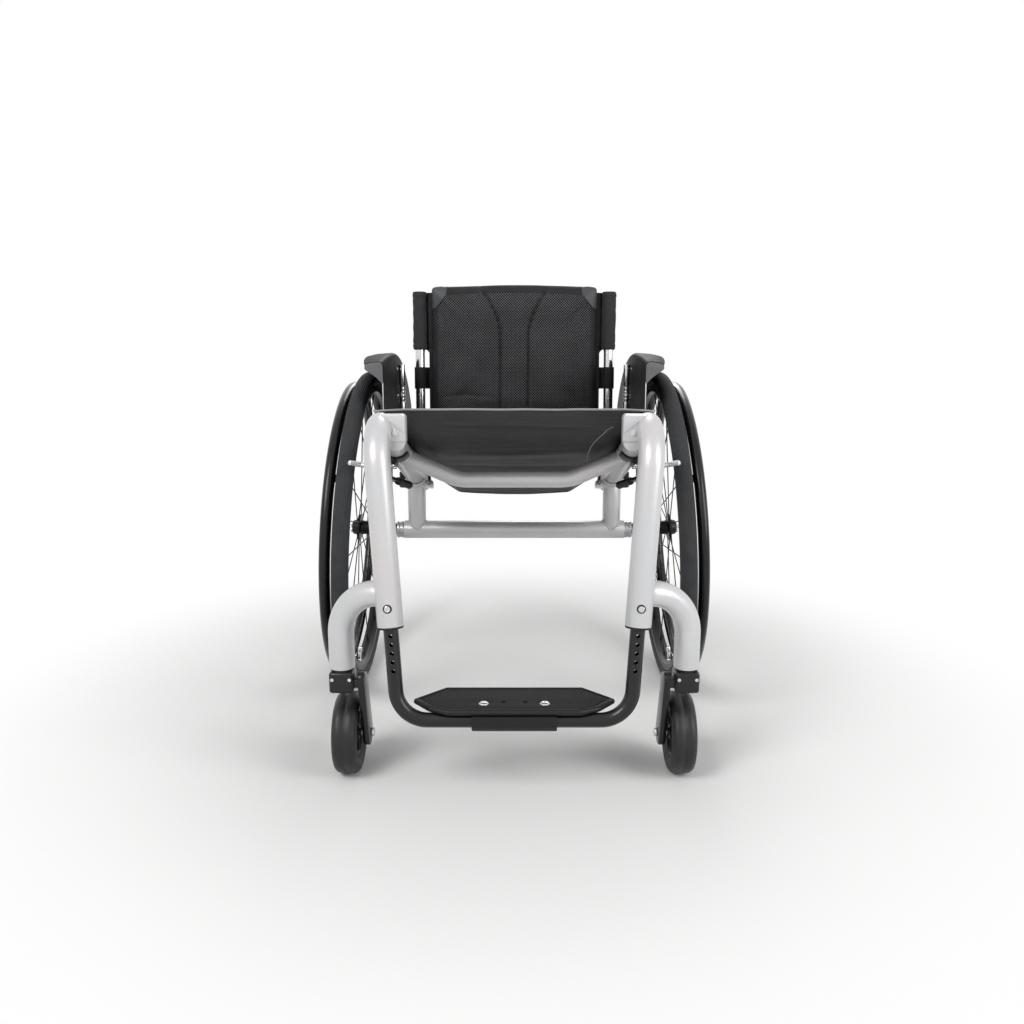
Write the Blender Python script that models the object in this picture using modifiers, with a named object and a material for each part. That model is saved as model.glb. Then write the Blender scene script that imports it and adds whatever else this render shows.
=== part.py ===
# Rigid-frame active wheelchair: bent tube frame, cambered quick-release wheels, fold-down back.
# Metres, +Z up. The sitter faces -Y, so the sitter's left side is +X. The floor is Z = 0.
import math
import bpy
import bmesh
from mathutils import Matrix, Vector

# Clearances
GAP = 0.0003
RUN_GAP = 0.0006
SKIN_GAP = 0.0007

# Rear wheels
CAMBER = math.radians(3.0)
TYRE_RISE = 0.0115
TYRE_SECTION_RADIUS = 0.0145
WHEEL_X = 0.2855
RIM_OUTER_RADIUS = 0.2715
RIM_DEPTH = 0.0145
RIM_WIDTH = 0.022
HANDRIM_INSET = 0.0035
HANDRIM_TUBE_RADIUS = 0.0095
HANDRIM_OFFSET = 0.028
HANDRIM_TABS = 6
TAB_WIDTH = 0.014
TAB_HEIGHT = 0.008
SPOKES = 24
SPOKE_RADIUS = 0.001
SPOKE_SWING = math.radians(22.0)
HUB_INNER_FLANGE = 0.028
HUB_OUTER_FLANGE = 0.025
HUB_INNER_FLANGE_AT = -0.026
HUB_OUTER_FLANGE_AT = 0.012
HUB_FLANGE_THICK = 0.005
HUB_CHAMFER = 0.0015
HUB_BODY_RADIUS = 0.015
HUB_BOSS_RADIUS = 0.0115
HUB_OUTER_END = 0.024
SPOKE_INSET = 0.003
PIN_RADIUS = 0.0062
PIN_DEPTH = 0.095
PIN_HEAD_RADIUS = 0.0105
PIN_HEAD_LENGTH = 0.004
BUTTON_RADIUS = 0.0046
BUTTON_REACH = 0.0055
BUTTON_DEPTH = 0.012
WHEEL_STEPS = 32

# Side tubes: one bent tube a side, from the footrest socket over the knee to the seat's rear
TUBE_RADIUS = 0.019
TUBE_WALL = 0.0025
KNEE_X = 0.199
KNEE_Y = -0.446
SEAT_DUMP = math.radians(20.0)
RAIL_AXLE_X = 0.1865
RAIL_OVER_AXLE = 0.1045
RAIL_END_Y = 0.055
KNEE_RADIUS = 0.065
FRONT_LEAN = math.radians(8.0)
FRONT_TAPER = math.radians(4.2)
FRONT_END_Z = 0.260

# Axle tube, struts and crossbar
AXLE_TUBE_RADIUS = 0.017
AXLE_TUBE_WALL = 0.003
AXLE_TUBE_END_X = 0.211
AXLE_TUBE_DROP = 0.0036
SLEEVE_RADIUS = 0.016
SLEEVE_END_X = 0.2257
SLEEVE_PLUG = 0.026
STRUT_RADIUS = 0.017
SADDLE_WALL = 0.0035
SADDLE_LENGTH = 0.042
SLEEVE_SPLIT = 0.0095
LUG_REACH = 0.0138
LUG_LENGTH = 0.025
LUG_THICK = 0.012
LUG_DROP = 0.017
CROSSBAR_RADIUS = 0.014
CROSSBAR_Y = -0.20
CROSSBAR_OVER_AXLE = 0.131
CROSSBAR_FLAT = 0.095
CROSSBAR_BEND = 0.08
CROSSBAR_SLOPE = math.radians(23.75)

# Knee gussets
GUSSET_INNER_X = 0.158
GUSSET_Y = -0.400
GUSSET_THICK = 0.022
GUSSET_HEIGHT = 0.0395
GUSSET_UNDER_KNEE = 0.0058
GUSSET_CORNER = 0.006
GUSSET_BOSS_RADIUS = 0.0125
GUSSET_BOSS_X = 0.172
GUSSET_BOSS_UNDER_KNEE = 0.0468
GUSSET_BOSS_LENGTH = 0.030
GUSSET_BOSS_SET = 0.003

# Caster arms and casters
CASTER_X = 0.2555
WHEELBASE = 0.409
TRAIL = 0.040
ARM_Z = 0.305
ARM_FALL = 0.008
ARM_ROUND = 0.93
ARM_END_Z = 0.184
STEM_RADIUS = 0.006
STEM_LENGTH = 0.045
SEAL_RADIUS = 0.0165
SEAL_THICK = 0.003
HEAD_WIDTH = 0.036
HEAD_HEIGHT = 0.033
HEAD_BEVEL = 0.005
BRIDGE_DEPTH = 0.020
BRIDGE_HEIGHT = 0.014
BRIDGE_DROP = 0.0205
CASTER_RADIUS = 0.0625
CASTER_WIDTH = 0.0385
CASTER_SHOULDER = 0.011
CASTER_CORE_RADIUS = 0.040
CASTER_CORE_WIDTH = 0.030
CASTER_WEB = 0.0165
CASTER_RIM_WALL = 0.007
CASTER_BOSS_RADIUS = 0.011
CASTER_DRAFT = 0.003
LEG_THICK = 0.0105
LEG_GAP = 0.0035
LEG_TOP_DROP = 0.0155
LEG_TOP_RADIUS = 0.010
LEG_END_RADIUS = 0.020
CASTER_BOLT_RADIUS = 0.004
BOLT_HEAD_RADIUS = 0.0068
BOLT_HEAD_LENGTH = 0.005
BOLT_END_LENGTH = 0.0035

# Footrest
FOOT_TUBE_RADIUS = 0.0108
FOOT_TUBE_Z = 0.125
FOOT_BEND = 0.046
FOOT_INSERT_Z = 0.345
BUSH_LENGTH = 0.045
BUSH_LIP = 0.003
BUSH_LIP_INSET = 0.0005
HEIGHT_HOLES = 5
HEIGHT_HOLE_PITCH = 0.0125
HEIGHT_HOLE_RADIUS = 0.003
HEIGHT_HOLE_TOP_Z = 0.247
PLATE_FRONT_CORNER = 0.0505
PLATE_FRONT_Y = -0.010
PLATE_SHOULDER = 0.0235
PLATE_SHOULDER_Y = 0.004
PLATE_HALF_WIDTH = 0.1445
PLATE_TIP_Y = 0.033
PLATE_TIP_DEPTH = 0.006
PLATE_REAR_CORNER = 0.0415
PLATE_REAR_Y = 0.080
PLATE_THICK = 0.005
PLATE_LIP_RADIUS = 0.0045
CLAMP_HALF_WIDTH = 0.061
CLAMP_WALL = 0.005
CLAMP_TAIL = 0.038
CLAMP_FLANGE = 0.014
SCREW_X = 0.0445
SCREW_Y = 0.021
SCREW_HEAD_RADIUS = 0.0075
SCREW_HEAD_HEIGHT = 0.0025
SPARE_HOLE_X = 0.016
SPARE_HOLE_Y = 0.026
SPARE_HOLE_RADIUS = 0.0035

# Seat sling
SLING_THICK = 0.0022
SLING_FRONT_Y = -0.375
SLING_REAR_Y = 0.012
SLING_FRONT_RISE = 0.0165
SLING_REAR_DROP = 0.029
SLING_PANEL_FRONT = 0.163
SLING_PANEL_REAR = 0.105
SLING_WRAP = math.radians(60.0)
SLING_SAG = 0.004
SLING_ROWS = 9

# Backrest
HINGE_RISE = 0.0415
HINGE_SET = 0.022
RECLINE = math.radians(4.0)
CANE_RADIUS = 0.0095
CANE_LENGTH = 0.330
CANE_FOOT = 0.011
CHEEK_THICK = 0.004
CHEEK_RADIUS = 0.011
HINGE_PLUG_LENGTH = 0.020
HINGE_HEAD_LENGTH = 0.014
HINGE_PIN_RADIUS = 0.0038
HINGE_PIN_PROUD = 0.002
SLEEVE_TOP = 0.334
SLEEVE_BOTTOM = 0.223
SLEEVE_WALL = 0.004
PANEL_THICK = 0.0024
PANEL_SAG = 0.014
PANEL_BOTTOM = 0.095
PANEL_SIDE_GAP = 0.004
PANEL_LAP = 0.010
STRAP_TOP = 0.189
STRAP_BOTTOM = 0.147
STRAP_WALL = 0.0022
STRAP_SET = 0.0095
STRAP_SAG = 0.012
LOW_STRAP_TOP = 0.105
LOW_STRAP_BOTTOM = 0.067
PAD_HALF_WIDTH = 0.159
PAD_BOTTOM = 0.085
PAD_TOP = 0.347
PAD_CORNER_DROP = 0.006
PAD_GAP = 0.0004
PAD_EDGE_DEPTH = 0.015
PAD_CROWN = 0.026
PAD_SEAM_X_TOP = 0.070
PAD_SEAM_X_LOW = 0.027
PAD_SEAM_TURN = 0.095
PAD_SEAM_DEPTH = 0.005
PAD_ROWS = 12

# Side guards
GUARD_X = 0.2215
GUARD_THICK = 0.0022
GUARD_FRONT_Y = -0.175
GUARD_REAR_Y = 0.250
GUARD_TIP_X = 0.269
GUARD_FRONT_TIP_X = 0.252
GUARD_FALL = 0.005
GUARD_CURL = 0.008
GUARD_CREST_GAP = 0.037
GUARD_FRONT_DROP = 0.008
GUARD_BAND = 0.045
GUARD_OVER_RAIL = 0.017
GUARD_ROWS = 11
GUARD_WEB_DROP = 0.038
GUARD_WEB_TIP = 0.0035
POST_GAP = 0.0004
POST_RADIUS = 0.006
POST_Y = 0.036
POST_TOP_Z = 0.606
POST_RING_WALL = 0.0045
POST_RING_LENGTH = 0.014
POST_SOCKET_RADIUS = 0.0092
POST_SOCKET_HEIGHT = 0.030

# Wheel locks, laid out along the rail: stations run rearwards down the rail, heights square to it
LOCK_PIVOT_X = 0.219
LOCK_STATION_Y = -0.2472
LOCK_PIVOT_GAP = 0.030
LOCK_CRANK = 0.017
LOCK_TAIL = 0.0225
LOCK_TAIL_EDGE = 0.0045
LOCK_CLEARANCE = 0.00045
LOCK_REACH = 0.060
LOCK_DOME = 0.003
LOCK_BAR_RADIUS = 0.005
LOCK_ARM_HEIGHT = -0.0365
LOCK_WEB_SET = 0.020
LOCK_WEB_THICK = 0.014
LOCK_PLATE = 0.006
LOCK_LAYER_GAP = 0.0005
LOCK_BRACKET_PLATE = 0.003
LOCK_PIN_RADIUS = 0.003
LOCK_HEAD_RADIUS = 0.0055
LOCK_HEAD_THICK = 0.0025
LOCK_BOSS_RADIUS = 0.0075
LOCK_DRIVE_PIN = 0.0024
LOCK_LEVER_HALF_WIDTH = 0.005
LOCK_BLADE = 0.063
LOCK_HANDLE = 0.105
LOCK_GRIP_RADIUS = 0.0068
LOCK_GRIP_LENGTH = 0.050
LOCK_LEVER_REST = math.radians(20.0)
LOCK_BAR_ENGAGED = math.radians(2.0)

# Derived places, with the rear axle at Y = 0 until CENTRE_Y moves the whole chair
RIM_INNER_RADIUS = RIM_OUTER_RADIUS - RIM_DEPTH
HANDRIM_RADIUS = RIM_OUTER_RADIUS - HANDRIM_INSET
TYRE_MID_RADIUS = RIM_OUTER_RADIUS + TYRE_RISE
TYRE_RADIUS = TYRE_MID_RADIUS + TYRE_SECTION_RADIUS
GUARD_ARCH_RADIUS = TYRE_RADIUS + GUARD_CREST_GAP
WHEEL_Z = TYRE_MID_RADIUS * math.cos(CAMBER) + TYRE_SECTION_RADIUS
AXLE_TUBE_Z = WHEEL_Z - AXLE_TUBE_DROP
CROSSBAR_Z = AXLE_TUBE_Z + CROSSBAR_OVER_AXLE
RAIL_AXLE_Z = AXLE_TUBE_Z + RAIL_OVER_AXLE
GUARD_LOW_Z = RAIL_AXLE_Z + GUARD_OVER_RAIL
CASTER_AXLE_Y = -WHEELBASE
STEER_Y = CASTER_AXLE_Y - TRAIL
KNEE_Z = RAIL_AXLE_Z - KNEE_Y * math.tan(SEAT_DUMP)
GUSSET_TOP_Z = KNEE_Z - GUSSET_UNDER_KNEE
GUSSET_BOTTOM_Z = GUSSET_TOP_Z - GUSSET_HEIGHT
GUSSET_BOSS_Z = KNEE_Z - GUSSET_BOSS_UNDER_KNEE
PLATE_HALF_FRONT = PLATE_HALF_WIDTH - PLATE_FRONT_CORNER
PLATE_HALF_SHOULDER = PLATE_HALF_WIDTH - PLATE_SHOULDER
PLATE_HALF_REAR = PLATE_HALF_WIDTH - PLATE_REAR_CORNER
RAIL_TAPER = (KNEE_X - RAIL_AXLE_X) / -KNEE_Y


def front_tube_point(z):
    """Centre of the sitter's left front tube at this height."""
    drop = KNEE_Z - z
    return Vector((KNEE_X - drop * math.tan(FRONT_TAPER), KNEE_Y - drop * math.tan(FRONT_LEAN), z))


def rail_point(y):
    """Centre of the sitter's left seat rail at this distance behind the axle."""
    return Vector((RAIL_AXLE_X - y * RAIL_TAPER, y, RAIL_AXLE_Z - y * math.tan(SEAT_DUMP)))


FOOT_CORNER = front_tube_point(FOOT_TUBE_Z)
CENTRE_Y = (-FOOT_CORNER.y + FOOT_TUBE_RADIUS + CLAMP_WALL - TYRE_RADIUS) / 2
SHIFT = Matrix.Translation((0, CENTRE_Y, 0))
RAIL_REARWARD = (rail_point(1.0) - rail_point(0.0)).normalized()
RAIL_UP = Vector((0, math.sin(SEAT_DUMP), math.cos(SEAT_DUMP)))
FRONT_DOWN = (front_tube_point(0.0) - front_tube_point(1.0)).normalized()
RAIL_END = rail_point(RAIL_END_Y)
DOWN_RAIL = Vector((0, math.cos(SEAT_DUMP), -math.sin(SEAT_DUMP)))
HINGE = RAIL_END + HINGE_RISE * RAIL_UP + HINGE_SET * DOWN_RAIL
CANE_UP = Vector((0, math.sin(RECLINE), math.cos(RECLINE)))
CANE_FORWARD = Vector((0, -math.cos(RECLINE), math.sin(RECLINE)))
TUBE_BORE = TUBE_RADIUS - TUBE_WALL
POST_X = GUARD_X - GUARD_THICK / 2 - POST_GAP - POST_RADIUS
LOCK_LEVER_HEIGHT = LOCK_ARM_HEIGHT - LOCK_PLATE - LOCK_LAYER_GAP
FRAME_WHITE = (0.72, 0.72, 0.71)
BLACK = (0.015, 0.015, 0.016)
SIDES = (("left", 1), ("right", -1))

for old in list(bpy.data.objects):
    bpy.data.objects.remove(old, do_unlink=True)
PARTS = bpy.data.collections.new("wheelchair")
CUTTERS = bpy.data.collections.new("cutters")
bpy.context.scene.collection.children.link(PARTS)
bpy.context.scene.collection.children.link(CUTTERS)


def paint(obj, colour, roughness, metallic):
    """Give the object its own Principled material."""
    material = bpy.data.materials.new(obj.name)
    material.use_nodes = True
    shader = material.node_tree.nodes["Principled BSDF"]
    shader.inputs["Base Color"].default_value = (*colour, 1.0)
    shader.inputs["Roughness"].default_value = roughness
    shader.inputs["Metallic"].default_value = metallic
    material.diffuse_color = (*colour, 1.0)
    obj.data.materials.clear()
    obj.data.materials.append(material)


def part(obj, name, colour, roughness, metallic, smooth=True):
    """Name a finished piece, colour it and put it with the chair's parts."""
    obj.name = name
    obj.data.name = name
    for collection in list(obj.users_collection):
        collection.objects.unlink(obj)
    PARTS.objects.link(obj)
    obj.hide_render = False
    obj.display_type = "TEXTURED"
    paint(obj, colour, roughness, metallic)
    if smooth:
        obj.data.shade_smooth()
        obj.data.set_sharp_from_angle(angle=math.radians(35))
    return obj


def helper(mesh_or_curve, matrix=None):
    """A shape among the cutters, kept out of the chair until part() names it."""
    obj = bpy.data.objects.new("shape", mesh_or_curve)
    obj.matrix_world = SHIFT @ (matrix or Matrix())
    CUTTERS.objects.link(obj)
    obj.hide_render = True
    obj.display_type = "WIRE"
    return obj


def frame_along(origin, direction, across=None):
    """Matrix whose Z axis is the direction and whose X axis is as near to across as it can be."""
    z = Vector(direction).normalized()
    x = Vector(across) if across else (Vector((0, 1, 0)) if abs(z.y) < 0.9 else Vector((1, 0, 0)))
    x = (x - x.dot(z) * z).normalized()
    rows = Matrix((x, z.cross(x), z)).transposed().to_4x4()
    return Matrix.Translation(origin) @ rows


def upright_plane(x):
    """Frame for an outline that stands fore and aft: its X runs rearwards and its Y up."""
    rows = Matrix((Vector((0, 1, 0)), Vector((0, 0, 1)), Vector((1, 0, 0)))).transposed().to_4x4()
    return Matrix.Translation((x, 0, 0)) @ rows


def facing_plane(side, x, y, z):
    """Frame for an outline that stands across the chair: its X runs outwards and its Y up."""
    rows = Matrix((Vector((side, 0, 0)), Vector((0, 0, 1)), Vector((0, -side, 0)))).transposed().to_4x4()
    return Matrix.Translation(on(side, x, y, z)) @ rows


def inscribed(radius, sides):
    """Distance from a polygon's middle to its flats, which is what fits a round bar inside it."""
    return radius * math.cos(math.pi / sides)


def mesh_of(obj):
    """Turn a curve object, with its caps welded, or a mesh with its modifiers, into a plain mesh."""
    bpy.context.view_layer.update()
    graph = bpy.context.evaluated_depsgraph_get()
    mesh = bpy.data.meshes.new_from_object(obj.evaluated_get(graph))
    shape = bmesh.new()
    shape.from_mesh(mesh)
    bmesh.ops.remove_doubles(shape, verts=shape.verts, dist=1e-6)
    bmesh.ops.recalc_face_normals(shape, faces=shape.faces)
    shape.to_mesh(mesh)
    shape.free()
    made = bpy.data.objects.new("shape", mesh)
    made.matrix_world = obj.matrix_world.copy()
    CUTTERS.objects.link(made)
    made.hide_render = True
    made.display_type = "WIRE"
    bpy.data.objects.remove(obj, do_unlink=True)
    return made


def tube(points, radius, sides=12):
    """A round bar swept along the points, in chair coordinates."""
    curve = bpy.data.curves.new("path", "CURVE")
    curve.dimensions = "3D"
    curve.bevel_depth = radius
    curve.bevel_resolution = (sides - 4) // 2
    curve.use_fill_caps = True
    spline = curve.splines.new("POLY")
    spline.points.add(len(points) - 1)
    for knot, point in zip(spline.points, points):
        knot.co = (*point, 1.0)
    return mesh_of(helper(curve))


def rod(start, end, radius, sides=12, end_radius=None):
    """A cylinder, or a cone, from one point to another."""
    start, end = Vector(start), Vector(end)
    shape = bmesh.new()
    last = radius if end_radius is None else end_radius
    length = (end - start).length
    bmesh.ops.create_cone(shape, cap_ends=True, segments=sides, radius1=radius, radius2=last, depth=length)
    mesh = bpy.data.meshes.new("rod")
    shape.to_mesh(mesh)
    shape.free()
    return helper(mesh, frame_along((start + end) / 2, end - start))


def block(centre, size, matrix=None, bevel=0.0):
    """A box, upright in chair coordinates or in the given frame."""
    shape = bmesh.new()
    bmesh.ops.create_cube(shape, size=1.0)
    bmesh.ops.scale(shape, vec=size, verts=shape.verts)
    bmesh.ops.translate(shape, vec=centre, verts=shape.verts)
    mesh = bpy.data.meshes.new("block")
    shape.to_mesh(mesh)
    shape.free()
    obj = helper(mesh, matrix)
    if bevel:
        rounding = obj.modifiers.new("rounding", "BEVEL")
        rounding.width = bevel
        rounding.segments = 2
    return obj


def plate(outline, thickness, matrix, holes=()):
    """A flat outline in the frame's XY plane, thickened along its Z both ways."""
    curve = bpy.data.curves.new("outline", "CURVE")
    curve.dimensions = "2D"
    curve.fill_mode = "BOTH"
    curve.extrude = thickness / 2
    for loop in (outline, *holes):
        spline = curve.splines.new("POLY")
        spline.points.add(len(loop) - 1)
        for knot, (x, y) in zip(spline.points, loop):
            knot.co = (x, y, 0.0, 1.0)
        spline.use_cyclic_u = True
    return mesh_of(helper(curve, matrix))


def turned(profile, centre, axis, steps, closed=True):
    """A profile of (radius, height) points turned about the axis through the centre."""
    area = sum(a[0] * b[1] - b[0] * a[1] for a, b in zip(profile, profile[1:] + profile[:1]))
    if area > 0:
        profile = profile[::-1]
    mesh = bpy.data.meshes.new("profile")
    edges = [(i, i + 1) for i in range(len(profile) - 1)]
    if closed:
        edges.append((len(profile) - 1, 0))
    mesh.from_pydata([(r, 0, h) for r, h in profile], edges, [])
    obj = helper(mesh, frame_along(centre, axis))
    screw = obj.modifiers.new("turning", "SCREW")
    screw.steps = steps
    screw.render_steps = steps
    screw.use_merge_vertices = True
    screw.merge_threshold = 1e-5
    return obj


def combine(obj, other, operation):
    """Add a Boolean with another shape, which stays among the cutters."""
    change = obj.modifiers.new(operation.lower(), "BOOLEAN")
    change.operation = operation
    change.solver = "EXACT"
    change.object = other
    return obj


def cut(obj, *others):
    for other in others:
        combine(obj, other, "DIFFERENCE")
    return obj


def join(obj, *others):
    for other in others:
        combine(obj, other, "UNION")
    return obj


def arc(centre, radius, start, end, count):
    """Points on a circle, from one angle in degrees to another."""
    angles = [math.radians(start + (end - start) * i / (count - 1)) for i in range(count)]
    return [(centre[0] + radius * math.cos(a), centre[1] + radius * math.sin(a)) for a in angles]


def circle(centre, radius, count):
    return arc(centre, radius, 0, 360 * (count - 1) / count, count)


def rounded(corners, radius, count=8):
    """A path through the corners, each inner corner eased by an arc of this radius."""
    corners = [Vector(c) for c in corners]
    path = [corners[0]]
    for before, corner, after in zip(corners, corners[1:], corners[2:]):
        back = (before - corner).normalized()
        ahead = (after - corner).normalized()
        half = back.angle(ahead) / 2
        centre = corner + (back + ahead).normalized() * radius / math.sin(half)
        first = corner + back * radius / math.tan(half) - centre
        last = corner + ahead * radius / math.tan(half) - centre
        sweep = first.angle(last)
        for i in range(count + 1):
            t = i / count
            mix = (math.sin((1 - t) * sweep) * first + math.sin(t * sweep) * last) / math.sin(sweep)
            path.append(centre + mix)
    path.append(corners[-1])
    return path


def extended(path, reach):
    """The same path, longer at both ends."""
    start = path[0] + (path[0] - path[1]).normalized() * reach
    end = path[-1] + (path[-1] - path[-2]).normalized() * reach
    return [start, *path[1:-1], end]


def mirrored(points, side):
    """Points on the sitter's left, or their mirror images on the right."""
    return [Vector((side * p.x, p.y, p.z)) for p in points]


def on(side, x, y, z):
    return Vector((side * x, y, z))


def pivot(name, place, pieces):
    """An empty on a joint's axis that carries the pieces that turn or slide there."""
    empty = bpy.data.objects.new(name, None)
    empty.empty_display_size = 0.03
    empty.matrix_world = SHIFT @ Matrix.Translation(place)
    PARTS.objects.link(empty)
    for piece in pieces:
        piece.parent = empty
        piece.matrix_parent_inverse = empty.matrix_world.inverted()
    return empty


def side_tube_path():
    """Centre line of the sitter's left side tube, from its lower front end to its rear end."""
    corners = [front_tube_point(FRONT_END_Z), Vector((KNEE_X, KNEE_Y, KNEE_Z)), RAIL_END]
    return rounded(corners, KNEE_RADIUS, 7)


def fat_side_tube(side, clearance):
    """The side tube's outside with a clearance round it, to cope what is welded to it."""
    return tube(extended(mirrored(side_tube_path(), side), 0.02), TUBE_RADIUS + clearance)


def side_tube(name, side):
    path = mirrored(side_tube_path(), side)
    body = tube(path, TUBE_RADIUS)
    cut(body, tube(extended(path, 0.01), TUBE_RADIUS - TUBE_WALL))
    return part(body, f"side_tube_{name}", FRAME_WHITE, 0.3, 0.2)


def crossbar():
    end_x = rail_point(CROSSBAR_Y).x
    rise = (end_x - CROSSBAR_FLAT) * math.tan(CROSSBAR_SLOPE)
    half = [Vector((end_x, CROSSBAR_Y, CROSSBAR_Z + rise)), Vector((CROSSBAR_FLAT, CROSSBAR_Y, CROSSBAR_Z))]
    body = tube(rounded([*half, *mirrored(half[::-1], -1)], CROSSBAR_BEND, 5), CROSSBAR_RADIUS)
    cut(body, fat_side_tube(1, GAP), fat_side_tube(-1, GAP))
    return part(body, "crossbar", FRAME_WHITE, 0.3, 0.2)


def axle_tube_core(radius, reach):
    """A bar along the axle tube, this far past each of its ends."""
    ends = [Vector((-AXLE_TUBE_END_X, 0, AXLE_TUBE_Z)), Vector((AXLE_TUBE_END_X, 0, AXLE_TUBE_Z))]
    return tube(extended(ends, reach), radius, 14)


def axle_tube():
    body = axle_tube_core(AXLE_TUBE_RADIUS, 0)
    cut(body, axle_tube_core(AXLE_TUBE_RADIUS - AXLE_TUBE_WALL, 0.01))
    return part(body, "axle_tube", FRAME_WHITE, 0.3, 0.2)


def wheel_axis(side):
    return Vector((side * math.cos(CAMBER), 0, math.sin(CAMBER)))


def wheel_centre(side):
    return Vector((side * WHEEL_X, 0, WHEEL_Z))


def axle_sleeve(name, side):
    bore = AXLE_TUBE_RADIUS - AXLE_TUBE_WALL
    outer = on(side, SLEEVE_END_X, 0, AXLE_TUBE_Z)
    shoulder = on(side, AXLE_TUBE_END_X + GAP, 0, AXLE_TUBE_Z)
    inner = on(side, AXLE_TUBE_END_X - SLEEVE_PLUG, 0, AXLE_TUBE_Z)
    body = rod(shoulder, outer, SLEEVE_RADIUS)
    join(body, rod(inner, (shoulder + outer) / 2, bore - SKIN_GAP))
    centre, axis = wheel_centre(side), wheel_axis(side)
    cut(body, rod(centre - axis * (PIN_DEPTH + 0.03), centre, PIN_RADIUS + RUN_GAP))
    return part(body, f"axle_sleeve_{name}", (0.8, 0.8, 0.82), 0.25, 1.0)


def rail_frame(side, y):
    """Frame at a rail station: X across the chair, Y rearwards along the rail, Z square to both."""
    rows = Matrix((Vector((1, 0, 0)), DOWN_RAIL, RAIL_UP)).transposed().to_4x4()
    return Matrix.Translation(on(side, *rail_point(y))) @ rows


def under_half(shape, side, y, length):
    """Cut away the half of a sleeve round the rail that would stand above its split line."""
    size = 4 * TUBE_RADIUS
    above = block((0, 0, size / 2 - SLEEVE_SPLIT), (size, length + size, size), rail_frame(side, y))
    return cut(shape, above, fat_side_tube(side, GAP))


def rail_lug(side, clearance, bevel=0.0):
    """Bolt lug of the saddle, on the side that faces the other rail, with a clearance round it."""
    inner = TUBE_RADIUS + LUG_REACH
    size = Vector((inner, LUG_LENGTH, LUG_THICK)) + Vector((2, 2, 2)) * clearance
    return block((-side * inner / 2, 0, -LUG_DROP), size, rail_frame(side, 0), bevel)


def rail_saddle(name, side):
    """Half sleeve welded under the rail at the axle, with the bolt lug that faces the other side."""
    half = SADDLE_LENGTH / 2
    along = on(side, *RAIL_REARWARD)
    centre = on(side, *rail_point(0))
    body = rod(centre - along * half, centre + along * half, TUBE_RADIUS + SADDLE_WALL)
    join(body, rail_lug(side, 0.0, 0.002))
    under_half(body, side, 0, SADDLE_LENGTH)
    return part(body, f"rail_saddle_{name}", (0.55, 0.55, 0.56), 0.4, 0.5)


def strut(name, side):
    along = on(side, *RAIL_REARWARD) * SADDLE_LENGTH
    centre = on(side, *rail_point(0))
    body = rod(on(side, RAIL_AXLE_X, 0, AXLE_TUBE_Z), centre, STRUT_RADIUS)
    cope_top = rod(centre - along, centre + along, TUBE_RADIUS + SADDLE_WALL + GAP)
    cut(body, cope_top, axle_tube_core(AXLE_TUBE_RADIUS + GAP, 0.01), rail_lug(side, GAP))
    return part(body, f"strut_{name}", FRAME_WHITE, 0.3, 0.2)


def knee_gusset(name, side):
    width = KNEE_X - GUSSET_INNER_X
    height = GUSSET_TOP_Z - GUSSET_BOTTOM_Z
    r = GUSSET_CORNER
    outline = [(0, 0), (width, 0), (width, height), *arc((r, height - r), r, 90, 180, 5)]
    body = plate(outline, GUSSET_THICK, facing_plane(side, GUSSET_INNER_X, GUSSET_Y, GUSSET_BOTTOM_Z))
    boss_start = on(side, GUSSET_BOSS_X, GUSSET_Y - GUSSET_THICK / 2 + GUSSET_BOSS_SET, GUSSET_BOSS_Z)
    join(body, rod(boss_start, boss_start + Vector((0, GUSSET_BOSS_LENGTH, 0)), GUSSET_BOSS_RADIUS))
    cut(body, fat_side_tube(side, GAP))
    return part(body, f"knee_gusset_{name}", FRAME_WHITE, 0.3, 0.2)


def caster_arm(name, side):
    corner = Vector((CASTER_X, STEER_Y, ARM_Z - ARM_FALL))
    root = front_tube_point(ARM_Z)
    start = root + (corner - root).normalized() * TUBE_RADIUS / 2
    corners = [start, corner, Vector((CASTER_X, STEER_Y, ARM_END_Z))]
    bend = (corner - start).length * ARM_ROUND
    body = tube(mirrored(rounded(corners, bend, 7), side), TUBE_RADIUS, 14)
    foot = on(side, CASTER_X, STEER_Y, ARM_END_Z)
    room = rod(foot - Vector((0, 0, SEAL_THICK)), foot + Vector((0, 0, STEM_LENGTH)), STEM_RADIUS + RUN_GAP)
    cut(body, fat_side_tube(side, GAP), room)
    return part(body, f"caster_arm_{name}", FRAME_WHITE, 0.3, 0.2)


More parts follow.
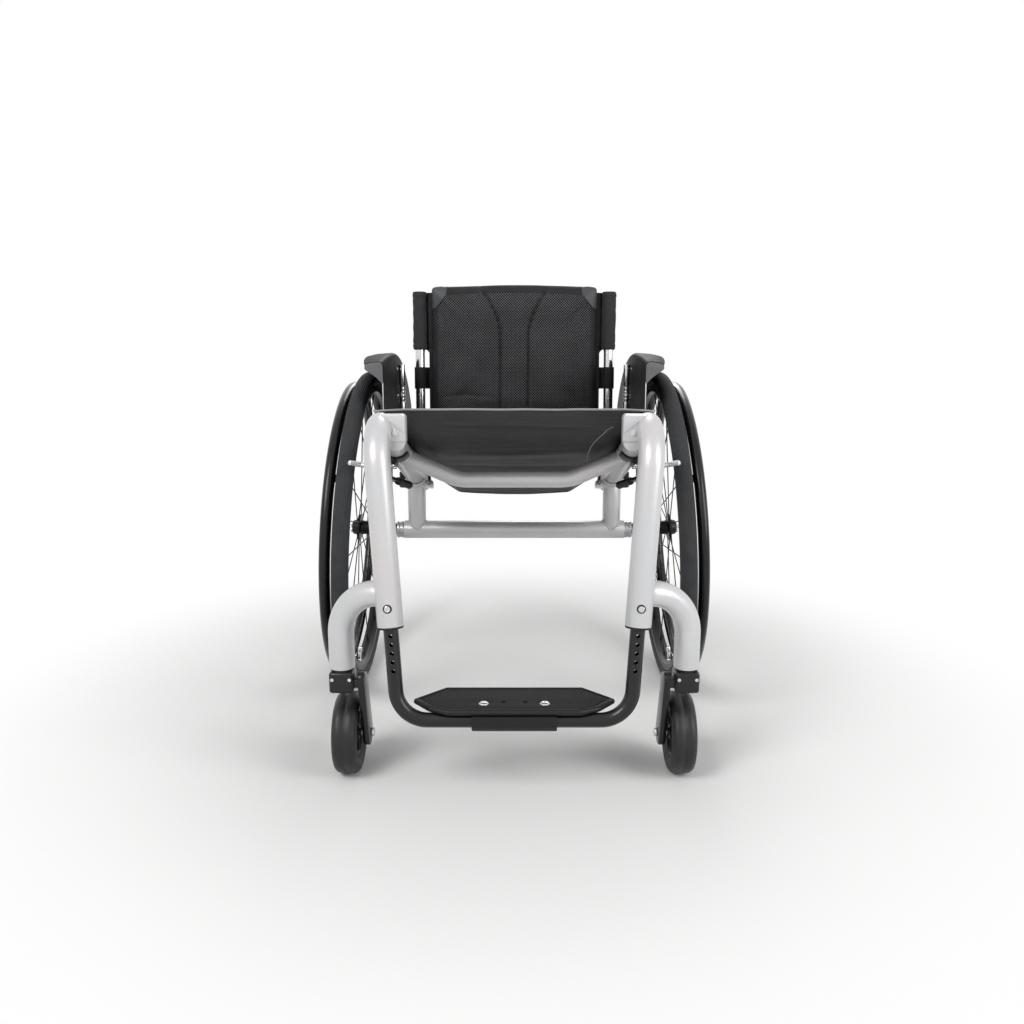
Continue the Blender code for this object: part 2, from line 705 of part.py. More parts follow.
def caster_fork(name, side):
    """Head block and one inner leg, with the stem that turns in the arm."""
    head_top = ARM_END_Z - GAP - SEAL_THICK
    head_mid = head_top - HEAD_HEIGHT / 2
    leg_outer = CASTER_X - CASTER_WIDTH / 2 - LEG_GAP
    leg_inner = leg_outer - LEG_THICK
    size = (HEAD_WIDTH, HEAD_WIDTH, HEAD_HEIGHT)
    body = block((side * CASTER_X, STEER_Y, head_mid), size, None, HEAD_BEVEL)
    foot = on(side, CASTER_X, STEER_Y, head_top)
    root = foot - Vector((0, 0, SEAL_THICK))
    join(body, rod(root, foot + Vector((0, 0, SEAL_THICK)), SEAL_RADIUS))
    join(body, rod(root, foot + Vector((0, 0, STEM_LENGTH)), STEM_RADIUS))
    axle = (CASTER_AXLE_Y, CASTER_RADIUS)
    top = (STEER_Y, head_top - LEG_TOP_DROP)
    rear = arc(axle, LEG_END_RADIUS, 30, -160, 9)
    shoulder = (STEER_Y + HEAD_WIDTH * 0.62, top[1] + LEG_TOP_RADIUS / 4)
    outline = [*arc(top, LEG_TOP_RADIUS, 190, 70, 6), shoulder, *rear]
    leg = plate(outline, LEG_THICK, upright_plane(side * (leg_inner + leg_outer) / 2))
    bridge_inner = leg_inner + LEG_THICK / 4
    bridge_size = (CASTER_X - bridge_inner, BRIDGE_DEPTH, BRIDGE_HEIGHT)
    bridge_x = side * (bridge_inner + CASTER_X) / 2
    bridge = block((bridge_x, STEER_Y, head_top - BRIDGE_DROP), bridge_size, None, HEAD_BEVEL / 2)
    bolt_hole = rod(
        on(side, leg_inner - LEG_THICK, *axle), on(side, leg_outer + LEG_THICK, *axle), CASTER_BOLT_RADIUS + GAP
    )
    join(body, bridge, leg)
    cut(body, bolt_hole)
    return part(body, f"caster_fork_{name}", BLACK, 0.25, 0.4)


def caster_bolt(name, side):
    leg_inner = CASTER_X - CASTER_WIDTH / 2 - LEG_GAP - LEG_THICK
    head = on(side, leg_inner - GAP, CASTER_AXLE_Y, CASTER_RADIUS)
    outward = Vector((side, 0, 0))
    end = on(side, CASTER_X + CASTER_CORE_WIDTH / 2, CASTER_AXLE_Y, CASTER_RADIUS)
    spacer = on(side, CASTER_X - CASTER_CORE_WIDTH / 2 - RUN_GAP, CASTER_AXLE_Y, CASTER_RADIUS)
    leg_face = on(side, leg_inner + LEG_THICK + GAP, CASTER_AXLE_Y, CASTER_RADIUS)
    tip = end + outward * BOLT_END_LENGTH
    body = rod(head - outward * BOLT_HEAD_LENGTH, head, BOLT_HEAD_RADIUS)
    join(body, rod(head - outward * BOLT_HEAD_LENGTH / 2, tip, CASTER_BOLT_RADIUS))
    join(body, rod(leg_face, spacer, BOLT_HEAD_RADIUS))
    join(body, rod(end + outward * RUN_GAP, tip, BOLT_HEAD_RADIUS))
    return part(body, f"caster_bolt_{name}", (0.7, 0.7, 0.72), 0.2, 1.0)


def caster_hub(name, side):
    half, bore = CASTER_CORE_WIDTH / 2, CASTER_BOLT_RADIUS + RUN_GAP
    web, boss = CASTER_WEB / 2, CASTER_BOSS_RADIUS
    band = CASTER_CORE_RADIUS - CASTER_RIM_WALL
    upper = [
        (CASTER_CORE_RADIUS, half), (band, half), (band - CASTER_DRAFT, web),
        (boss + CASTER_DRAFT, web), (boss, half), (bore, half),
    ]
    profile = [*upper, *[(r, -h) for r, h in upper[::-1]]]
    centre = on(side, CASTER_X, CASTER_AXLE_Y, CASTER_RADIUS)
    body = turned(profile, centre, (side, 0, 0), 16)
    return part(body, f"caster_hub_{name}", BLACK, 0.35, 0.0)


def caster_tyre(name, side):
    """Broad soft-roll tread with round shoulders and a side wall that narrows to the hub."""
    half, inner, shoulder = CASTER_WIDTH / 2, CASTER_CORE_RADIUS + GAP * 2, CASTER_SHOULDER
    wall = [(inner, CASTER_CORE_WIDTH / 2)]
    upper = wall + arc((CASTER_RADIUS - shoulder, half - shoulder), shoulder, 90, 15, 3)
    profile = [*upper, (CASTER_RADIUS, 0), *[(r, -h) for r, h in upper[::-1]]]
    centre = on(side, CASTER_X, CASTER_AXLE_Y, CASTER_RADIUS)
    body = turned(profile, centre, (side, 0, 0), 24)
    return part(body, f"caster_tyre_{name}", (0.03, 0.03, 0.032), 0.6, 0.0)


def tyre(name, side):
    """Round section, cut off level where it sits on the rim."""
    seat = RIM_OUTER_RADIUS + GAP * 2
    drop = math.degrees(math.acos((TYRE_MID_RADIUS - seat) / TYRE_SECTION_RADIUS))
    profile = arc((TYRE_MID_RADIUS, 0), TYRE_SECTION_RADIUS, drop - 180, 180 - drop, 9)
    body = turned(profile, wheel_centre(side), wheel_axis(side), WHEEL_STEPS)
    return part(body, f"tyre_{name}", (0.02, 0.02, 0.021), 0.75, 0.0)


def rim(name, side):
    half = RIM_WIDTH / 2
    profile = [
        (RIM_INNER_RADIUS, -half * 0.45), (RIM_INNER_RADIUS + 0.004, -half),
        (RIM_OUTER_RADIUS, -half), (RIM_OUTER_RADIUS, half),
        (RIM_INNER_RADIUS + 0.004, half), (RIM_INNER_RADIUS, half * 0.45),
    ]
    body = turned(profile, wheel_centre(side), wheel_axis(side), WHEEL_STEPS)
    return part(body, f"rim_{name}", BLACK, 0.3, 0.6)


def hub_inner_end():
    """Distance along the wheel's axis from its middle to the hub's inner face, which just clears the sleeve."""
    level = (WHEEL_X - SLEEVE_END_X) / math.cos(CAMBER)
    return -level + HUB_BOSS_RADIUS * math.tan(CAMBER) + RUN_GAP


def spoke_ends(index):
    """A spoke's two ends as (radius, angle, height) round the wheel's axis."""
    outer = index % 2
    turn = 1 if (index // 2) % 2 else -1
    angle = 2 * math.pi * index / SPOKES
    flange = (HUB_OUTER_FLANGE if outer else HUB_INNER_FLANGE) - SPOKE_INSET
    height = HUB_OUTER_FLANGE_AT if outer else HUB_INNER_FLANGE_AT
    apart = SPOKE_RADIUS * 1.5
    start = (flange, angle - turn * SPOKE_SWING, height + apart * turn)
    rim_side = apart if outer else -apart
    return start, (inscribed(RIM_INNER_RADIUS, WHEEL_STEPS) - GAP * 2, angle, rim_side)


def flange_profile(at, radius):
    """Section of a hub flange, from the body out and back."""
    half = HUB_FLANGE_THICK / 2
    foot = half + HUB_CHAMFER
    return [(HUB_BODY_RADIUS, at - foot), (radius, at - half), (radius, at + half), (HUB_BODY_RADIUS, at + foot)]


def hub_and_spokes(name, side):
    inner, bore = hub_inner_end(), PIN_RADIUS + RUN_GAP
    neck = HUB_INNER_FLANGE_AT - HUB_FLANGE_THICK / 2 - 2 * HUB_CHAMFER
    profile = [
        (bore, inner), (HUB_BOSS_RADIUS, inner), (HUB_BOSS_RADIUS, neck - HUB_CHAMFER),
        (HUB_BODY_RADIUS, neck), *flange_profile(HUB_INNER_FLANGE_AT, HUB_INNER_FLANGE),
        *flange_profile(HUB_OUTER_FLANGE_AT, HUB_OUTER_FLANGE),
        (HUB_BOSS_RADIUS + HUB_CHAMFER, HUB_OUTER_END), (bore, HUB_OUTER_END),
    ]
    centre, axis = wheel_centre(side), wheel_axis(side)
    body = turned(profile, centre, axis, 16)
    place = frame_along(centre, axis)
    wires = bmesh.new()
    for index in range(SPOKES):
        ends = [Vector((r * math.cos(a), r * math.sin(a), h)) for r, a, h in spoke_ends(index)]
        length = (ends[1] - ends[0]).length
        spot = frame_along((ends[0] + ends[1]) / 2, ends[1] - ends[0])
        bmesh.ops.create_cone(
            wires, cap_ends=True, segments=3, radius1=SPOKE_RADIUS, radius2=SPOKE_RADIUS,
            depth=length, matrix=spot,
        )
    mesh = bpy.data.meshes.new("spokes")
    wires.to_mesh(mesh)
    wires.free()
    join(body, helper(mesh, place))
    return part(body, f"hub_and_spokes_{name}", BLACK, 0.3, 0.7)


def handrim(name, side):
    """Round hoop carried off the rim's side by bent tabs."""
    centre, axis = wheel_centre(side), wheel_axis(side)
    profile = circle((HANDRIM_RADIUS, HANDRIM_OFFSET), HANDRIM_TUBE_RADIUS, 8)
    body = turned(profile, centre, axis, WHEEL_STEPS)
    place = frame_along(centre, axis)
    foot = RIM_WIDTH / 2 + GAP
    top = HANDRIM_OFFSET - HANDRIM_TUBE_RADIUS * 0.3
    tabs = bmesh.new()
    for index in range(HANDRIM_TABS):
        turn = Matrix.Rotation(2 * math.pi * (index + 0.5) / HANDRIM_TABS, 4, "Z")
        spot = Matrix.Translation((RIM_INNER_RADIUS + TAB_HEIGHT, 0, (foot + top) / 2))
        size = Matrix.Diagonal((TAB_HEIGHT, TAB_WIDTH, top - foot, 1))
        bmesh.ops.create_cube(tabs, size=1.0, matrix=turn @ spot @ size)
    mesh = bpy.data.meshes.new("tabs")
    tabs.to_mesh(mesh)
    tabs.free()
    join(body, helper(mesh, place))
    return part(body, f"handrim_{name}", (0.03, 0.03, 0.03), 0.25, 0.5)


def axle_pin(name, side):
    """Quick-release pin through the hub into the sleeve, its head outside the hub."""
    centre, axis = wheel_centre(side), wheel_axis(side)
    seat = HUB_OUTER_END + RUN_GAP
    top = seat + PIN_HEAD_LENGTH
    body = rod(centre - axis * PIN_DEPTH, centre + axis * (seat + PIN_HEAD_LENGTH / 2), PIN_RADIUS)
    join(body, rod(centre + axis * seat, centre + axis * top, PIN_HEAD_RADIUS))
    bottom = top - BUTTON_DEPTH - BUTTON_REACH - RUN_GAP
    cut(body, rod(centre + axis * bottom, centre + axis * (top + BUTTON_REACH), BUTTON_RADIUS + GAP))
    return part(body, f"axle_pin_{name}", (0.7, 0.7, 0.72), 0.2, 1.0)


def axle_button(name, side):
    centre, axis = wheel_centre(side), wheel_axis(side)
    top = HUB_OUTER_END + RUN_GAP + PIN_HEAD_LENGTH
    body = rod(centre + axis * (top - BUTTON_DEPTH), centre + axis * (top + BUTTON_REACH), BUTTON_RADIUS)
    return part(body, f"axle_button_{name}", (0.6, 0.6, 0.62), 0.3, 1.0)


def foot_path():
    top = front_tube_point(FOOT_INSERT_Z)
    corners = [top, FOOT_CORNER, on(-1, *FOOT_CORNER), on(-1, *top)]
    return rounded(corners, FOOT_BEND, 6)


def tube_bush(name, side):
    """Plastic bush in the front tube's lower end that the footrest slides in."""
    end = on(side, *front_tube_point(FRONT_END_Z))
    down = on(side, *FRONT_DOWN)
    body = rod(end - down * BUSH_LENGTH, end + down * BUSH_LIP / 2, inscribed(TUBE_BORE, 12) - GAP)
    join(body, rod(end + down * GAP, end + down * BUSH_LIP, TUBE_RADIUS - BUSH_LIP_INSET))
    room = down * BUSH_LENGTH * 1.5
    cut(body, rod(end - room, end + room, FOOT_TUBE_RADIUS + GAP * 2, 16))
    return part(body, f"tube_bush_{name}", BLACK, 0.5, 0.0)


def footrest_loop():
    body = tube(foot_path(), FOOT_TUBE_RADIUS, 10)
    for _, side in SIDES:
        for index in range(HEIGHT_HOLES):
            centre = on(side, *front_tube_point(HEIGHT_HOLE_TOP_Z - index * HEIGHT_HOLE_PITCH))
            across = Vector((0, math.cos(FRONT_LEAN), -math.sin(FRONT_LEAN))) * FOOT_TUBE_RADIUS * 2
            cut(body, rod(centre - across, centre + across, HEIGHT_HOLE_RADIUS, 6))
    return part(body, "footrest_loop", BLACK, 0.35, 0.3)


def footplate():
    """Long hexagonal tread on the loop's cross tube, with a round lip along its front."""
    y, bottom = FOOT_CORNER.y, FOOT_CORNER.z + FOOT_TUBE_RADIUS + GAP
    half = [
        (PLATE_HALF_FRONT, PLATE_FRONT_Y), (PLATE_HALF_SHOULDER, PLATE_SHOULDER_Y),
        (PLATE_HALF_WIDTH, PLATE_TIP_Y), (PLATE_HALF_WIDTH, PLATE_TIP_Y + PLATE_TIP_DEPTH),
        (PLATE_HALF_REAR, PLATE_REAR_Y),
    ]
    outline = [*half, *[(-x, d) for x, d in half[::-1]]]
    body = plate(outline, PLATE_THICK, Matrix.Translation((0, y, bottom + PLATE_THICK / 2)))
    edge = [*half[2::-1], *[(-x, d) for x, d in half[:3]]]
    lip = [Vector((x, y + d, bottom + PLATE_LIP_RADIUS)) for x, d in edge]
    join(body, tube(lip, PLATE_LIP_RADIUS, 8))
    through = Vector((0, 0, PLATE_THICK))
    for side in (1, -1):
        foot = Vector((side * SCREW_X, y + SCREW_Y, bottom + PLATE_THICK / 2))
        head = through / 2 + Vector((0, 0, SCREW_HEAD_HEIGHT))
        join(body, rod(foot, foot + head, SCREW_HEAD_RADIUS))
        hole = Vector((side * SPARE_HOLE_X, y + SPARE_HOLE_Y, bottom))
        cut(body, rod(hole - through, hole + through * 2, SPARE_HOLE_RADIUS, 10))
    return part(body, "footplate", BLACK, 0.6, 0.0)


def footplate_clamp():
    """Half shell under the cross tube with a flat tail that the tread is screwed to."""
    y, z = FOOT_CORNER.y, FOOT_CORNER.z
    reach = FOOT_TUBE_RADIUS + CLAMP_WALL
    top = z + FOOT_TUBE_RADIUS
    width = 2 * CLAMP_HALF_WIDTH
    body = rod((-CLAMP_HALF_WIDTH, y, z), (CLAMP_HALF_WIDTH, y, z), reach, 16)
    flange = (width, reach + CLAMP_TAIL, CLAMP_FLANGE)
    join(body, block((0, y - reach + flange[1] / 2, top - CLAMP_FLANGE / 2), flange))
    cut(body, block((0, y, top + reach / 2), (2 * width, 4 * reach, reach)))
    bore = (FOOT_TUBE_RADIUS + GAP) / inscribed(1.0, 24)
    cut(body, rod((-width, y, z), (width, y, z), bore, 24))
    return part(body, "footplate_clamp", BLACK, 0.5, 0.1)


def sling_section(t):
    """Half a seat section, from the outer hem over the rail to the middle: (across, up) from the rail plane."""
    r = TUBE_RADIUS + SKIN_GAP
    centre = rail_point(SLING_FRONT_Y + (SLING_REAR_Y - SLING_FRONT_Y) * t).x
    panel = SLING_PANEL_FRONT + (SLING_PANEL_REAR - SLING_PANEL_FRONT) * t
    low = SLING_FRONT_RISE + (-SLING_REAR_DROP - SLING_FRONT_RISE) * t
    reach = Vector((panel - centre, low))
    leave = math.atan2(reach.y, reach.x) % (2 * math.pi) - math.acos(r / reach.length)
    wrap = [SLING_WRAP + (leave - SLING_WRAP) * i / 5 for i in range(6)]
    over = [(centre + r * math.cos(a), r * math.sin(a)) for a in wrap]
    edge = over[-1]
    side = [(edge[0] + (panel - edge[0]) * k, edge[1] + (low - edge[1]) * k) for k in (0.4, 0.85)]
    flat = [(panel * k, low - SLING_SAG * t * (1 - k * k)) for k in (0.95, 0.72, 0.36, 0.0)]
    return [*over, *side, *flat]


def seat_sling():
    """Hung cloth seat: laid over both rails, a level middle panel and a folded panel up to each rail."""
    shape = bmesh.new()
    grid = []
    for i in range(SLING_ROWS):
        t = i / (SLING_ROWS - 1)
        y = SLING_FRONT_Y + (SLING_REAR_Y - SLING_FRONT_Y) * t
        half = sling_section(t)
        section = [*half, *[(-x, h) for x, h in half[-2::-1]]]
        base = rail_point(y)
        grid.append([shape.verts.new(Vector((x, base.y, base.z)) + h * RAIL_UP) for x, h in section])
    for before, after in zip(grid, grid[1:]):
        for k in range(len(before) - 1):
            shape.faces.new((before[k], after[k], after[k + 1], before[k + 1]))
    mesh = bpy.data.meshes.new("sling")
    shape.to_mesh(mesh)
    shape.free()
    body = helper(mesh)
    skin = body.modifiers.new("cloth", "SOLIDIFY")
    skin.thickness = SLING_THICK
    skin.offset = 1.0
    return part(body, "seat_sling", (0.02, 0.02, 0.02), 0.8, 0.0)


def back_frame(x=0.0, up=0.0, forward=0.0):
    """Place on the raised back: across, up the canes from the hinge, and forward of them."""
    return Vector((x, HINGE.y, HINGE.z)) + up * CANE_UP + forward * CANE_FORWARD


def back_plan(height):
    """Frame square to the canes at a height: X across, Y rearwards, Z up the canes."""
    rows = Matrix((Vector((1, 0, 0)), -CANE_FORWARD, CANE_UP)).transposed().to_4x4()
    return Matrix.Translation(back_frame(up=height)) @ rows


def hinge_bracket(name, side):
    """Plug in the rail's rear end with two cheeks and the pin that the cane turns on."""
    inner_gap = CANE_RADIUS + RUN_GAP
    along = on(side, *RAIL_REARWARD)
    end = on(side, *RAIL_END)
    head = along * HINGE_HEAD_LENGTH
    body = rod(end + along * GAP, end + head, TUBE_RADIUS, 16)
    join(body, rod(end - along * HINGE_PLUG_LENGTH, end + head / 2, inscribed(TUBE_BORE, 12) - GAP))
    base = rail_point(RAIL_END_Y + HINGE_HEAD_LENGTH / 2)
    low, high = TUBE_RADIUS * 0.84, TUBE_RADIUS * 0.63
    outline = [
        (base.y - HINGE_HEAD_LENGTH * 0.43, base.z - high), (base.y + HINGE_HEAD_LENGTH * 0.86, base.z - low),
        *arc((HINGE.y, HINGE.z), CHEEK_RADIUS, -20, 170, 6),
        (base.y - HINGE_HEAD_LENGTH * 0.43, base.z + high),
    ]
    for face in (1, -1):
        x = end.x + face * (inner_gap + CHEEK_THICK / 2)
        join(body, plate(outline, CHEEK_THICK, upright_plane(x)))
    reach = inner_gap + CHEEK_THICK + HINGE_PIN_PROUD
    pin = rod((end.x - reach, HINGE.y, HINGE.z), (end.x + reach, HINGE.y, HINGE.z), HINGE_PIN_RADIUS)
    cut(body, rail_end_room(side))
    join(body, pin)
    return part(body, f"hinge_bracket_{name}", BLACK, 0.4, 0.5)


def rail_end_room(side):
    """Room for the rail's end, all but its bore, so that the cheeks start behind it."""
    along = on(side, *RAIL_REARWARD)
    end = on(side, *RAIL_END)
    length = along * (HINGE_PLUG_LENGTH + HINGE_HEAD_LENGTH)
    ring = rod(end - length, end + along * GAP, 2 * TUBE_RADIUS, 16)
    return cut(ring, rod(end - length * 1.5, end + length, inscribed(TUBE_BORE, 12)))


def back_cane(name, side):
    foot = back_frame(side * HINGE.x, -CANE_FOOT)
    top = back_frame(side * HINGE.x, CANE_LENGTH)
    body = rod(foot, top, CANE_RADIUS, 12)
    across = Vector((2 * CANE_RADIUS, 0, 0))
    axis = on(side, *HINGE)
    cut(body, rod(axis - across, axis + across, HINGE_PIN_RADIUS + RUN_GAP))
    return part(body, f"back_cane_{name}", (0.75, 0.75, 0.77), 0.15, 1.0)


def panel_depth(x):
    """How far the back's panel hangs behind the canes at this distance from the middle."""
    return PANEL_SAG * (1 - (x / HINGE.x) ** 2)


def band_outline(radius, thickness, start, sag, shares):
    """Outline, square to the canes, of cloth that goes round both canes and across behind the back."""
    x = HINGE.x
    around = arc((x, 0), radius, -125, 125, 8)
    front = [(x * k, thickness * 0.5 + start + sag * (1 - k * k)) for k in shares]
    back = [(a, b - thickness) for a, b in front]
    half_up = [(-a, b) for a, b in front[-2::-1]]
    half_down = [(-a, b) for a, b in back[:-1]]
    left = [(-a, -b) for a, b in around]
    return [*around, *front, *half_up, *left, *half_down, *back[::-1]]


def cane_room(side, low, high, radius):
    x = side * HINGE.x
    return rod(back_frame(x, low), back_frame(x, high), radius, 12)


def back_upholstery():
    """Sewn back: a closed-top sleeve over each cane and the panel between them."""
    middle = (SLEEVE_TOP + SLEEVE_BOTTOM) / 2
    shares = (0.91, 0.76, 0.61, 0.46, 0.31, 0.16, 0.0)
    outline = band_outline(CANE_RADIUS + SLEEVE_WALL, PANEL_THICK, 0.0, PANEL_SAG, shares)
    body = plate(outline, SLEEVE_TOP - SLEEVE_BOTTOM, back_plan(middle))
    half = HINGE.x - CANE_RADIUS - SLEEVE_WALL - PANEL_SIDE_GAP
    flat = [(half * k / 6, panel_depth(half * k / 6)) for k in range(-6, 7)]
    rear = [(a, b + PANEL_THICK / 2) for a, b in flat]
    front = [(a, b - PANEL_THICK / 2) for a, b in flat[::-1]]
    height = SLEEVE_BOTTOM - PANEL_BOTTOM + PANEL_LAP
    join(body, plate([*rear, *front], height, back_plan(PANEL_BOTTOM + height / 2)))
    for _, side in SIDES:
        cut(body, cane_room(side, 0, CANE_LENGTH + GAP * 2, CANE_RADIUS + RUN_GAP))
    return part(body, "back_upholstery", (0.03, 0.03, 0.03), 0.85, 0.0)


def back_strap(name, low, high):
    """Tension strap round both canes, behind the panel."""
    outline = band_outline(CANE_RADIUS + STRAP_WALL, STRAP_WALL, STRAP_SET, STRAP_SAG, (0.91, 0.65, 0.3, 0.0))
    body = plate(outline, high - low, back_plan((low + high) / 2))
    for _, side in SIDES:
        cut(body, cane_room(side, 0, CANE_LENGTH, CANE_RADIUS + RUN_GAP))
    return part(body, name, (0.03, 0.03, 0.03), 0.8, 0.0)


def seam_x(up):
    """How far from the middle the two sewn channels run at this height on the back."""
    fall = max(0.0, min(1.0, (PAD_TOP - up) / PAD_SEAM_TURN))
    return PAD_SEAM_X_LOW + (PAD_SEAM_X_TOP - PAD_SEAM_X_LOW) * (1 - fall) ** 1.6


def back_pad():
    """Crowned pad in front of the panel, with drawn-in edges and two sewn channels that flare at the top."""
    columns = [(0, 0.0), (0, 0.35), (0, 0.8), (0, 1.0), (1, 0.06), (1, 0.3), (1, 0.6), (1, 0.85), (1, 1.0)]
    shape = bmesh.new()
    front, rear = [], []
    for j in range(PAD_ROWS + 1):
        v = j / PAD_ROWS
        front_line, rear_line = [], []
        for mirror in (-1, 1):
            order = columns[::-1] if mirror < 0 else columns[1:]
            for zone, k in order:
                up = PAD_BOTTOM + (PAD_TOP - PAD_BOTTOM) * v
                seam = seam_x(up)
                x = seam * k if zone == 0 else seam + (PAD_HALF_WIDTH - seam) * k
                u = x / PAD_HALF_WIDTH
                top_drop = PAD_CORNER_DROP * u * u * v
                rim_fade = (1 - u ** 6) * (1 - (2 * v - 1) ** 8)
                seam_dip = PAD_SEAM_DEPTH if (zone, k) == (0, 1.0) else 0.0
                depth = PAD_EDGE_DEPTH + PAD_CROWN * rim_fade * (1 - 0.25 * u * u) - seam_dip * rim_fade
                spot = back_frame(mirror * x, up - top_drop, 0)
                seat = PANEL_THICK / 2 + PAD_GAP - panel_depth(x)
                front_line.append(shape.verts.new(spot + CANE_FORWARD * depth))
                rear_line.append(shape.verts.new(spot + CANE_FORWARD * seat))
        front.append(front_line)
        rear.append(rear_line)
    last = len(front[0]) - 1
    for j in range(PAD_ROWS):
        for i in range(last):
            shape.faces.new((front[j][i], front[j][i + 1], front[j + 1][i + 1], front[j + 1][i]))
            shape.faces.new((rear[j][i + 1], rear[j][i], rear[j + 1][i], rear[j + 1][i + 1]))
        for i in (0, last):
            shape.faces.new((rear[j][i], front[j][i], front[j + 1][i], rear[j + 1][i]))
    for i in range(last):
        for j in (0, PAD_ROWS):
            shape.faces.new((rear[j][i], rear[j][i + 1], front[j][i + 1], front[j][i]))
    bmesh.ops.recalc_face_normals(shape, faces=shape.faces)
    mesh = bpy.data.meshes.new("pad")
    shape.to_mesh(mesh)
    shape.free()
    return part(helper(mesh), "back_pad", (0.025, 0.025, 0.025), 0.9, 0.0)


def guard_top(y):
    """Height of the guard's top edge: nearly level in front, then an arch about the axle."""
    arch = AXLE_TUBE_Z + math.sqrt(GUARD_ARCH_RADIUS ** 2 - y * y)
    if y >= 0:
        return arch
    crest = AXLE_TUBE_Z + GUARD_ARCH_RADIUS
    return crest - GUARD_FRONT_DROP * (y / GUARD_FRONT_Y) ** 2


def guard_reach(y):
    """How far the guard's tip stands out from its wall, less towards its front end."""
    forward = min(0.0, y) / GUARD_FRONT_Y
    return GUARD_TIP_X - GUARD_X - (GUARD_TIP_X - GUARD_FRONT_TIP_X) * forward ** 2


def guard_bottom(y):
    if y < 0:
        return GUARD_LOW_Z - y * math.tan(SEAT_DUMP)
    t = min(1.0, y / GUARD_REAR_Y)
    return GUARD_LOW_Z + (guard_top(GUARD_REAR_Y) - GUARD_BAND - GUARD_LOW_Z) * t * t


def side_guard(name, side):
    """Thin upright guard whose top edge curls out over the tyre."""
    curl = arc((GUARD_CURL, -GUARD_CURL), GUARD_CURL, 180, 90, 4)
    shape = bmesh.new()
    grid = []
    for i in range(GUARD_ROWS):
        y = GUARD_FRONT_Y + (GUARD_REAR_Y - GUARD_FRONT_Y) * i / (GUARD_ROWS - 1)
        top, low, reach = guard_top(y), guard_bottom(y), guard_reach(y)
        fall = [(reach * 0.7, -GUARD_FALL * 0.35), (reach, -GUARD_FALL)]
        section = [(0, low - top), (0, (low - top) * 0.5), *curl, *fall]
        grid.append([shape.verts.new(on(side, GUARD_X + x, y, top + dz)) for x, dz in section])
    for before, after in zip(grid, grid[1:]):
        for k in range(len(before) - 1):
            shape.faces.new((before[k], after[k], after[k + 1], before[k + 1]))
    mesh = bpy.data.meshes.new("guard")
    shape.to_mesh(mesh)
    shape.free()
    body = helper(mesh)
    skin = body.modifiers.new("shell", "SOLIDIFY")
    skin.thickness = GUARD_THICK
    skin.offset = 0.0
    body = mesh_of(body)
    reach, inner, drop = guard_reach(GUARD_FRONT_Y), -GUARD_THICK / 4, GUARD_WEB_DROP
    outer = reach - GUARD_THICK
    web = [
        (inner, -drop), (outer * 0.17, -drop * 0.86), (outer * 0.36, -drop * 0.6), (outer * 0.62, -drop * 0.42),
        (outer, -GUARD_FALL - GUARD_WEB_TIP), (outer, -GUARD_FALL), (reach * 0.7, -GUARD_FALL * 0.35),
        *curl[:0:-1], (inner, -GUARD_CURL),
    ]
    place = facing_plane(side, GUARD_X, GUARD_FRONT_Y + GUARD_THICK, guard_top(GUARD_FRONT_Y))
    join(body, plate(web, GUARD_THICK, place))
    return part(body, f"side_guard_{name}", BLACK, 0.35, 0.0)


def guard_post(name, side):
    """Clamp ring on the rail behind the seat, with a socket and the upright that carries the guard."""
    along = on(side, *RAIL_REARWARD)
    centre = rail_point(POST_Y)
    spot = on(side, *centre)
    half = POST_RING_LENGTH / 2
    body = rod(spot - along * half, spot + along * half, TUBE_RADIUS + POST_RING_WALL)
    foot = on(side, POST_X, POST_Y, centre.z - POST_SOCKET_HEIGHT / 2)
    join(body, rod(foot, foot + Vector((0, 0, POST_SOCKET_HEIGHT)), POST_SOCKET_RADIUS))
    middle = foot + Vector((0, 0, POST_SOCKET_HEIGHT / 2))
    join(body, rod(middle, on(side, POST_X, POST_Y, POST_TOP_Z), POST_RADIUS, 10))
    cut(body, fat_side_tube(side, GAP))
    return part(body, f"guard_post_{name}", (0.6, 0.6, 0.62), 0.35, 1.0)


def lock_pivot_offset():
    """How far outside the rail's centre the lock's two pivots lie."""
    return LOCK_PIVOT_X - rail_point(LOCK_STATION_Y).x


def bar_angle(lever):
    """How far the bar has turned about its pivot for this turn of the lever, drive pin in slot."""
    return math.atan2(-LOCK_CRANK * math.sin(lever), LOCK_PIVOT_GAP - LOCK_CRANK * math.cos(lever))


def in_lock(side, x, s, h):
    """A point in the lock's frame: outwards, down the rail from the bar's pivot, and square to both."""
    return rail_frame(side, LOCK_STATION_Y) @ Vector((side * x, s, h))


def lock_rod(side, a, b, radius, sides=10):
    return rod(in_lock(side, *a), in_lock(side, *b), radius, sides)


def turned_about(x, s, angle, points):
    """Points in the lock's plane turned about (x, s), outwards towards the rear for a positive angle."""
    c, n = math.cos(angle), math.sin(angle)
    return [(x + c * (px - x) - n * (ps - s), s + n * (px - x) + c * (ps - s)) for px, ps in points]


def lock_plate(side, outline, thickness, height, holes=()):
    """A flat piece in the lock's plane."""
    place = rail_frame(side, LOCK_STATION_Y) @ Matrix.Translation((0, 0, height))
    flip = [(side * x, s) for x, s in outline]
    return plate(flip, thickness, place, [[(side * x, s) for x, s in hole] for hole in holes])


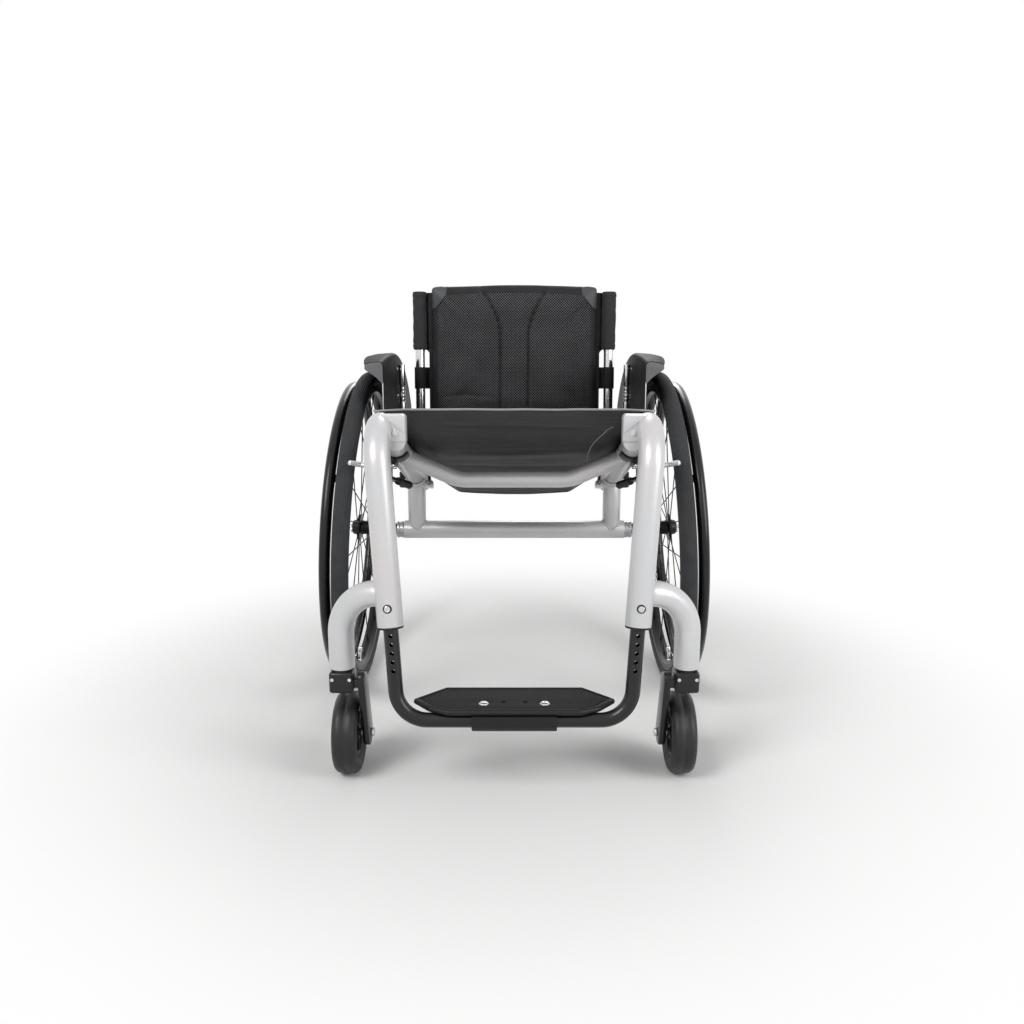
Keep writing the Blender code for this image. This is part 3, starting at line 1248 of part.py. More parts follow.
def lock_bracket(name, side):
    """Half sleeve under the rail, a plate below it and the two fixed pins."""
    x, gap, r = lock_pivot_offset(), LOCK_PIVOT_GAP, LOCK_BOSS_RADIUS
    inner = x - LOCK_WEB_SET
    top = LOCK_ARM_HEIGHT + LOCK_BAR_RADIUS + LOCK_LAYER_GAP
    middle = top + LOCK_BRACKET_PLATE / 2
    outline = [*arc((x, 0), r, 0, -90, 5), (inner, -r), (inner, gap + r), *arc((x, gap), r, 90, 0, 5)]
    body = lock_plate(side, outline, LOCK_BRACKET_PLATE, middle)
    web_height = -TUBE_RADIUS * 0.6 - middle
    web_centre = (side * inner, gap / 2, middle + web_height / 2)
    web = block(web_centre, (LOCK_WEB_THICK, gap, web_height), rail_frame(side, LOCK_STATION_Y))
    along = on(side, *RAIL_REARWARD) * gap / 2
    centre = in_lock(side, 0, gap / 2, 0)
    sleeve = rod(centre - along, centre + along, TUBE_RADIUS + SADDLE_WALL)
    under_half(sleeve, side, LOCK_STATION_Y, 2 * gap)
    join(body, web, sleeve)
    for s, level in ((0.0, LOCK_ARM_HEIGHT), (gap, LOCK_LEVER_HEIGHT)):
        collar = level + LOCK_PLATE / 2 + LOCK_LAYER_GAP
        head = level - LOCK_PLATE / 2 - LOCK_LAYER_GAP
        end = head - LOCK_HEAD_THICK
        join(body, lock_rod(side, (x, s, middle), (x, s, collar), LOCK_HEAD_RADIUS))
        join(body, lock_rod(side, (x, s, middle), (x, s, (head + end) / 2), LOCK_PIN_RADIUS))
        join(body, lock_rod(side, (x, s, head), (x, s, end), LOCK_HEAD_RADIUS))
    cut(body, fat_side_tube(side, GAP))
    return part(body, f"lock_bracket_{name}", BLACK, 0.4, 0.5)


def lock_bar(name, side):
    """Bar that swings back on the tyre: a boss, a slotted tail and a round bar with a domed end."""
    x = lock_pivot_offset()
    turn = bar_angle(LOCK_LEVER_REST)
    r = LOCK_BOSS_RADIUS
    pin_room = LOCK_DRIVE_PIN + LOCK_CLEARANCE
    outline = [*arc((x, 0), r, 180, 360, 9), (x + r, LOCK_TAIL), (x - r, LOCK_TAIL)]
    hole = circle((x, 0), LOCK_PIN_RADIUS + LOCK_CLEARANCE, 12)
    slot_start = LOCK_PIVOT_GAP - LOCK_CRANK - 2 * LOCK_CLEARANCE
    slot_end = LOCK_TAIL - LOCK_TAIL_EDGE
    slot = [*arc((x, slot_start), pin_room, 180, 360, 6), *arc((x, slot_end), pin_room, 0, 180, 6)]
    loops = [turned_about(x, 0, turn, loop) for loop in (outline, hole, slot)]
    body = lock_plate(side, loops[0], LOCK_PLATE, LOCK_ARM_HEIGHT, loops[1:])
    lean = LOCK_BAR_ENGAGED - bar_angle(-LOCK_LEVER_REST) + turn
    stations = [LOCK_HEAD_RADIUS + RUN_GAP, LOCK_REACH]
    reach = turned_about(x, 0, lean, [(x + station, 0) for station in stations])
    start, tip = [in_lock(side, *point, LOCK_ARM_HEIGHT) for point in reach]
    length, r = (tip - start).length, LOCK_BAR_RADIUS
    section = [(0, length), (r * 0.55, length), (r, length - LOCK_DOME), (r, 0), (0, 0)]
    join(body, turned(section, start, tip - start, 12, closed=False))
    return part(body, f"lock_bar_{name}", (0.5, 0.5, 0.52), 0.3, 1.0)


def lock_lever(name, side):
    """Lever under the rail: a boss, a short crank with the drive pin, and a handle with a grip."""
    x, s = lock_pivot_offset(), LOCK_PIVOT_GAP
    turn, r, narrow = LOCK_LEVER_REST, LOCK_BOSS_RADIUS, LOCK_LEVER_HALF_WIDTH
    outline = [
        *arc((x, s - LOCK_CRANK), narrow, 180, 360, 7),
        *arc((x, s), r, -30, 45, 5), (x + narrow, s + LOCK_BLADE),
        (x - narrow, s + LOCK_BLADE), *arc((x, s), r, 135, 210, 5),
    ]
    hole = circle((x, s), LOCK_PIN_RADIUS + LOCK_CLEARANCE, 12)
    loops = [turned_about(x, s, turn, loop) for loop in (outline, hole)]
    body = lock_plate(side, loops[0], LOCK_PLATE, LOCK_LEVER_HEIGHT, loops[1:])
    drive = turned_about(x, s, turn, [(x, s - LOCK_CRANK)])[0]
    pin_top = (*drive, LOCK_ARM_HEIGHT + LOCK_PLATE / 2 - LOCK_CLEARANCE)
    join(body, lock_rod(side, (*drive, LOCK_LEVER_HEIGHT), pin_top, LOCK_DRIVE_PIN))
    grip = turned_about(x, s, turn, [(x, s + LOCK_HANDLE - LOCK_GRIP_LENGTH), (x, s + LOCK_HANDLE)])
    ends = [(*point, LOCK_LEVER_HEIGHT) for point in grip]
    join(body, lock_rod(side, *ends, LOCK_GRIP_RADIUS))
    return part(body, f"lock_lever_{name}", BLACK, 0.4, 0.5)


def build():
    crossbar()
    axle_tube()
    footrest_loop()
    seat_sling()
    pivot("footplate_axis", FOOT_CORNER * Vector((0, 1, 1)), [footplate(), footplate_clamp()])
    back = [back_upholstery(), back_strap("back_strap_upper", STRAP_BOTTOM, STRAP_TOP)]
    back += [back_strap("back_strap_lower", LOW_STRAP_BOTTOM, LOW_STRAP_TOP), back_pad()]
    for name, side in SIDES:
        side_tube(name, side)
        caster_arm(name, side)
        knee_gusset(name, side)
        axle_sleeve(name, side)
        rail_saddle(name, side)
        strut(name, side)
        hinge_bracket(name, side)
        tube_bush(name, side)
        side_guard(name, side)
        guard_post(name, side)
        back.append(back_cane(name, side))
        centre = wheel_centre(side)
        wheel = [tyre(name, side), rim(name, side), hub_and_spokes(name, side), handrim(name, side)]
        pivot(f"wheel_axis_{name}", centre, wheel)
        pivot(f"pin_axis_{name}", centre, [axle_pin(name, side), axle_button(name, side)])
        caster_spot = on(side, CASTER_X, CASTER_AXLE_Y, CASTER_RADIUS)
        pivot(f"caster_axis_{name}", caster_spot, [caster_hub(name, side), caster_tyre(name, side)])
        steer = on(side, CASTER_X, STEER_Y, ARM_END_Z)
        pivot(f"steer_axis_{name}", steer, [caster_fork(name, side), caster_bolt(name, side)])
        lock_bracket(name, side)
        bar_spot = in_lock(side, lock_pivot_offset(), 0, LOCK_ARM_HEIGHT)
        lever_spot = in_lock(side, lock_pivot_offset(), LOCK_PIVOT_GAP, LOCK_LEVER_HEIGHT)
        pivot(f"lock_bar_axis_{name}", bar_spot, [lock_bar(name, side)])
        pivot(f"lock_lever_axis_{name}", lever_spot, [lock_lever(name, side)])
    pivot("back_axis", back_frame(), back)


build()
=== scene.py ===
# Looks of a rigid-frame active wheelchair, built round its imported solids. Metres, +Z up, front to -Y.
# Pieces are laid out with the rear axle at Y = 0 and moved to the chair's place as they are finished.
import math
from bisect import bisect

import bmesh
import bpy
from mathutils import Matrix, Vector, noise
from mathutils.bvhtree import BVHTree


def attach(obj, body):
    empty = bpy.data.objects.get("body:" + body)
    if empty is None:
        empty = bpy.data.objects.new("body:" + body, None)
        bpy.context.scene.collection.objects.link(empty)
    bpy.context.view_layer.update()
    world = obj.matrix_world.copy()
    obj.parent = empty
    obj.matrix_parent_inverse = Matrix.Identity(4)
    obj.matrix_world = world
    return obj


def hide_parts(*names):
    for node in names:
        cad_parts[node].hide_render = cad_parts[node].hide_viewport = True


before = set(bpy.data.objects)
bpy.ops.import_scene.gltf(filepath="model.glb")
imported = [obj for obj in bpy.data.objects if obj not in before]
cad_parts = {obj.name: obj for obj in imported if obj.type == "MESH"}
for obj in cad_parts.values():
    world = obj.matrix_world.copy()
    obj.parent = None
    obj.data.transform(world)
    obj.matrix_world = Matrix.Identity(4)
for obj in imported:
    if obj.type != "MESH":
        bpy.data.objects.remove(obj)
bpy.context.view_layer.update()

SIDES = (("left", 1), ("right", -1))

# Rear wheels
CAMBER = math.radians(3.0)
TYRE_RISE = 0.0115
TYRE_SECTION_RADIUS = 0.0145
TYRE_RIB_DEPTH = 0.0007
TYRE_RIBS = 5
WHEEL_X = 0.2855
RIM_OUTER_RADIUS = 0.2715
RIM_DEPTH = 0.0145
RIM_WIDTH = 0.022
HANDRIM_INSET = 0.0035
HANDRIM_TUBE_RADIUS = 0.0095
HANDRIM_OFFSET = 0.028
HANDRIM_TABS = 6
TAB_WIDTH = 0.014
TAB_THICK = 0.0025
TAB_FOOT = 0.009
SPOKES = 24
SPOKE_RADIUS = 0.001
SPOKE_SWING = math.radians(22.0)
NIPPLE_RADIUS = 0.0021
NIPPLE_LENGTH = 0.011
HUB_INNER_FLANGE = 0.028
HUB_OUTER_FLANGE = 0.025
HUB_INNER_FLANGE_AT = -0.026
HUB_OUTER_FLANGE_AT = 0.012
HUB_FLANGE_THICK = 0.005
HUB_BODY_RADIUS = 0.015
HUB_BOSS_RADIUS = 0.0115
HUB_INNER_END = -0.0587
HUB_OUTER_END = 0.024
SPOKE_INSET = 0.003
PIN_RADIUS = 0.0062
PIN_DEPTH = 0.095
PIN_HEAD_RADIUS = 0.0105
PIN_HEAD_LENGTH = 0.004
BUTTON_RADIUS = 0.0046
BUTTON_REACH = 0.0055
RUN_GAP = 0.0006
VALVE_RADIUS = 0.0028
VALVE_LENGTH = 0.026
VALVE_NUT_RADIUS = 0.0052
VALVE_NUT_HEIGHT = 0.002
VALVE_CAP_RADIUS = 0.0040
VALVE_CAP_LENGTH = 0.009
VALVE_LEAN = 0.19
KNURLS = 40
KNURL_DEPTH = 0.0005

# Frame tubes
TUBE_RADIUS = 0.019
TUBE_WALL = 0.0025
BORE_DEPTH = 0.03
KNEE_X = 0.199
KNEE_Y = -0.446
SEAT_DUMP = math.radians(20.0)
RAIL_AXLE_X = 0.1865
RAIL_OVER_AXLE = 0.1045
RAIL_END_Y = 0.055
KNEE_RADIUS = 0.065
FRONT_LEAN = math.radians(8.0)
FRONT_TAPER = math.radians(4.2)
FRONT_END_Z = 0.260
AXLE_TUBE_RADIUS = 0.017
AXLE_TUBE_WALL = 0.003
AXLE_TUBE_END_X = 0.211
AXLE_TUBE_DROP = 0.0036
SLEEVE_RADIUS = 0.016
SLEEVE_END_X = 0.2257
STRUT_RADIUS = 0.017
SADDLE_WALL = 0.0035
SADDLE_LENGTH = 0.042
SLEEVE_SPLIT = 0.0095
LUG_REACH = 0.0138
LUG_LENGTH = 0.025
LUG_THICK = 0.012
LUG_DROP = 0.017
CROSSBAR_RADIUS = 0.014
CROSSBAR_Y = -0.20
CROSSBAR_OVER_AXLE = 0.131
CROSSBAR_FLAT = 0.095
CROSSBAR_BEND = 0.08
CROSSBAR_SLOPE = math.radians(23.75)
GUSSET_INNER_X = 0.158
GUSSET_Y = -0.400
GUSSET_THICK = 0.022
GUSSET_HEIGHT = 0.0395
GUSSET_UNDER_KNEE = 0.0058
GUSSET_CORNER = 0.006
GUSSET_BOSS_RADIUS = 0.0125
GUSSET_BOSS_X = 0.172
GUSSET_BOSS_UNDER_KNEE = 0.0468
GUSSET_BOSS_LENGTH = 0.030
FRAME_SCREW_Z = 0.287
WELD_RADIUS = 0.0019
WELD_PITCH = 0.0021
WELD_SPOTS = 60
WELD_SEARCH = 0.3
WELD_BEAD = (WELD_PITCH, WELD_PITCH * 1.5, WELD_RADIUS)

# Caster arms and casters
CASTER_X = 0.2555
WHEELBASE = 0.409
TRAIL = 0.040
ARM_Z = 0.305
ARM_FALL = 0.008
ARM_SET_BACK = 0.005
ARM_ROUND = 0.93
ARM_END_Z = 0.184
SEAL_RADIUS = 0.0165
SEAL_THICK = 0.003
HEAD_WIDTH = 0.036
HEAD_HEIGHT = 0.033
HEAD_EASE = 0.005
BRIDGE_DEPTH = 0.020
BRIDGE_HEIGHT = 0.014
BRIDGE_DROP = 0.0205
CASTER_RADIUS = 0.0625
CASTER_WIDTH = 0.0385
CASTER_SHOULDER = 0.011
CASTER_CORE_RADIUS = 0.040
CASTER_CORE_WIDTH = 0.030
CASTER_WEB = 0.0165
CASTER_RIM_WALL = 0.007
CASTER_BOSS_RADIUS = 0.011
CASTER_RIBS = 6
LEG_THICK = 0.0105
LEG_GAP = 0.0035
LEG_TOP_DROP = 0.0155
LEG_TOP_RADIUS = 0.010
LEG_END_RADIUS = 0.020
BOLT_HEAD_RADIUS = 0.0068
BOLT_HEAD_LENGTH = 0.005
BOLT_END_LENGTH = 0.0035
BOLT_SHANK_RADIUS = 0.004
RIB_THICK = 0.0028
RIB_INSET = 0.002
GAP = 0.0003

# Footrest
FOOT_TUBE_RADIUS = 0.0108
FOOT_TUBE_WALL = 0.0016
FOOT_TUBE_Z = 0.125
FOOT_BEND = 0.046
FOOT_INSERT_Z = 0.345
BUSH_LIP = 0.003
BUSH_LIP_INSET = 0.0005
HEIGHT_HOLES = 5
HEIGHT_HOLE_PITCH = 0.0125
HEIGHT_HOLE_RADIUS = 0.003
HEIGHT_HOLE_TOP_Z = 0.247
PLATE_FRONT_CORNER = 0.0505
PLATE_FRONT_Y = -0.010
PLATE_SHOULDER = 0.0235
PLATE_SHOULDER_Y = 0.004
PLATE_HALF_WIDTH = 0.1445
PLATE_TIP_Y = 0.033
PLATE_TIP_DEPTH = 0.006
PLATE_REAR_CORNER = 0.0415
PLATE_REAR_Y = 0.080
PLATE_THICK = 0.005
PLATE_LIP_RADIUS = 0.0045
CLAMP_HALF_WIDTH = 0.061
CLAMP_WALL = 0.005
CLAMP_TAIL = 0.038
CLAMP_FLANGE = 0.014
SCREW_X = 0.0445
SCREW_Y = 0.021
SCREW_HEAD_RADIUS = 0.0075
SCREW_HEAD_HEIGHT = 0.0025
SPARE_HOLE_X = 0.016
SPARE_HOLE_Y = 0.026
SPARE_HOLE_RADIUS = 0.0035

# Backrest
HINGE_RISE = 0.0415
HINGE_SET = 0.022
RECLINE = math.radians(4.0)
CANE_RADIUS = 0.0095
CANE_LENGTH = 0.330
CANE_FOOT = 0.011
CANE_PIN_UP = 0.128
CHEEK_THICK = 0.004
CHEEK_RADIUS = 0.011
HINGE_HEAD_LENGTH = 0.014
HINGE_PIN_RADIUS = 0.0038
HINGE_PIN_PROUD = 0.002

# Seat sling
SLING_THICK = 0.0022
SLING_FRONT_Y = -0.384
SLING_REAR_Y = 0.012
SLING_FRONT_RISE = 0.0215
SLING_REAR_DROP = 0.029
SLING_PANEL_FRONT = 0.163
SLING_PANEL_REAR = 0.105
SLING_WRAP = math.radians(60.0)
SLING_SAG = 0.004
SLING_ROWS = 72
SLING_HEM = 3
SLING_FOLD = 32
SLING_CREASE_REACH = 0.13
SLING_FREE_REACH = 0.15
SLING_UNEVENNESS = 0.0007
SKIN_GAP = 0.0007
BINDING_WIDTH = 0.0030
BINDING_LAP = 0.0009
HEM_INSET = 0.0065
PATCH_ARC_REACH = 0.014
PATCH_ARC_START = 0.17
PATCH_ARC_LENGTH = 0.42
BINDING_PROUD = 0.0002
STITCH_PITCH = 0.0034
STITCH_LENGTH = 0.0025
STITCH_RADIUS = 0.00038
STITCH = (STITCH_PITCH, STITCH_LENGTH, STITCH_RADIUS)
PATCH_STITCH = (STITCH_PITCH, STITCH_LENGTH, STITCH_RADIUS * 2.1)

# Creases across the seat: share of the way back, width as such a share, height and lean
SLING_CREASES = (
    (0.16, 0.02, 0.0009, 0.1), (0.47, 0.03, -0.0014, -0.15), (0.62, 0.02, 0.0013, 0.06),
    (0.74, 0.025, -0.0015, 0.1), (0.86, 0.02, 0.0012, -0.1),
)

# Back cloth and pad, heights up the canes from the hinge
SLEEVE_TOP = 0.334
SLEEVE_BOTTOM = 0.223
SLEEVE_WALL = 0.004
SLEEVE_STEPS = 40
SLEEVE_SIDES = 56
SLEEVE_SLACK = 0.0011
SLEEVE_SEAM_DEPTH = 0.0009
SLEEVE_HEM_LINE = 0.010
# By ring of a sleeve from its foot: how its hems stand out or in, and how far its top is drawn shut
SLEEVE_HEMS = {0: -0.0012, 2: 0.0006, 3: 0.0006, 4: -0.0005, 36: -0.0005, 37: 0.0006, 38: 0.0006, 40: -0.0012}
SLEEVE_CLOSING = {41: 0.55, 42: 1.0}
PANEL_THICK = 0.0024
PANEL_SAG = 0.014
PANEL_BOTTOM = 0.095
PANEL_SIDE_GAP = 0.004
PANEL_ROWS = 60
PANEL_COLUMNS = 40
PANEL_SLACK = 0.0012
STRAP_TOP = 0.189
STRAP_BOTTOM = 0.147
STRAP_WALL = 0.0022
STRAP_SET = 0.0095
STRAP_SAG = 0.012
LOW_STRAP_TOP = 0.105
LOW_STRAP_BOTTOM = 0.067
PAD_HALF_WIDTH = 0.159
PAD_BOTTOM = 0.085
PAD_TOP = 0.347
PAD_CORNER_DROP = 0.006
PAD_GAP = 0.0004
PAD_EDGE_DEPTH = 0.015
PAD_CROWN = 0.026
PAD_SEAM_X_TOP = 0.070
PAD_SEAM_X_LOW = 0.027
PAD_SEAM_TURN = 0.095
PAD_SEAM_DEPTH = 0.0065
PAD_SEAM_WIDTH = 0.0030
PAD_VOXEL = 0.0045
PAD_SWELL = 0.005
PAD_HELD = 0.006
PAD_STEPS = 20
GATHER_PITCH = 0.013
PAD_UNEVENNESS = 0.0014
PAD_BINDING = 0.0105
PAD_TOP_BAND = 0.017
CREASE_UP = 0.128
CREASE_DEPTH = 0.0035
CREASE_WIDTH = 0.004
CREASE_WAVE = 0.007
CREASE_START_X = -0.155
CREASE_LENGTH = 0.125
PATCH_WIDTH = 0.031
PATCH_HEIGHT = 0.041

# Side guards
GUARD_X = 0.2215
GUARD_THICK = 0.0022
GUARD_FRONT_Y = -0.175
GUARD_REAR_Y = 0.250
GUARD_TIP_X = 0.269
GUARD_FRONT_TIP_X = 0.252
GUARD_FALL = 0.005
GUARD_CURL = 0.008
GUARD_CREST_GAP = 0.037
GUARD_FRONT_DROP = 0.008
GUARD_BAND = 0.045
GUARD_OVER_RAIL = 0.017
GUARD_WEB_DROP = 0.038
GUARD_ROWS = 56
# The web's lower edge, out and down as shares of its size; then the rivets, behind the post and up
GUARD_HOLLOW = ((0.0, 1.0), (0.04, 0.98), (0.16, 0.86), (0.36, 0.69), (0.64, 0.52), (0.92, 0.38), (1.0, 0.31))
GUARD_RIVETS = ((-0.016, 0.598), (0.016, 0.594), (-0.014, 0.548), (0.014, 0.545))
POST_GAP = 0.0004
POST_RADIUS = 0.006
POST_Y = 0.036
POST_TOP_Z = 0.606
POST_RING_WALL = 0.0045
POST_RING_LENGTH = 0.014
POST_SOCKET_RADIUS = 0.0092
POST_SOCKET_HEIGHT = 0.030
POST_RIBS = 5
POST_RIB_PITCH = 0.0068
POST_RIB_TOP_Z = 0.564

# Wheel locks, laid out along the rail: stations run rearwards down the rail, heights square to it
LOCK_PIVOT_X = 0.219
LOCK_STATION_Y = -0.2472
LOCK_PIVOT_GAP = 0.030
LOCK_CRANK = 0.017
LOCK_TAIL = 0.0225
LOCK_TAIL_EDGE = 0.0045
LOCK_CLEARANCE = 0.00045
LOCK_REACH = 0.060
LOCK_DOME = 0.003
LOCK_GROOVE_STEPS = 17
LOCK_GROOVE_PITCH = 0.0012
LOCK_GROOVE_DEPTH = 0.0005
LOCK_BAR_RADIUS = 0.005
LOCK_BAR_SLACK = 0.0006
LOCK_ARM_HEIGHT = -0.0365
LOCK_WEB_SET = 0.020
LOCK_WEB_THICK = 0.014
LOCK_PLATE = 0.006
LOCK_LAYER_GAP = 0.0005
LOCK_BRACKET_PLATE = 0.003
LOCK_PIN_RADIUS = 0.003
LOCK_HEAD_RADIUS = 0.0055
LOCK_HEAD_THICK = 0.0025
LOCK_BOSS_RADIUS = 0.0075
LOCK_DRIVE_PIN = 0.0024
LOCK_LEVER_HALF_WIDTH = 0.005
LOCK_BLADE = 0.063
LOCK_HANDLE = 0.105
LOCK_GRIP_RADIUS = 0.0068
LOCK_GRIP_LENGTH = 0.050
LOCK_GRIP_RIBS = 7
LOCK_GRIP_DIP = 0.0006
LOCK_LEVER_REST = math.radians(20.0)
LOCK_BAR_ENGAGED = math.radians(2.0)

# Screw heads: radius, height and how far the key's corners are from the middle
FRAME_SCREW = (0.0045, 0.0024, 0.0024)
SADDLE_BOLT = (0.0042, 0.0035, 0.002)
HANDRIM_SCREW = (0.0032, 0.0018, 0.0014)
FORK_SCREW = (0.0026, 0.0012, 0.0012)
CLAMP_SCREW = (0.0045, 0.0016, 0.0022)
POST_SCREW = (0.0035, 0.002, 0.0018)
AXLE_BOLT = (BOLT_HEAD_RADIUS, BOLT_HEAD_LENGTH, 0.0032)
LOCK_SCREW = (LOCK_HEAD_RADIUS * 0.92, LOCK_HEAD_THICK, 0.0024)
# A black ring round each front-tube screw's head: a painted shadow in the gap round it
SHADOW_RING = (0.0035, 0.0064, -0.0011, 0.0006)    # inner and outer radius, lower and upper face
HINGE_BOLT = (HINGE_PIN_RADIUS * 1.25, HINGE_PIN_PROUD, 0.0019)

# View and stage
VIEW_LENS = 33.22
VIEW_SHIFT = -0.00225
VIEW_DISTANCE = 1.78
VIEW_HEIGHT = 0.688
VIEW_TILT = math.radians(78.55)
LAMP_TARGET = Vector((0, 0, 0.4))
# Name, place, width and height, and power in watts
LAMPS = (
    ("key_light", (-1.6, -2.2, 2.4), (1.4, 1.4), 52), ("fill_light", (2.2, -1.6, 1.4), (1.2, 1.8), 34),
    ("back_light", (0.2, 2.4, 2.2), (2.0, 1.0), 24),
)
FLOOR_HALF = 15.0

# Patterns of the finishes
MESH_CELL = 0.005
WAVE_SCALE = 0.1 * math.pi    # scale of a wave texture for one band in each metre

# Derived places
RIM_INNER_RADIUS = RIM_OUTER_RADIUS - RIM_DEPTH
HANDRIM_RADIUS = RIM_OUTER_RADIUS - HANDRIM_INSET
TYRE_MID_RADIUS = RIM_OUTER_RADIUS + TYRE_RISE
TYRE_RADIUS = TYRE_MID_RADIUS + TYRE_SECTION_RADIUS
GUARD_ARCH_RADIUS = TYRE_RADIUS + GUARD_CREST_GAP
WHEEL_Z = TYRE_MID_RADIUS * math.cos(CAMBER) + TYRE_SECTION_RADIUS
AXLE_TUBE_Z = WHEEL_Z - AXLE_TUBE_DROP
CROSSBAR_Z = AXLE_TUBE_Z + CROSSBAR_OVER_AXLE
RAIL_AXLE_Z = AXLE_TUBE_Z + RAIL_OVER_AXLE
GUARD_LOW_Z = RAIL_AXLE_Z + GUARD_OVER_RAIL
CASTER_AXLE_Y = -WHEELBASE
STEER_Y = CASTER_AXLE_Y - TRAIL
KNEE_Z = RAIL_AXLE_Z - KNEE_Y * math.tan(SEAT_DUMP)
GUSSET_TOP_Z = KNEE_Z - GUSSET_UNDER_KNEE
GUSSET_BOTTOM_Z = GUSSET_TOP_Z - GUSSET_HEIGHT
GUSSET_BOSS_Z = KNEE_Z - GUSSET_BOSS_UNDER_KNEE
PLATE_HALF_FRONT = PLATE_HALF_WIDTH - PLATE_FRONT_CORNER
PLATE_HALF_SHOULDER = PLATE_HALF_WIDTH - PLATE_SHOULDER
PLATE_HALF_REAR = PLATE_HALF_WIDTH - PLATE_REAR_CORNER
RAIL_TAPER = (KNEE_X - RAIL_AXLE_X) / -KNEE_Y


def front_tube_point(z):
    """Centre of the sitter's left front tube at this height."""
    drop = KNEE_Z - z
    return Vector((KNEE_X - drop * math.tan(FRONT_TAPER), KNEE_Y - drop * math.tan(FRONT_LEAN), z))


def rail_point(y):
    """Centre of the sitter's left seat rail at this distance behind the axle."""
    return Vector((RAIL_AXLE_X - y * RAIL_TAPER, y, RAIL_AXLE_Z - y * math.tan(SEAT_DUMP)))


FOOT_CORNER = front_tube_point(FOOT_TUBE_Z)
CENTRE_Y = (-FOOT_CORNER.y + FOOT_TUBE_RADIUS + CLAMP_WALL - TYRE_RADIUS) / 2
RAIL_REARWARD = (rail_point(1.0) - rail_point(0.0)).normalized()
RAIL_UP = Vector((0, math.sin(SEAT_DUMP), math.cos(SEAT_DUMP)))
DOWN_RAIL = Vector((0, math.cos(SEAT_DUMP), -math.sin(SEAT_DUMP)))
FRONT_DOWN = (front_tube_point(0.0) - front_tube_point(1.0)).normalized()
RAIL_END = rail_point(RAIL_END_Y)
HINGE = RAIL_END + HINGE_RISE * RAIL_UP + HINGE_SET * DOWN_RAIL
CANE_UP = Vector((0, math.sin(RECLINE), math.cos(RECLINE)))
CANE_FORWARD = Vector((0, -math.cos(RECLINE), math.sin(RECLINE)))
POST_X = GUARD_X - GUARD_THICK / 2 - POST_GAP - POST_RADIUS
LOCK_LEVER_HEIGHT = LOCK_ARM_HEIGHT - LOCK_PLATE - LOCK_LAYER_GAP
LOCK_OUT = LOCK_PIVOT_X - rail_point(LOCK_STATION_Y).x


# Places and frames
def on(side, x, y, z):
    return Vector((side * x, y, z))


def mirrored(points, side):
    """Points on the sitter's left, or their mirror images on the right."""
    return [Vector((side * p.x, p.y, p.z)) for p in points]


def frame_of(origin, x, y, z):
    """Matrix of a frame from its origin and its axes."""
    return Matrix.Translation(origin) @ Matrix((x, y, z)).transposed().to_4x4()


def frame_along(origin, direction, across=None):
    """Matrix whose Z axis is the direction and whose X axis is as near to across as it can be."""
    z = Vector(direction).normalized()
    x = Vector(across) if across else (Vector((0, 1, 0)) if abs(z.y) < 0.9 else Vector((1, 0, 0)))
    x = (x - x.dot(z) * z).normalized()
    return frame_of(origin, x, z.cross(x), z)


def upright_plane(x):
    """Frame for an outline that stands fore and aft: its X runs rearwards and its Y up."""
    return frame_of((x, 0, 0), (0, 1, 0), (0, 0, 1), (1, 0, 0))


def facing_plane(side, x, y, z):
    """Frame for an outline that stands across the chair: its X runs outwards and its Y up."""
    return frame_of(on(side, x, y, z), (side, 0, 0), (0, 0, 1), (0, -side, 0))


def rail_frame(side, y):
    """Frame at a rail station: X across the chair, Y rearwards along the rail, Z square to both."""
    return frame_of(on(side, *rail_point(y)), (1, 0, 0), DOWN_RAIL, RAIL_UP)


def wheel_frame(side):
    """Frame at a rear wheel's middle, its Z outwards along the cambered axle."""
    centre = Vector((side * WHEEL_X, 0, WHEEL_Z))
    return frame_along(centre, (side * math.cos(CAMBER), 0, math.sin(CAMBER)))


# Outlines
def arc(centre, radius, start, end, count):
    """Points on a circle, from one angle in degrees to another."""
    angles = [math.radians(start + (end - start) * i / (count - 1)) for i in range(count)]
    return [(centre[0] + radius * math.cos(a), centre[1] + radius * math.sin(a)) for a in angles]


def circle(centre, radius, count):
    return arc(centre, radius, 0, 360 * (count - 1) / count, count)


def rounded(corners, radius, count=24):
    """A path through the corners, each inner corner eased by an arc of this radius."""
    corners = [Vector(c) for c in corners]
    path = [corners[0]]
    for before, corner, after in zip(corners, corners[1:], corners[2:]):
        back = (before - corner).normalized()
        ahead = (after - corner).normalized()
        half = back.angle(ahead) / 2
        centre = corner + (back + ahead).normalized() * radius / math.sin(half)
        first = corner + back * radius / math.tan(half) - centre
        last = corner + ahead * radius / math.tan(half) - centre
        sweep = first.angle(last)
        for i in range(count + 1):
            t = i / count
            mix = (math.sin((1 - t) * sweep) * first + math.sin(t * sweep) * last) / math.sin(sweep)
            path.append(centre + mix)
    path.append(corners[-1])
    return path


def eased(points, radius, closed=True):
    """A flat outline with its corners rounded, by less where its sides are short."""
    corners = [Vector((p[0], p[1])) for p in points]
    total = len(corners)
    made = []
    for i, corner in enumerate(corners):
        if not closed and i in (0, total - 1):
            made.append(tuple(corner))
            continue
        back = corners[i - 1] - corner
        ahead = corners[(i + 1) % total] - corner
        turn = back.angle(ahead)
        if turn > math.radians(170):
            made.append(tuple(corner))
            continue
        reach = min(radius / math.tan(turn / 2), back.length * 0.45, ahead.length * 0.45)
        first, last = corner + back.normalized() * reach, corner + ahead.normalized() * reach
        for t in (0, 1 / 3, 2 / 3, 1):
            made.append(tuple((1 - t) ** 2 * first + 2 * t * (1 - t) * corner + t * t * last))
    return made


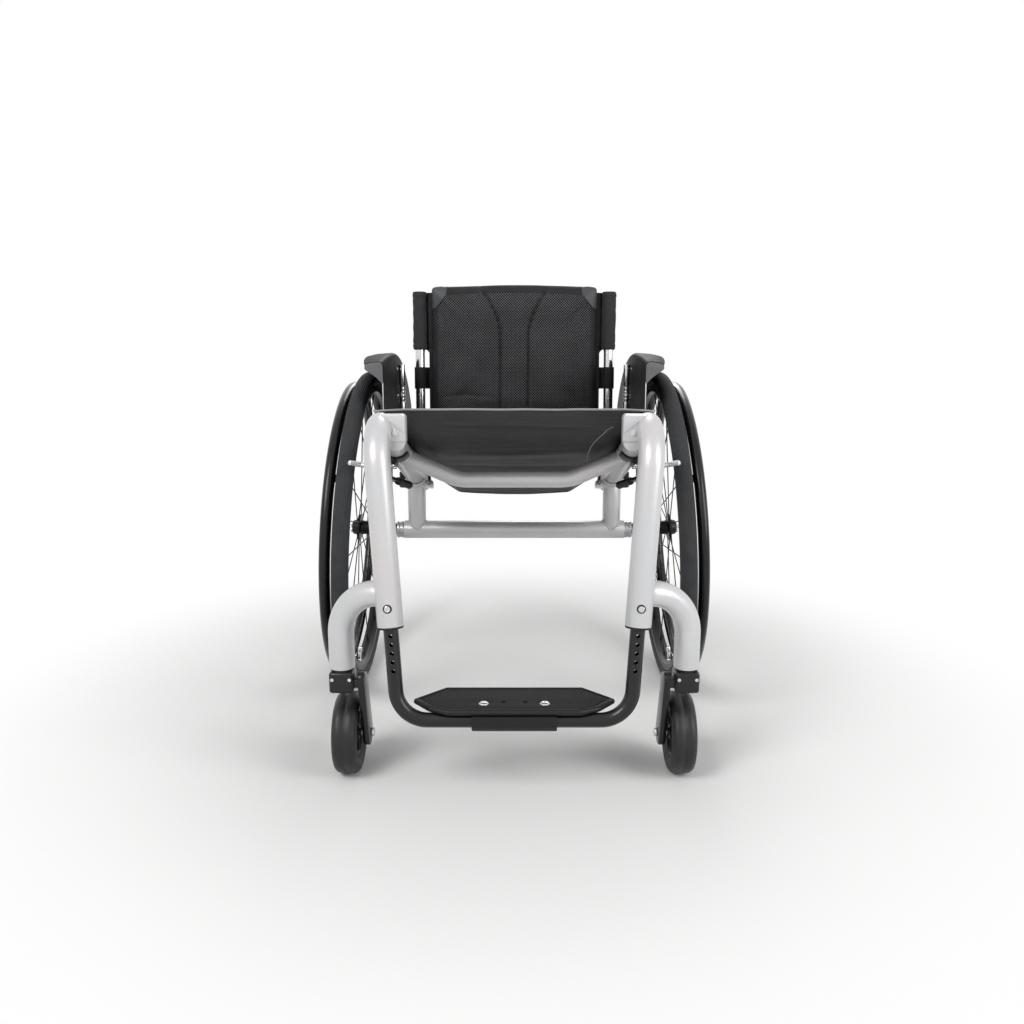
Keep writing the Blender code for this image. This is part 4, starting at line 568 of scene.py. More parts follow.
class Route:
    """A centre line that gives a square frame at any distance along it."""

    def __init__(self, points):
        points = [Vector(p) for p in points]
        self.marks = [0.0]
        for a, b in zip(points, points[1:]):
            self.marks.append(self.marks[-1] + (b - a).length)
        self.length = self.marks[-1]
        steps = [(b - a).normalized() for a, b in zip(points, points[1:])]
        heads = [steps[0], *[(a + b).normalized() for a, b in zip(steps, steps[1:])], steps[-1]]
        across = heads[0].orthogonal().normalized()
        self.knots = []
        for point, head in zip(points, heads):
            across = (across - across.dot(head) * head).normalized()
            self.knots.append((point, across, head))

    def at(self, s):
        """Frame at this distance, its Z along the line."""
        index = max(0, min(len(self.marks) - 2, bisect(self.marks, s) - 1))
        t = (s - self.marks[index]) / (self.marks[index + 1] - self.marks[index])
        (p, across, head), (q, across_next, head_next) = self.knots[index], self.knots[index + 1]
        z = head.lerp(head_next, min(1.0, max(0.0, t))).normalized()
        x = across.lerp(across_next, min(1.0, max(0.0, t)))
        x = (x - x.dot(z) * z).normalized()
        return frame_of(p + (q - p) * t, x, z.cross(x), z)


# Surfaces in a bmesh
def skin(shape, rings, around=True, caps=(True, True), loop=False):
    """Faces between rings of points, each ring closed or left open; a ring of one point is a pole."""
    rows = [[shape.verts.new(p) for p in ring] for ring in rings]
    pairs = list(zip(rows, rows[1:]))
    if loop:
        pairs.append((rows[-1], rows[0]))
    for a, b in pairs:
        count = max(len(a), len(b))
        for k in range(count if around else count - 1):
            n = (k + 1) % count
            corners = (a[k % len(a)], a[n % len(a)], b[n % len(b)], b[k % len(b)])
            corners = list(dict.fromkeys(corners))
            if len(corners) > 2:
                shape.faces.new(corners)
    for row, wanted in ((rows[0], caps[0]), (rows[-1], caps[1])):
        if wanted and around and not loop and len(row) > 2:
            shape.faces.new(row)


def hoop(matrix, radius, sides):
    """A ring of points round the frame's Z axis, or its middle alone for a radius of nothing."""
    if radius <= 0:
        return [matrix.translation.copy()]
    turns = [2 * math.pi * k / sides for k in range(sides)]
    return [matrix @ Vector((radius * math.cos(a), radius * math.sin(a), 0)) for a in turns]


def swept(shape, route, stations, sides):
    """A round skin along a route, through (distance, radius) stations."""
    skin(shape, [hoop(route.at(s), r, sides) for s, r in stations])


def tube_stations(route, radius, wall=0.0, open_ends=(False, False), ease=0.0006):
    """Stations of a bent tube: its bends, and at an open end a rounded lip and the bore's first stretch."""
    middle = [(s, radius) for s in route.marks[1:-1]]
    bore = radius - wall
    lip = [(ease, radius), (ease * 0.3, radius - ease * 0.3), (0.0, radius - ease)]
    mouth = [(0.0, bore + ease), (ease * 0.3, bore + ease * 0.3), (ease, bore), (BORE_DEPTH, bore)]
    start = [*lip, *mouth][::-1] if open_ends[0] else lip[::-1]
    end = [*lip, *mouth] if open_ends[1] else lip
    return [*start, *middle, *[(route.length - s, r) for s, r in end]]


def rod(shape, start, end, radius, sides=36, ease=0.0005):
    """A round bar with rounded edges."""
    route = Route([start, end])
    swept(shape, route, tube_stations(route, radius, ease=ease), sides)


def lathe(shape, profile, matrix, steps, closed=True, ease=0.0):
    """A profile of (radius, height) points turned about the frame's Z axis."""
    if ease:
        profile = eased(profile, ease, closed)
    rings = [hoop(matrix @ Matrix.Translation((0, 0, h)), r, steps) for r, h in profile]
    skin(shape, rings, loop=closed, caps=(False, False))


def box(shape, centre, size, matrix, ease, segments=3):
    """A block with rounded edges, upright or in the given frame."""
    block = bmesh.new()
    bmesh.ops.create_cube(block, size=1.0)
    bmesh.ops.scale(block, vec=size, verts=block.verts)
    edges = list(block.edges)
    bmesh.ops.bevel(block, geom=edges, offset=ease, segments=segments, profile=0.5, affect="EDGES")
    place = (matrix or Matrix()) @ Matrix.Translation(centre)
    bmesh.ops.transform(block, matrix=place, verts=block.verts)
    join(shape, block)


def plain_mesh(shape, face_out=False):
    """A bmesh as a mesh, its faces turned outwards where that is asked for."""
    if face_out:
        bmesh.ops.recalc_face_normals(shape, faces=shape.faces)
    mesh = bpy.data.meshes.new("part")
    shape.to_mesh(mesh)
    shape.free()
    return mesh


def join(shape, other):
    """Add another bmesh, or a mesh, to this one."""
    mesh = plain_mesh(other) if isinstance(other, bmesh.types.BMesh) else other
    shape.from_mesh(mesh)
    bpy.data.meshes.remove(mesh)


def reopened(mesh):
    """A mesh as a new bmesh."""
    shape = bmesh.new()
    join(shape, mesh)
    return shape


def evaluated_mesh(obj):
    """The plain mesh of an object with its modifiers or its curve's bevel; the object goes."""
    bpy.context.view_layer.update()
    mesh = bpy.data.meshes.new_from_object(obj.evaluated_get(bpy.context.evaluated_depsgraph_get()))
    bpy.data.objects.remove(obj, do_unlink=True)
    return mesh


def helper(data):
    """An object in the scene, which may be there only to evaluate its modifiers."""
    obj = bpy.data.objects.new("helper", data)
    bpy.context.scene.collection.objects.link(obj)
    return obj


def slab(shape, outline, thickness, matrix, ease=0.0006, holes=()):
    """A flat outline in the frame's XY plane, thickened along its Z both ways, with rounded edges."""
    curve = bpy.data.curves.new("outline", "CURVE")
    curve.dimensions = "2D"
    curve.fill_mode = "BOTH"
    curve.extrude = thickness / 2 - ease
    curve.bevel_depth = ease
    curve.bevel_resolution = 1
    curve.offset = -ease
    for loop in (outline, *holes):
        spline = curve.splines.new("POLY")
        spline.points.add(len(loop) - 1)
        for knot, (x, y) in zip(spline.points, loop):
            knot.co = (x, y, 0.0, 1.0)
        spline.use_cyclic_u = True
    mesh = evaluated_mesh(helper(curve))
    mesh.transform(matrix)
    join(shape, mesh)


def cut(shape, cutter):
    """The bmesh with the cutter's shape taken out of it."""
    body, tool = helper(plain_mesh(shape, True)), helper(plain_mesh(cutter, True))
    change = body.modifiers.new("cut", "BOOLEAN")
    change.operation = "DIFFERENCE"
    change.object = tool
    mesh = evaluated_mesh(body)
    bpy.data.objects.remove(tool, do_unlink=True)
    return reopened(mesh)


def shell(rows, thickness, offset=0.0, even=True, edge=0.0):
    """Rows of points as a sheet of this thickness, with a rounded edge where one is asked for."""
    sheet = bmesh.new()
    skin(sheet, rows, around=False, caps=(False, False))
    body = helper(plain_mesh(sheet))
    wall = body.modifiers.new("wall", "SOLIDIFY")
    wall.thickness, wall.offset, wall.use_even_offset = thickness, offset, even
    if edge:
        lip = body.modifiers.new("lip", "BEVEL")
        lip.width, lip.segments, lip.angle_limit = edge, 2, math.radians(60)
    return reopened(evaluated_mesh(body))


# Node trees
def linear(code):
    """Linear colour of an sRGB hex code."""
    parts = [int(code[i:i + 2], 16) / 255 for i in (1, 3, 5)]
    return (*[c / 12.92 if c <= 0.04045 else ((c + 0.055) / 1.055) ** 2.4 for c in parts], 1.0)


def wire(tree, node, feed):
    """Set a node's inputs to values or to colours by code, or link them from sockets or nodes."""
    for key, value in feed.items():
        if isinstance(value, bpy.types.Node):
            value = next(socket for socket in value.outputs if socket.enabled)
        if isinstance(value, bpy.types.NodeSocket):
            tree.links.new(value, node.inputs[key])
        else:
            colour = isinstance(value, str) and value.startswith("#")
            node.inputs[key].default_value = linear(value) if colour else value


def add(tree, kind, feed=None, **settings):
    """A node with its settings and inputs; a mix of colours takes its share as 0, its colours as 6 and 7."""
    node = tree.nodes.new(kind)
    for key, value in settings.items():
        setattr(node, key, value)
    wire(tree, node, feed or {})
    return node


def begin(name, colour, roughness, metallic=0.0, **more):
    """A finish with plain shader values: the material, its tree, its shader and the place on the piece."""
    made = bpy.data.materials.new(name)
    made.use_nodes = True
    tree = made.node_tree
    shader = tree.nodes["Principled BSDF"]
    wire(tree, shader, {"Base Color": colour, "Roughness": roughness, "Metallic": metallic})
    wire(tree, shader, {key.replace("_", " "): value for key, value in more.items()})
    place = add(tree, "ShaderNodeTexCoord").outputs["Object"]
    return made, tree, shader, place


# Finishes
def pearl_powder_coat():
    # Pearl powder coat on aluminium tube: sprayed and baked, so it is smooth with a faint orange peel, and
    # its mica flakes lift the white towards silver; broad random patches are pulled to pink as a painted
    # reflection.
    made, tree, shader, place = begin("pearl_powder_coat", "#CDCDCD", 0.36, 0.25, Coat_Weight=0.3,
                                      Coat_Roughness=0.14)
    flakes = add(tree, "ShaderNodeTexNoise", {"Vector": place, "Scale": 1 / 0.0009, "Detail": 1.0})
    drift = add(tree, "ShaderNodeTexNoise", {"Vector": place, "Scale": 1 / 0.07, "Detail": 1.0})
    silver = add(tree, "ShaderNodeMix", {0: flakes, 6: "#BEBFC1", 7: "#DBDBDC"}, data_type="RGBA")
    share = add(tree, "ShaderNodeMapRange", {"Value": drift, "From Min": 0.45, "From Max": 0.75,
                                             "To Max": 0.4})
    # Broad random patches tinted pink: a painted reflection
    silver_with_painted_pink = add(tree, "ShaderNodeMix", {0: share, 6: silver, 7: "#D9CDCC"}, data_type="RGBA")
    peel = add(tree, "ShaderNodeTexNoise", {"Vector": place, "Scale": 1 / 0.0028, "Detail": 1.0})
    bump = add(tree, "ShaderNodeBump", {"Height": peel, "Strength": 0.16, "Distance": 0.0003})
    wire(tree, shader, {"Base Color": silver_with_painted_pink, "Normal": bump})
    return made


def black_powder_coat():
    # Gloss black powder coat over cast and bent aluminium: an even deep black with a rounded, slightly
    # pebbled gloss.
    made, tree, shader, place = begin("black_powder_coat", "#101011", 0.3, 0.0, Specular_IOR_Level=0.3,
                                      Coat_Weight=0.25, Coat_Roughness=0.07)
    peel = add(tree, "ShaderNodeTexNoise", {"Vector": place, "Scale": 1 / 0.0022, "Detail": 2.0})
    tone = add(tree, "ShaderNodeMix", {0: peel, 6: "#0C0C0D", 7: "#18181A"}, data_type="RGBA")
    bump = add(tree, "ShaderNodeBump", {"Height": peel, "Strength": 0.22, "Distance": 0.0003})
    wire(tree, shader, {"Base Color": tone, "Normal": bump})
    return made


def black_anodised_aluminium():
    # Black anodised aluminium, turned or extruded first: a satin black metal with the tool's fine lines
    # under the dye, a little browner where the dye took less.
    made, tree, shader, place = begin("black_anodised_aluminium", "#232325", 0.34, 0.85)
    lines = add(tree, "ShaderNodeTexNoise", {"Vector": place, "Scale": 1 / 0.0007, "Detail": 3.0})
    dye = add(tree, "ShaderNodeTexNoise", {"Vector": place, "Scale": 1 / 0.035, "Detail": 2.0})
    tone = add(tree, "ShaderNodeMix", {0: dye, 6: "#1B1B1D", 7: "#2E2C2C"}, data_type="RGBA")
    gloss = add(tree, "ShaderNodeMapRange", {"Value": lines, "To Min": 0.27, "To Max": 0.42})
    bump = add(tree, "ShaderNodeBump", {"Height": lines, "Strength": 0.12, "Distance": 0.0001})
    wire(tree, shader, {"Base Color": tone, "Roughness": gloss, "Normal": bump})
    return made


def handrim_anodising():
    # Hard anodised handrim tube: satin black with a long clean highlight, and hand wear that polishes
    # patches of it.
    made, tree, shader, place = begin("handrim_anodising", "#1A1A1B", 0.27, 0.7, Coat_Weight=0.25,
                                      Coat_Roughness=0.2)
    wear = add(tree, "ShaderNodeTexNoise", {"Vector": place, "Scale": 1 / 0.04, "Detail": 4.0})
    gloss = add(tree, "ShaderNodeMapRange", {"Value": wear, "From Min": 0.3, "From Max": 0.7, "To Min": 0.19,
                                             "To Max": 0.36})
    tone = add(tree, "ShaderNodeMix", {0: wear, 6: "#141415", 7: "#232324"}, data_type="RGBA")
    wire(tree, shader, {"Base Color": tone, "Roughness": gloss})
    return made


def black_spoke_steel():
    # Blackened stainless spoke wire: drawn smooth, with a thin dark oxide that shines at a glance.
    made, tree, shader, place = begin("black_spoke_steel", "#2A2A2C", 0.3, 0.9)
    draw = add(tree, "ShaderNodeTexNoise", {"Vector": place, "Scale": 1 / 0.005, "Detail": 2.0})
    tone = add(tree, "ShaderNodeMix", {0: draw, 6: "#1E1E20", 7: "#3A3A3D"}, data_type="RGBA")
    wire(tree, shader, {"Base Color": tone})
    return made


def polished_steel():
    # Polished stainless steel: a bright mirror with hairline scratches that spread its highlights.
    made, tree, shader, place = begin("polished_steel", "#D2D3D5", 0.13, 1.0)
    stretch = add(tree, "ShaderNodeMapping", {"Vector": place, "Scale": (9.0, 9.0, 1.0)})
    hair = add(tree, "ShaderNodeTexNoise", {"Vector": stretch, "Scale": 1 / 0.004, "Detail": 3.0})
    gloss = add(tree, "ShaderNodeMapRange", {"Value": hair, "From Min": 0.3, "From Max": 0.7, "To Min": 0.07,
                                             "To Max": 0.2})
    bump = add(tree, "ShaderNodeBump", {"Height": hair, "Strength": 0.05, "Distance": 0.0001})
    wire(tree, shader, {"Roughness": gloss, "Normal": bump})
    return made


def turned_aluminium():
    # Bare machined aluminium: a silver metal with the lathe tool's fine rings, square to the axle.
    made, tree, shader, place = begin("turned_aluminium", "#BEBFC1", 0.3, 1.0)
    rings = add(tree, "ShaderNodeTexWave", {"Vector": place, "Scale": 1 / 0.0012, "Distortion": 0.3,
                                            "Detail": 1.0}, bands_direction="X")
    gloss = add(tree, "ShaderNodeMapRange", {"Value": rings.outputs[1], "To Min": 0.2, "To Max": 0.38})
    bump = add(tree, "ShaderNodeBump", {"Height": rings.outputs[1], "Strength": 0.25, "Distance": 0.0001})
    wire(tree, shader, {"Roughness": gloss, "Normal": bump})
    return made


def moulded_nylon():
    # Black glass-filled nylon, injection moulded against a spark-eroded tool: a dull, finely pitted black.
    made, tree, shader, place = begin("moulded_nylon", "#161617", 0.48, 0.0, Specular_IOR_Level=0.3)
    pits = add(tree, "ShaderNodeTexNoise", {"Vector": place, "Scale": 1 / 0.0008, "Detail": 3.0})
    tone = add(tree, "ShaderNodeMix", {0: pits, 6: "#111112", 7: "#1F1F21"}, data_type="RGBA")
    bump = add(tree, "ShaderNodeBump", {"Height": pits, "Strength": 0.35, "Distance": 0.0002})
    wire(tree, shader, {"Base Color": tone, "Normal": bump})
    return made


def guard_abs():
    # Vacuum-formed ABS sheet for the clothes guards: a grey black with a smooth skin, scuffed by sleeves and
    # palms.
    made, tree, shader, place = begin("guard_abs", "#17171A", 0.55, 0.0, Specular_IOR_Level=0.15)
    scuff = add(tree, "ShaderNodeTexNoise", {"Vector": place, "Scale": 1 / 0.02, "Detail": 6.0,
                                             "Roughness": 0.65})
    grain = add(tree, "ShaderNodeTexNoise", {"Vector": place, "Scale": 1 / 0.0016, "Detail": 2.0})
    tone = add(tree, "ShaderNodeMix", {0: scuff, 6: "#101012", 7: "#1F1F22"}, data_type="RGBA")
    gloss = add(tree, "ShaderNodeMapRange", {"Value": scuff, "From Min": 0.3, "From Max": 0.7, "To Min": 0.48,
                                             "To Max": 0.62})
    bump = add(tree, "ShaderNodeBump", {"Height": grain, "Strength": 0.12, "Distance": 0.0002})
    wire(tree, shader, {"Base Color": tone, "Roughness": gloss, "Normal": bump})
    return made


def painted_highlight_abs():
    # The same moulded plastic on the guard's front web, painted a lighter matt grey as a highlight on that
    # face, with its fine grain.
    made, tree, shader, place = begin("painted_highlight_abs", "#69696B", 0.6, 0.0, Specular_IOR_Level=0.3)
    mottle = add(tree, "ShaderNodeTexNoise", {"Vector": place, "Scale": 1 / 0.009, "Detail": 4.0,
                                           "Roughness": 0.65})
    # Light grey throughout: a painted highlight on the web's front face, mottled at random
    tone = add(tree, "ShaderNodeMix", {0: mottle, 6: "#5E5E60", 7: "#78787A"}, data_type="RGBA")
    grain = add(tree, "ShaderNodeTexNoise", {"Vector": place, "Scale": 1 / 0.0011, "Detail": 2.0})
    bump = add(tree, "ShaderNodeBump", {"Height": grain, "Strength": 0.2, "Distance": 0.0002})
    wire(tree, shader, {"Base Color": tone, "Normal": bump})
    return made


def tyre_rubber():
    # Dark grey tyre compound, vulcanised in a mould: matt, with dust in its fine grain and a paler bloom.
    made, tree, shader, place = begin("tyre_rubber", "#303133", 0.72, 0.0, Specular_IOR_Level=0.3)
    dust = add(tree, "ShaderNodeTexNoise", {"Vector": place, "Scale": 1 / 0.03, "Detail": 5.0,
                                            "Roughness": 0.6})
    grain = add(tree, "ShaderNodeTexNoise", {"Vector": place, "Scale": 1 / 0.0012, "Detail": 3.0})
    tone = add(tree, "ShaderNodeMix", {0: dust, 6: "#28292B", 7: "#424345"}, data_type="RGBA")
    bump = add(tree, "ShaderNodeBump", {"Height": grain, "Strength": 0.3, "Distance": 0.0002})
    wire(tree, shader, {"Base Color": tone, "Normal": bump})
    return made


def caster_urethane():
    # Cast polyurethane caster tread: smooth black with a soft shine that rolling wear greys in patches.
    made, tree, shader, place = begin("caster_urethane", "#171718", 0.38, 0.0, Specular_IOR_Level=0.4)
    wear = add(tree, "ShaderNodeTexNoise", {"Vector": place, "Scale": 1 / 0.012, "Detail": 6.0,
                                            "Roughness": 0.7})
    tone = add(tree, "ShaderNodeMix", {0: wear, 6: "#0F0F10", 7: "#2B2B2C"}, data_type="RGBA")
    gloss = add(tree, "ShaderNodeMapRange", {"Value": wear, "From Min": 0.35, "From Max": 0.65,
                                             "To Min": 0.33, "To Max": 0.58})
    bump = add(tree, "ShaderNodeBump", {"Height": wear, "Strength": 0.1, "Distance": 0.0004})
    wire(tree, shader, {"Base Color": tone, "Roughness": gloss, "Normal": bump})
    return made


def grit_tape():
    # Anti-slip tread: mineral grit of about 1 mm bonded in black resin, drawn at 1.6 mm so that its sparkle
    # shows.
    made, tree, shader, place = begin("grit_tape", "#1A1A1B", 0.75, 0.0, Specular_IOR_Level=0.25)
    grit = add(tree, "ShaderNodeTexVoronoi", {"Vector": place, "Scale": 1 / 0.0016})
    tone = add(tree, "ShaderNodeMix", {0: grit, 6: "#38383A", 7: "#0D0D0E"}, data_type="RGBA")
    bump = add(tree, "ShaderNodeBump", {"Height": grit, "Strength": 0.8, "Distance": 0.0006}, invert=True)
    wire(tree, shader, {"Base Color": tone, "Normal": bump})
    return made


def weave(tree, place, pitch, axes=("X", "Y")):
    """Height of a plain weave: two crossing runs of threads."""
    feed = {"Vector": place, "Scale": WAVE_SCALE / pitch}
    runs = [add(tree, "ShaderNodeTexWave", feed, bands_direction=axis).outputs[1] for axis in axes]
    return add(tree, "ShaderNodeMath", {0: runs[0], 1: runs[1]}, operation="MULTIPLY")


def coated_nylon():
    # Coated nylon seat cloth: a tight plain weave sealed with polyurethane, so it is black with a satin
    # sheen and fine crinkles where it was folded and sat on. The weave is drawn at 1 mm, twice its size, to
    # show at this scale.
    made, tree, shader, place = begin("coated_nylon", "#131314", 0.42, 0.0, Specular_IOR_Level=0.22)
    threads = weave(tree, place, 0.001)
    wear = add(tree, "ShaderNodeTexNoise", {"Vector": place, "Scale": 1 / 0.06, "Detail": 4.0})
    stretch = add(tree, "ShaderNodeMapping", {"Vector": place, "Scale": (0.35, 1.6, 1.6)})
    folds = add(tree, "ShaderNodeTexNoise", {"Vector": stretch, "Scale": 1 / 0.022, "Detail": 3.0})
    tone = add(tree, "ShaderNodeMix", {0: wear, 6: "#0D0D0E", 7: "#19191B"}, data_type="RGBA")
    soft = add(tree, "ShaderNodeBump", {"Height": folds, "Strength": 0.5, "Distance": 0.0015})
    bump = add(tree, "ShaderNodeBump", {"Height": threads, "Strength": 0.35, "Distance": 0.0002,
                                        "Normal": soft})
    wire(tree, shader, {"Base Color": tone, "Normal": bump})
    return made


def brushed_sleeve_fabric():
    # Brushed polyester over thin foam, sewn into sleeves: a dull mid grey with a soft nap that greys at its
    # edges.
    made, tree, shader, place = begin("brushed_sleeve_fabric", "#3C3C3E", 0.9, 0.0, Specular_IOR_Level=0.15,
                                      Sheen_Weight=0.06)
    nap = add(tree, "ShaderNodeTexNoise", {"Vector": place, "Scale": 1 / 0.0016, "Detail": 4.0})
    drift = add(tree, "ShaderNodeTexNoise", {"Vector": place, "Scale": 1 / 0.03, "Detail": 2.0})
    base = add(tree, "ShaderNodeMix", {0: nap, 6: "#303032", 7: "#48484A"}, data_type="RGBA")
    tone = add(tree, "ShaderNodeMix", {0: drift, 6: base, 7: "#363638"}, data_type="RGBA")
    bump = add(tree, "ShaderNodeBump", {"Height": nap, "Strength": 0.4, "Distance": 0.0004})
    wire(tree, shader, {"Base Color": tone, "Normal": bump})
    return made


def spacer_mesh():
    # Black warp-knitted spacer mesh: an open lattice of diamond cells 5 mm apart; its threads are painted
    # grey as a highlight, and its cells near black, partly for the darker foam under them and partly as
    # painted shade.
    made, tree, shader, place = begin("spacer_mesh", "#2B2B2C", 0.85, 0.0, Specular_IOR_Level=0.15)
    split = add(tree, "ShaderNodeSeparateXYZ", {0: place})
    sines = []
    for operation in ("ADD", "SUBTRACT"):
        run = add(tree, "ShaderNodeMath", {0: split.outputs["X"], 1: split.outputs["Z"]}, operation=operation)
        turn = add(tree, "ShaderNodeMath", {0: run, 1: math.pi / MESH_CELL}, operation="MULTIPLY")
        sine = add(tree, "ShaderNodeMath", {0: turn}, operation="SINE")
        sines.append(add(tree, "ShaderNodeMath", {0: sine}, operation="ABSOLUTE"))
    cell = add(tree, "ShaderNodeMath", {0: sines[0], 1: sines[1]}, operation="MULTIPLY")
    hole = add(tree, "ShaderNodeMapRange", {"Value": cell, "From Min": 0.16, "From Max": 0.42})
    drift = add(tree, "ShaderNodeTexNoise", {"Vector": place, "Scale": 1 / 0.05, "Detail": 3.0})
    # Threads painted grey as lit; the cells below painted near black, partly as shade
    threads = add(tree, "ShaderNodeMix", {0: drift, 6: "#565658", 7: "#727275"}, data_type="RGBA")
    tone = add(tree, "ShaderNodeMix", {0: hole, 6: threads, 7: "#050506"}, data_type="RGBA")
    bump = add(tree, "ShaderNodeBump", {"Height": hole, "Strength": 0.8, "Distance": 0.0009}, invert=True)
    wire(tree, shader, {"Base Color": tone, "Normal": bump})
    return made


def strap_webbing():
    # Black polyester webbing: woven ribs 1.6 mm apart run along the strap, painted darker in their valleys
    # as shade and lighter on top as a highlight.
    made, tree, shader, place = begin("strap_webbing", "#161617", 0.75, 0.0, Specular_IOR_Level=0.2)
    ribs = add(tree, "ShaderNodeTexWave", {"Vector": place, "Scale": WAVE_SCALE / 0.0016},
               bands_direction="Z")
    twill = add(tree, "ShaderNodeTexNoise", {"Vector": place, "Scale": 1 / 0.0012, "Detail": 2.0})
    # Rib tops painted lighter as highlight, valleys darker as shade
    tone = add(tree, "ShaderNodeMix", {0: ribs.outputs[1], 6: "#101011", 7: "#2A2A2B"}, data_type="RGBA")
    height = add(tree, "ShaderNodeMath", {0: ribs.outputs[1], 1: twill}, operation="ADD")
    bump = add(tree, "ShaderNodeBump", {"Height": height, "Strength": 0.5, "Distance": 0.0003})
    wire(tree, shader, {"Base Color": tone, "Normal": bump})
    return made


def synthetic_leather():
    # Polyurethane leather cut for the corner patches: grey, with a pebbled grain of about 1 mm and a soft
    # shine.
    made, tree, shader, place = begin("synthetic_leather", "#47484A", 0.5, 0.0, Specular_IOR_Level=0.35)
    grain = add(tree, "ShaderNodeTexVoronoi", {"Vector": place, "Scale": 1 / 0.0012}, feature="SMOOTH_F1")
    tone = add(tree, "ShaderNodeMix", {0: grain, 6: "#505153", 7: "#38393B"}, data_type="RGBA")
    bump = add(tree, "ShaderNodeBump", {"Height": grain, "Strength": 0.5, "Distance": 0.0003}, invert=True)
    wire(tree, shader, {"Base Color": tone, "Normal": bump})
    return made


def binding_tape():
    # Woven polyester binding over the cloth's raw edges: dark grey with fine cross ribs 0.9 mm apart.
    made, tree, shader, place = begin("binding_tape", "#29292B", 0.7, 0.0, Specular_IOR_Level=0.2)
    threads = weave(tree, place, 0.0009, ("X", "Z"))
    tone = add(tree, "ShaderNodeMix", {0: threads, 6: "#202022", 7: "#363638"}, data_type="RGBA")
    bump = add(tree, "ShaderNodeBump", {"Height": threads, "Strength": 0.4, "Distance": 0.0002})
    wire(tree, shader, {"Base Color": tone, "Normal": bump})
    return made


def edge_tape():
    # Lighter woven tape along the seat's front edge: worn grey where calves and hands rub it.
    made, tree, shader, place = begin("edge_tape", "#A4A4A2", 0.6, 0.0, Sheen_Weight=0.15)
    threads = weave(tree, place, 0.0009)
    mottle = add(tree, "ShaderNodeTexNoise", {"Vector": place, "Scale": 1 / 0.015, "Detail": 4.0})
    base = add(tree, "ShaderNodeMix", {0: threads, 6: "#8C8C8A", 7: "#B8B7B5"}, data_type="RGBA")
    tone = add(tree, "ShaderNodeMix", {0: mottle, 6: base, 7: "#8A8886"}, data_type="RGBA")
    bump = add(tree, "ShaderNodeBump", {"Height": threads, "Strength": 0.4, "Distance": 0.0002})
    wire(tree, shader, {"Base Color": tone, "Normal": bump})
    return made


def dark_thread():
    # Bonded polyester sewing thread, charcoal: it shines a little along each stitch.
    made, tree, shader, place = begin("dark_thread", "#242425", 0.6, 0.0, Sheen_Weight=0.15)
    ply = add(tree, "ShaderNodeTexNoise", {"Vector": place, "Scale": 1 / 0.0004, "Detail": 1.0})
    tone = add(tree, "ShaderNodeMix", {0: ply, 6: "#1A1A1B", 7: "#2F2F31"}, data_type="RGBA")
    wire(tree, shader, {"Base Color": tone})
    return made


def pale_thread():
    # Pale grey sewing thread, thick enough to read as a dotted line on the black cloth.
    made, tree, shader, place = begin("pale_thread", "#A9A9A7", 0.5, 0.0, Sheen_Weight=0.3)
    ply = add(tree, "ShaderNodeTexNoise", {"Vector": place, "Scale": 1 / 0.0004, "Detail": 1.0})
    tone = add(tree, "ShaderNodeMix", {0: ply, 6: "#979795", 7: "#BBBBB9"}, data_type="RGBA")
    wire(tree, shader, {"Base Color": tone})
    return made


# Each finish with the name of its colour slot; only the finishes are used below
SLOTS = {
    pearl_powder_coat: "silver_frame_paint", black_powder_coat: "black_coating",
    black_anodised_aluminium: "black_anodised", handrim_anodising: "black_anodised",
    black_spoke_steel: "black_spokes", polished_steel: "bright_steel", turned_aluminium: "machined_aluminium",
    moulded_nylon: "black_plastic", grit_tape: "black_plastic", guard_abs: "guard_panel",
    painted_highlight_abs: "guard_panel", tyre_rubber: "grey_tyre", caster_urethane: "caster_rubber",
    coated_nylon: "black_nylon", brushed_sleeve_fabric: "black_nylon", strap_webbing: "black_nylon",
    binding_tape: "black_nylon", edge_tape: "black_nylon", dark_thread: "black_nylon",
    pale_thread: "black_nylon", spacer_mesh: "black_spacer_mesh", synthetic_leather: "black_spacer_mesh",
}
FINISHES = {recipe.__name__: recipe() for recipe in SLOTS}


# Pieces
def piece(name, shape, finish, body, crease=34, nodes=()):
    """Name a shape, give it its finish, put it in the chair's place and let it ride on its body."""
    mesh = shape
    if isinstance(shape, bmesh.types.BMesh):
        bmesh.ops.remove_doubles(shape, verts=shape.verts, dist=2e-6)
        mesh = plain_mesh(shape, True)
    mesh.name = name
    mesh.transform(Matrix.Translation((0, CENTRE_Y, 0)))
    mesh.materials.clear()
    mesh.materials.append(FINISHES[finish])
    mesh.shade_smooth()
    mesh.set_sharp_from_angle(angle=math.radians(crease))
    obj = bpy.data.objects.new(name, mesh)
    bpy.context.scene.collection.objects.link(obj)
    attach(obj, body)
    if nodes:
        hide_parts(*nodes)
    return obj


def surface(node, shape, finish, body, crease=34):
    """The finished surface of one node."""
    return piece(f"{node}_surface", shape, finish, body, crease, (node,))


# Geometry trees for what repeats
def geometry_tree(name, inputs):
    """An empty geometry tree with these named inputs, and its ends."""
    tree = bpy.data.node_groups.new(name, "GeometryNodeTree")
    for label, kind in {"Geometry": "Geometry", **inputs}.items():
        tree.interface.new_socket(name=label, in_out="INPUT", socket_type=f"NodeSocket{kind}")
    tree.interface.new_socket(name="Geometry", in_out="OUTPUT", socket_type="NodeSocketGeometry")
    return tree, add(tree, "NodeGroupInput").outputs


def finish_tree(tree, copies, finish):
    """End a tree: make its instances real, smooth them and give them their finish."""
    real = add(tree, "GeometryNodeRealizeInstances", {0: copies})
    smooth = add(tree, "GeometryNodeSetShadeSmooth", {0: real})
    coated = add(tree, "GeometryNodeSetMaterial", {0: smooth, "Material": finish})
    add(tree, "NodeGroupOutput", {0: coated})
    return tree


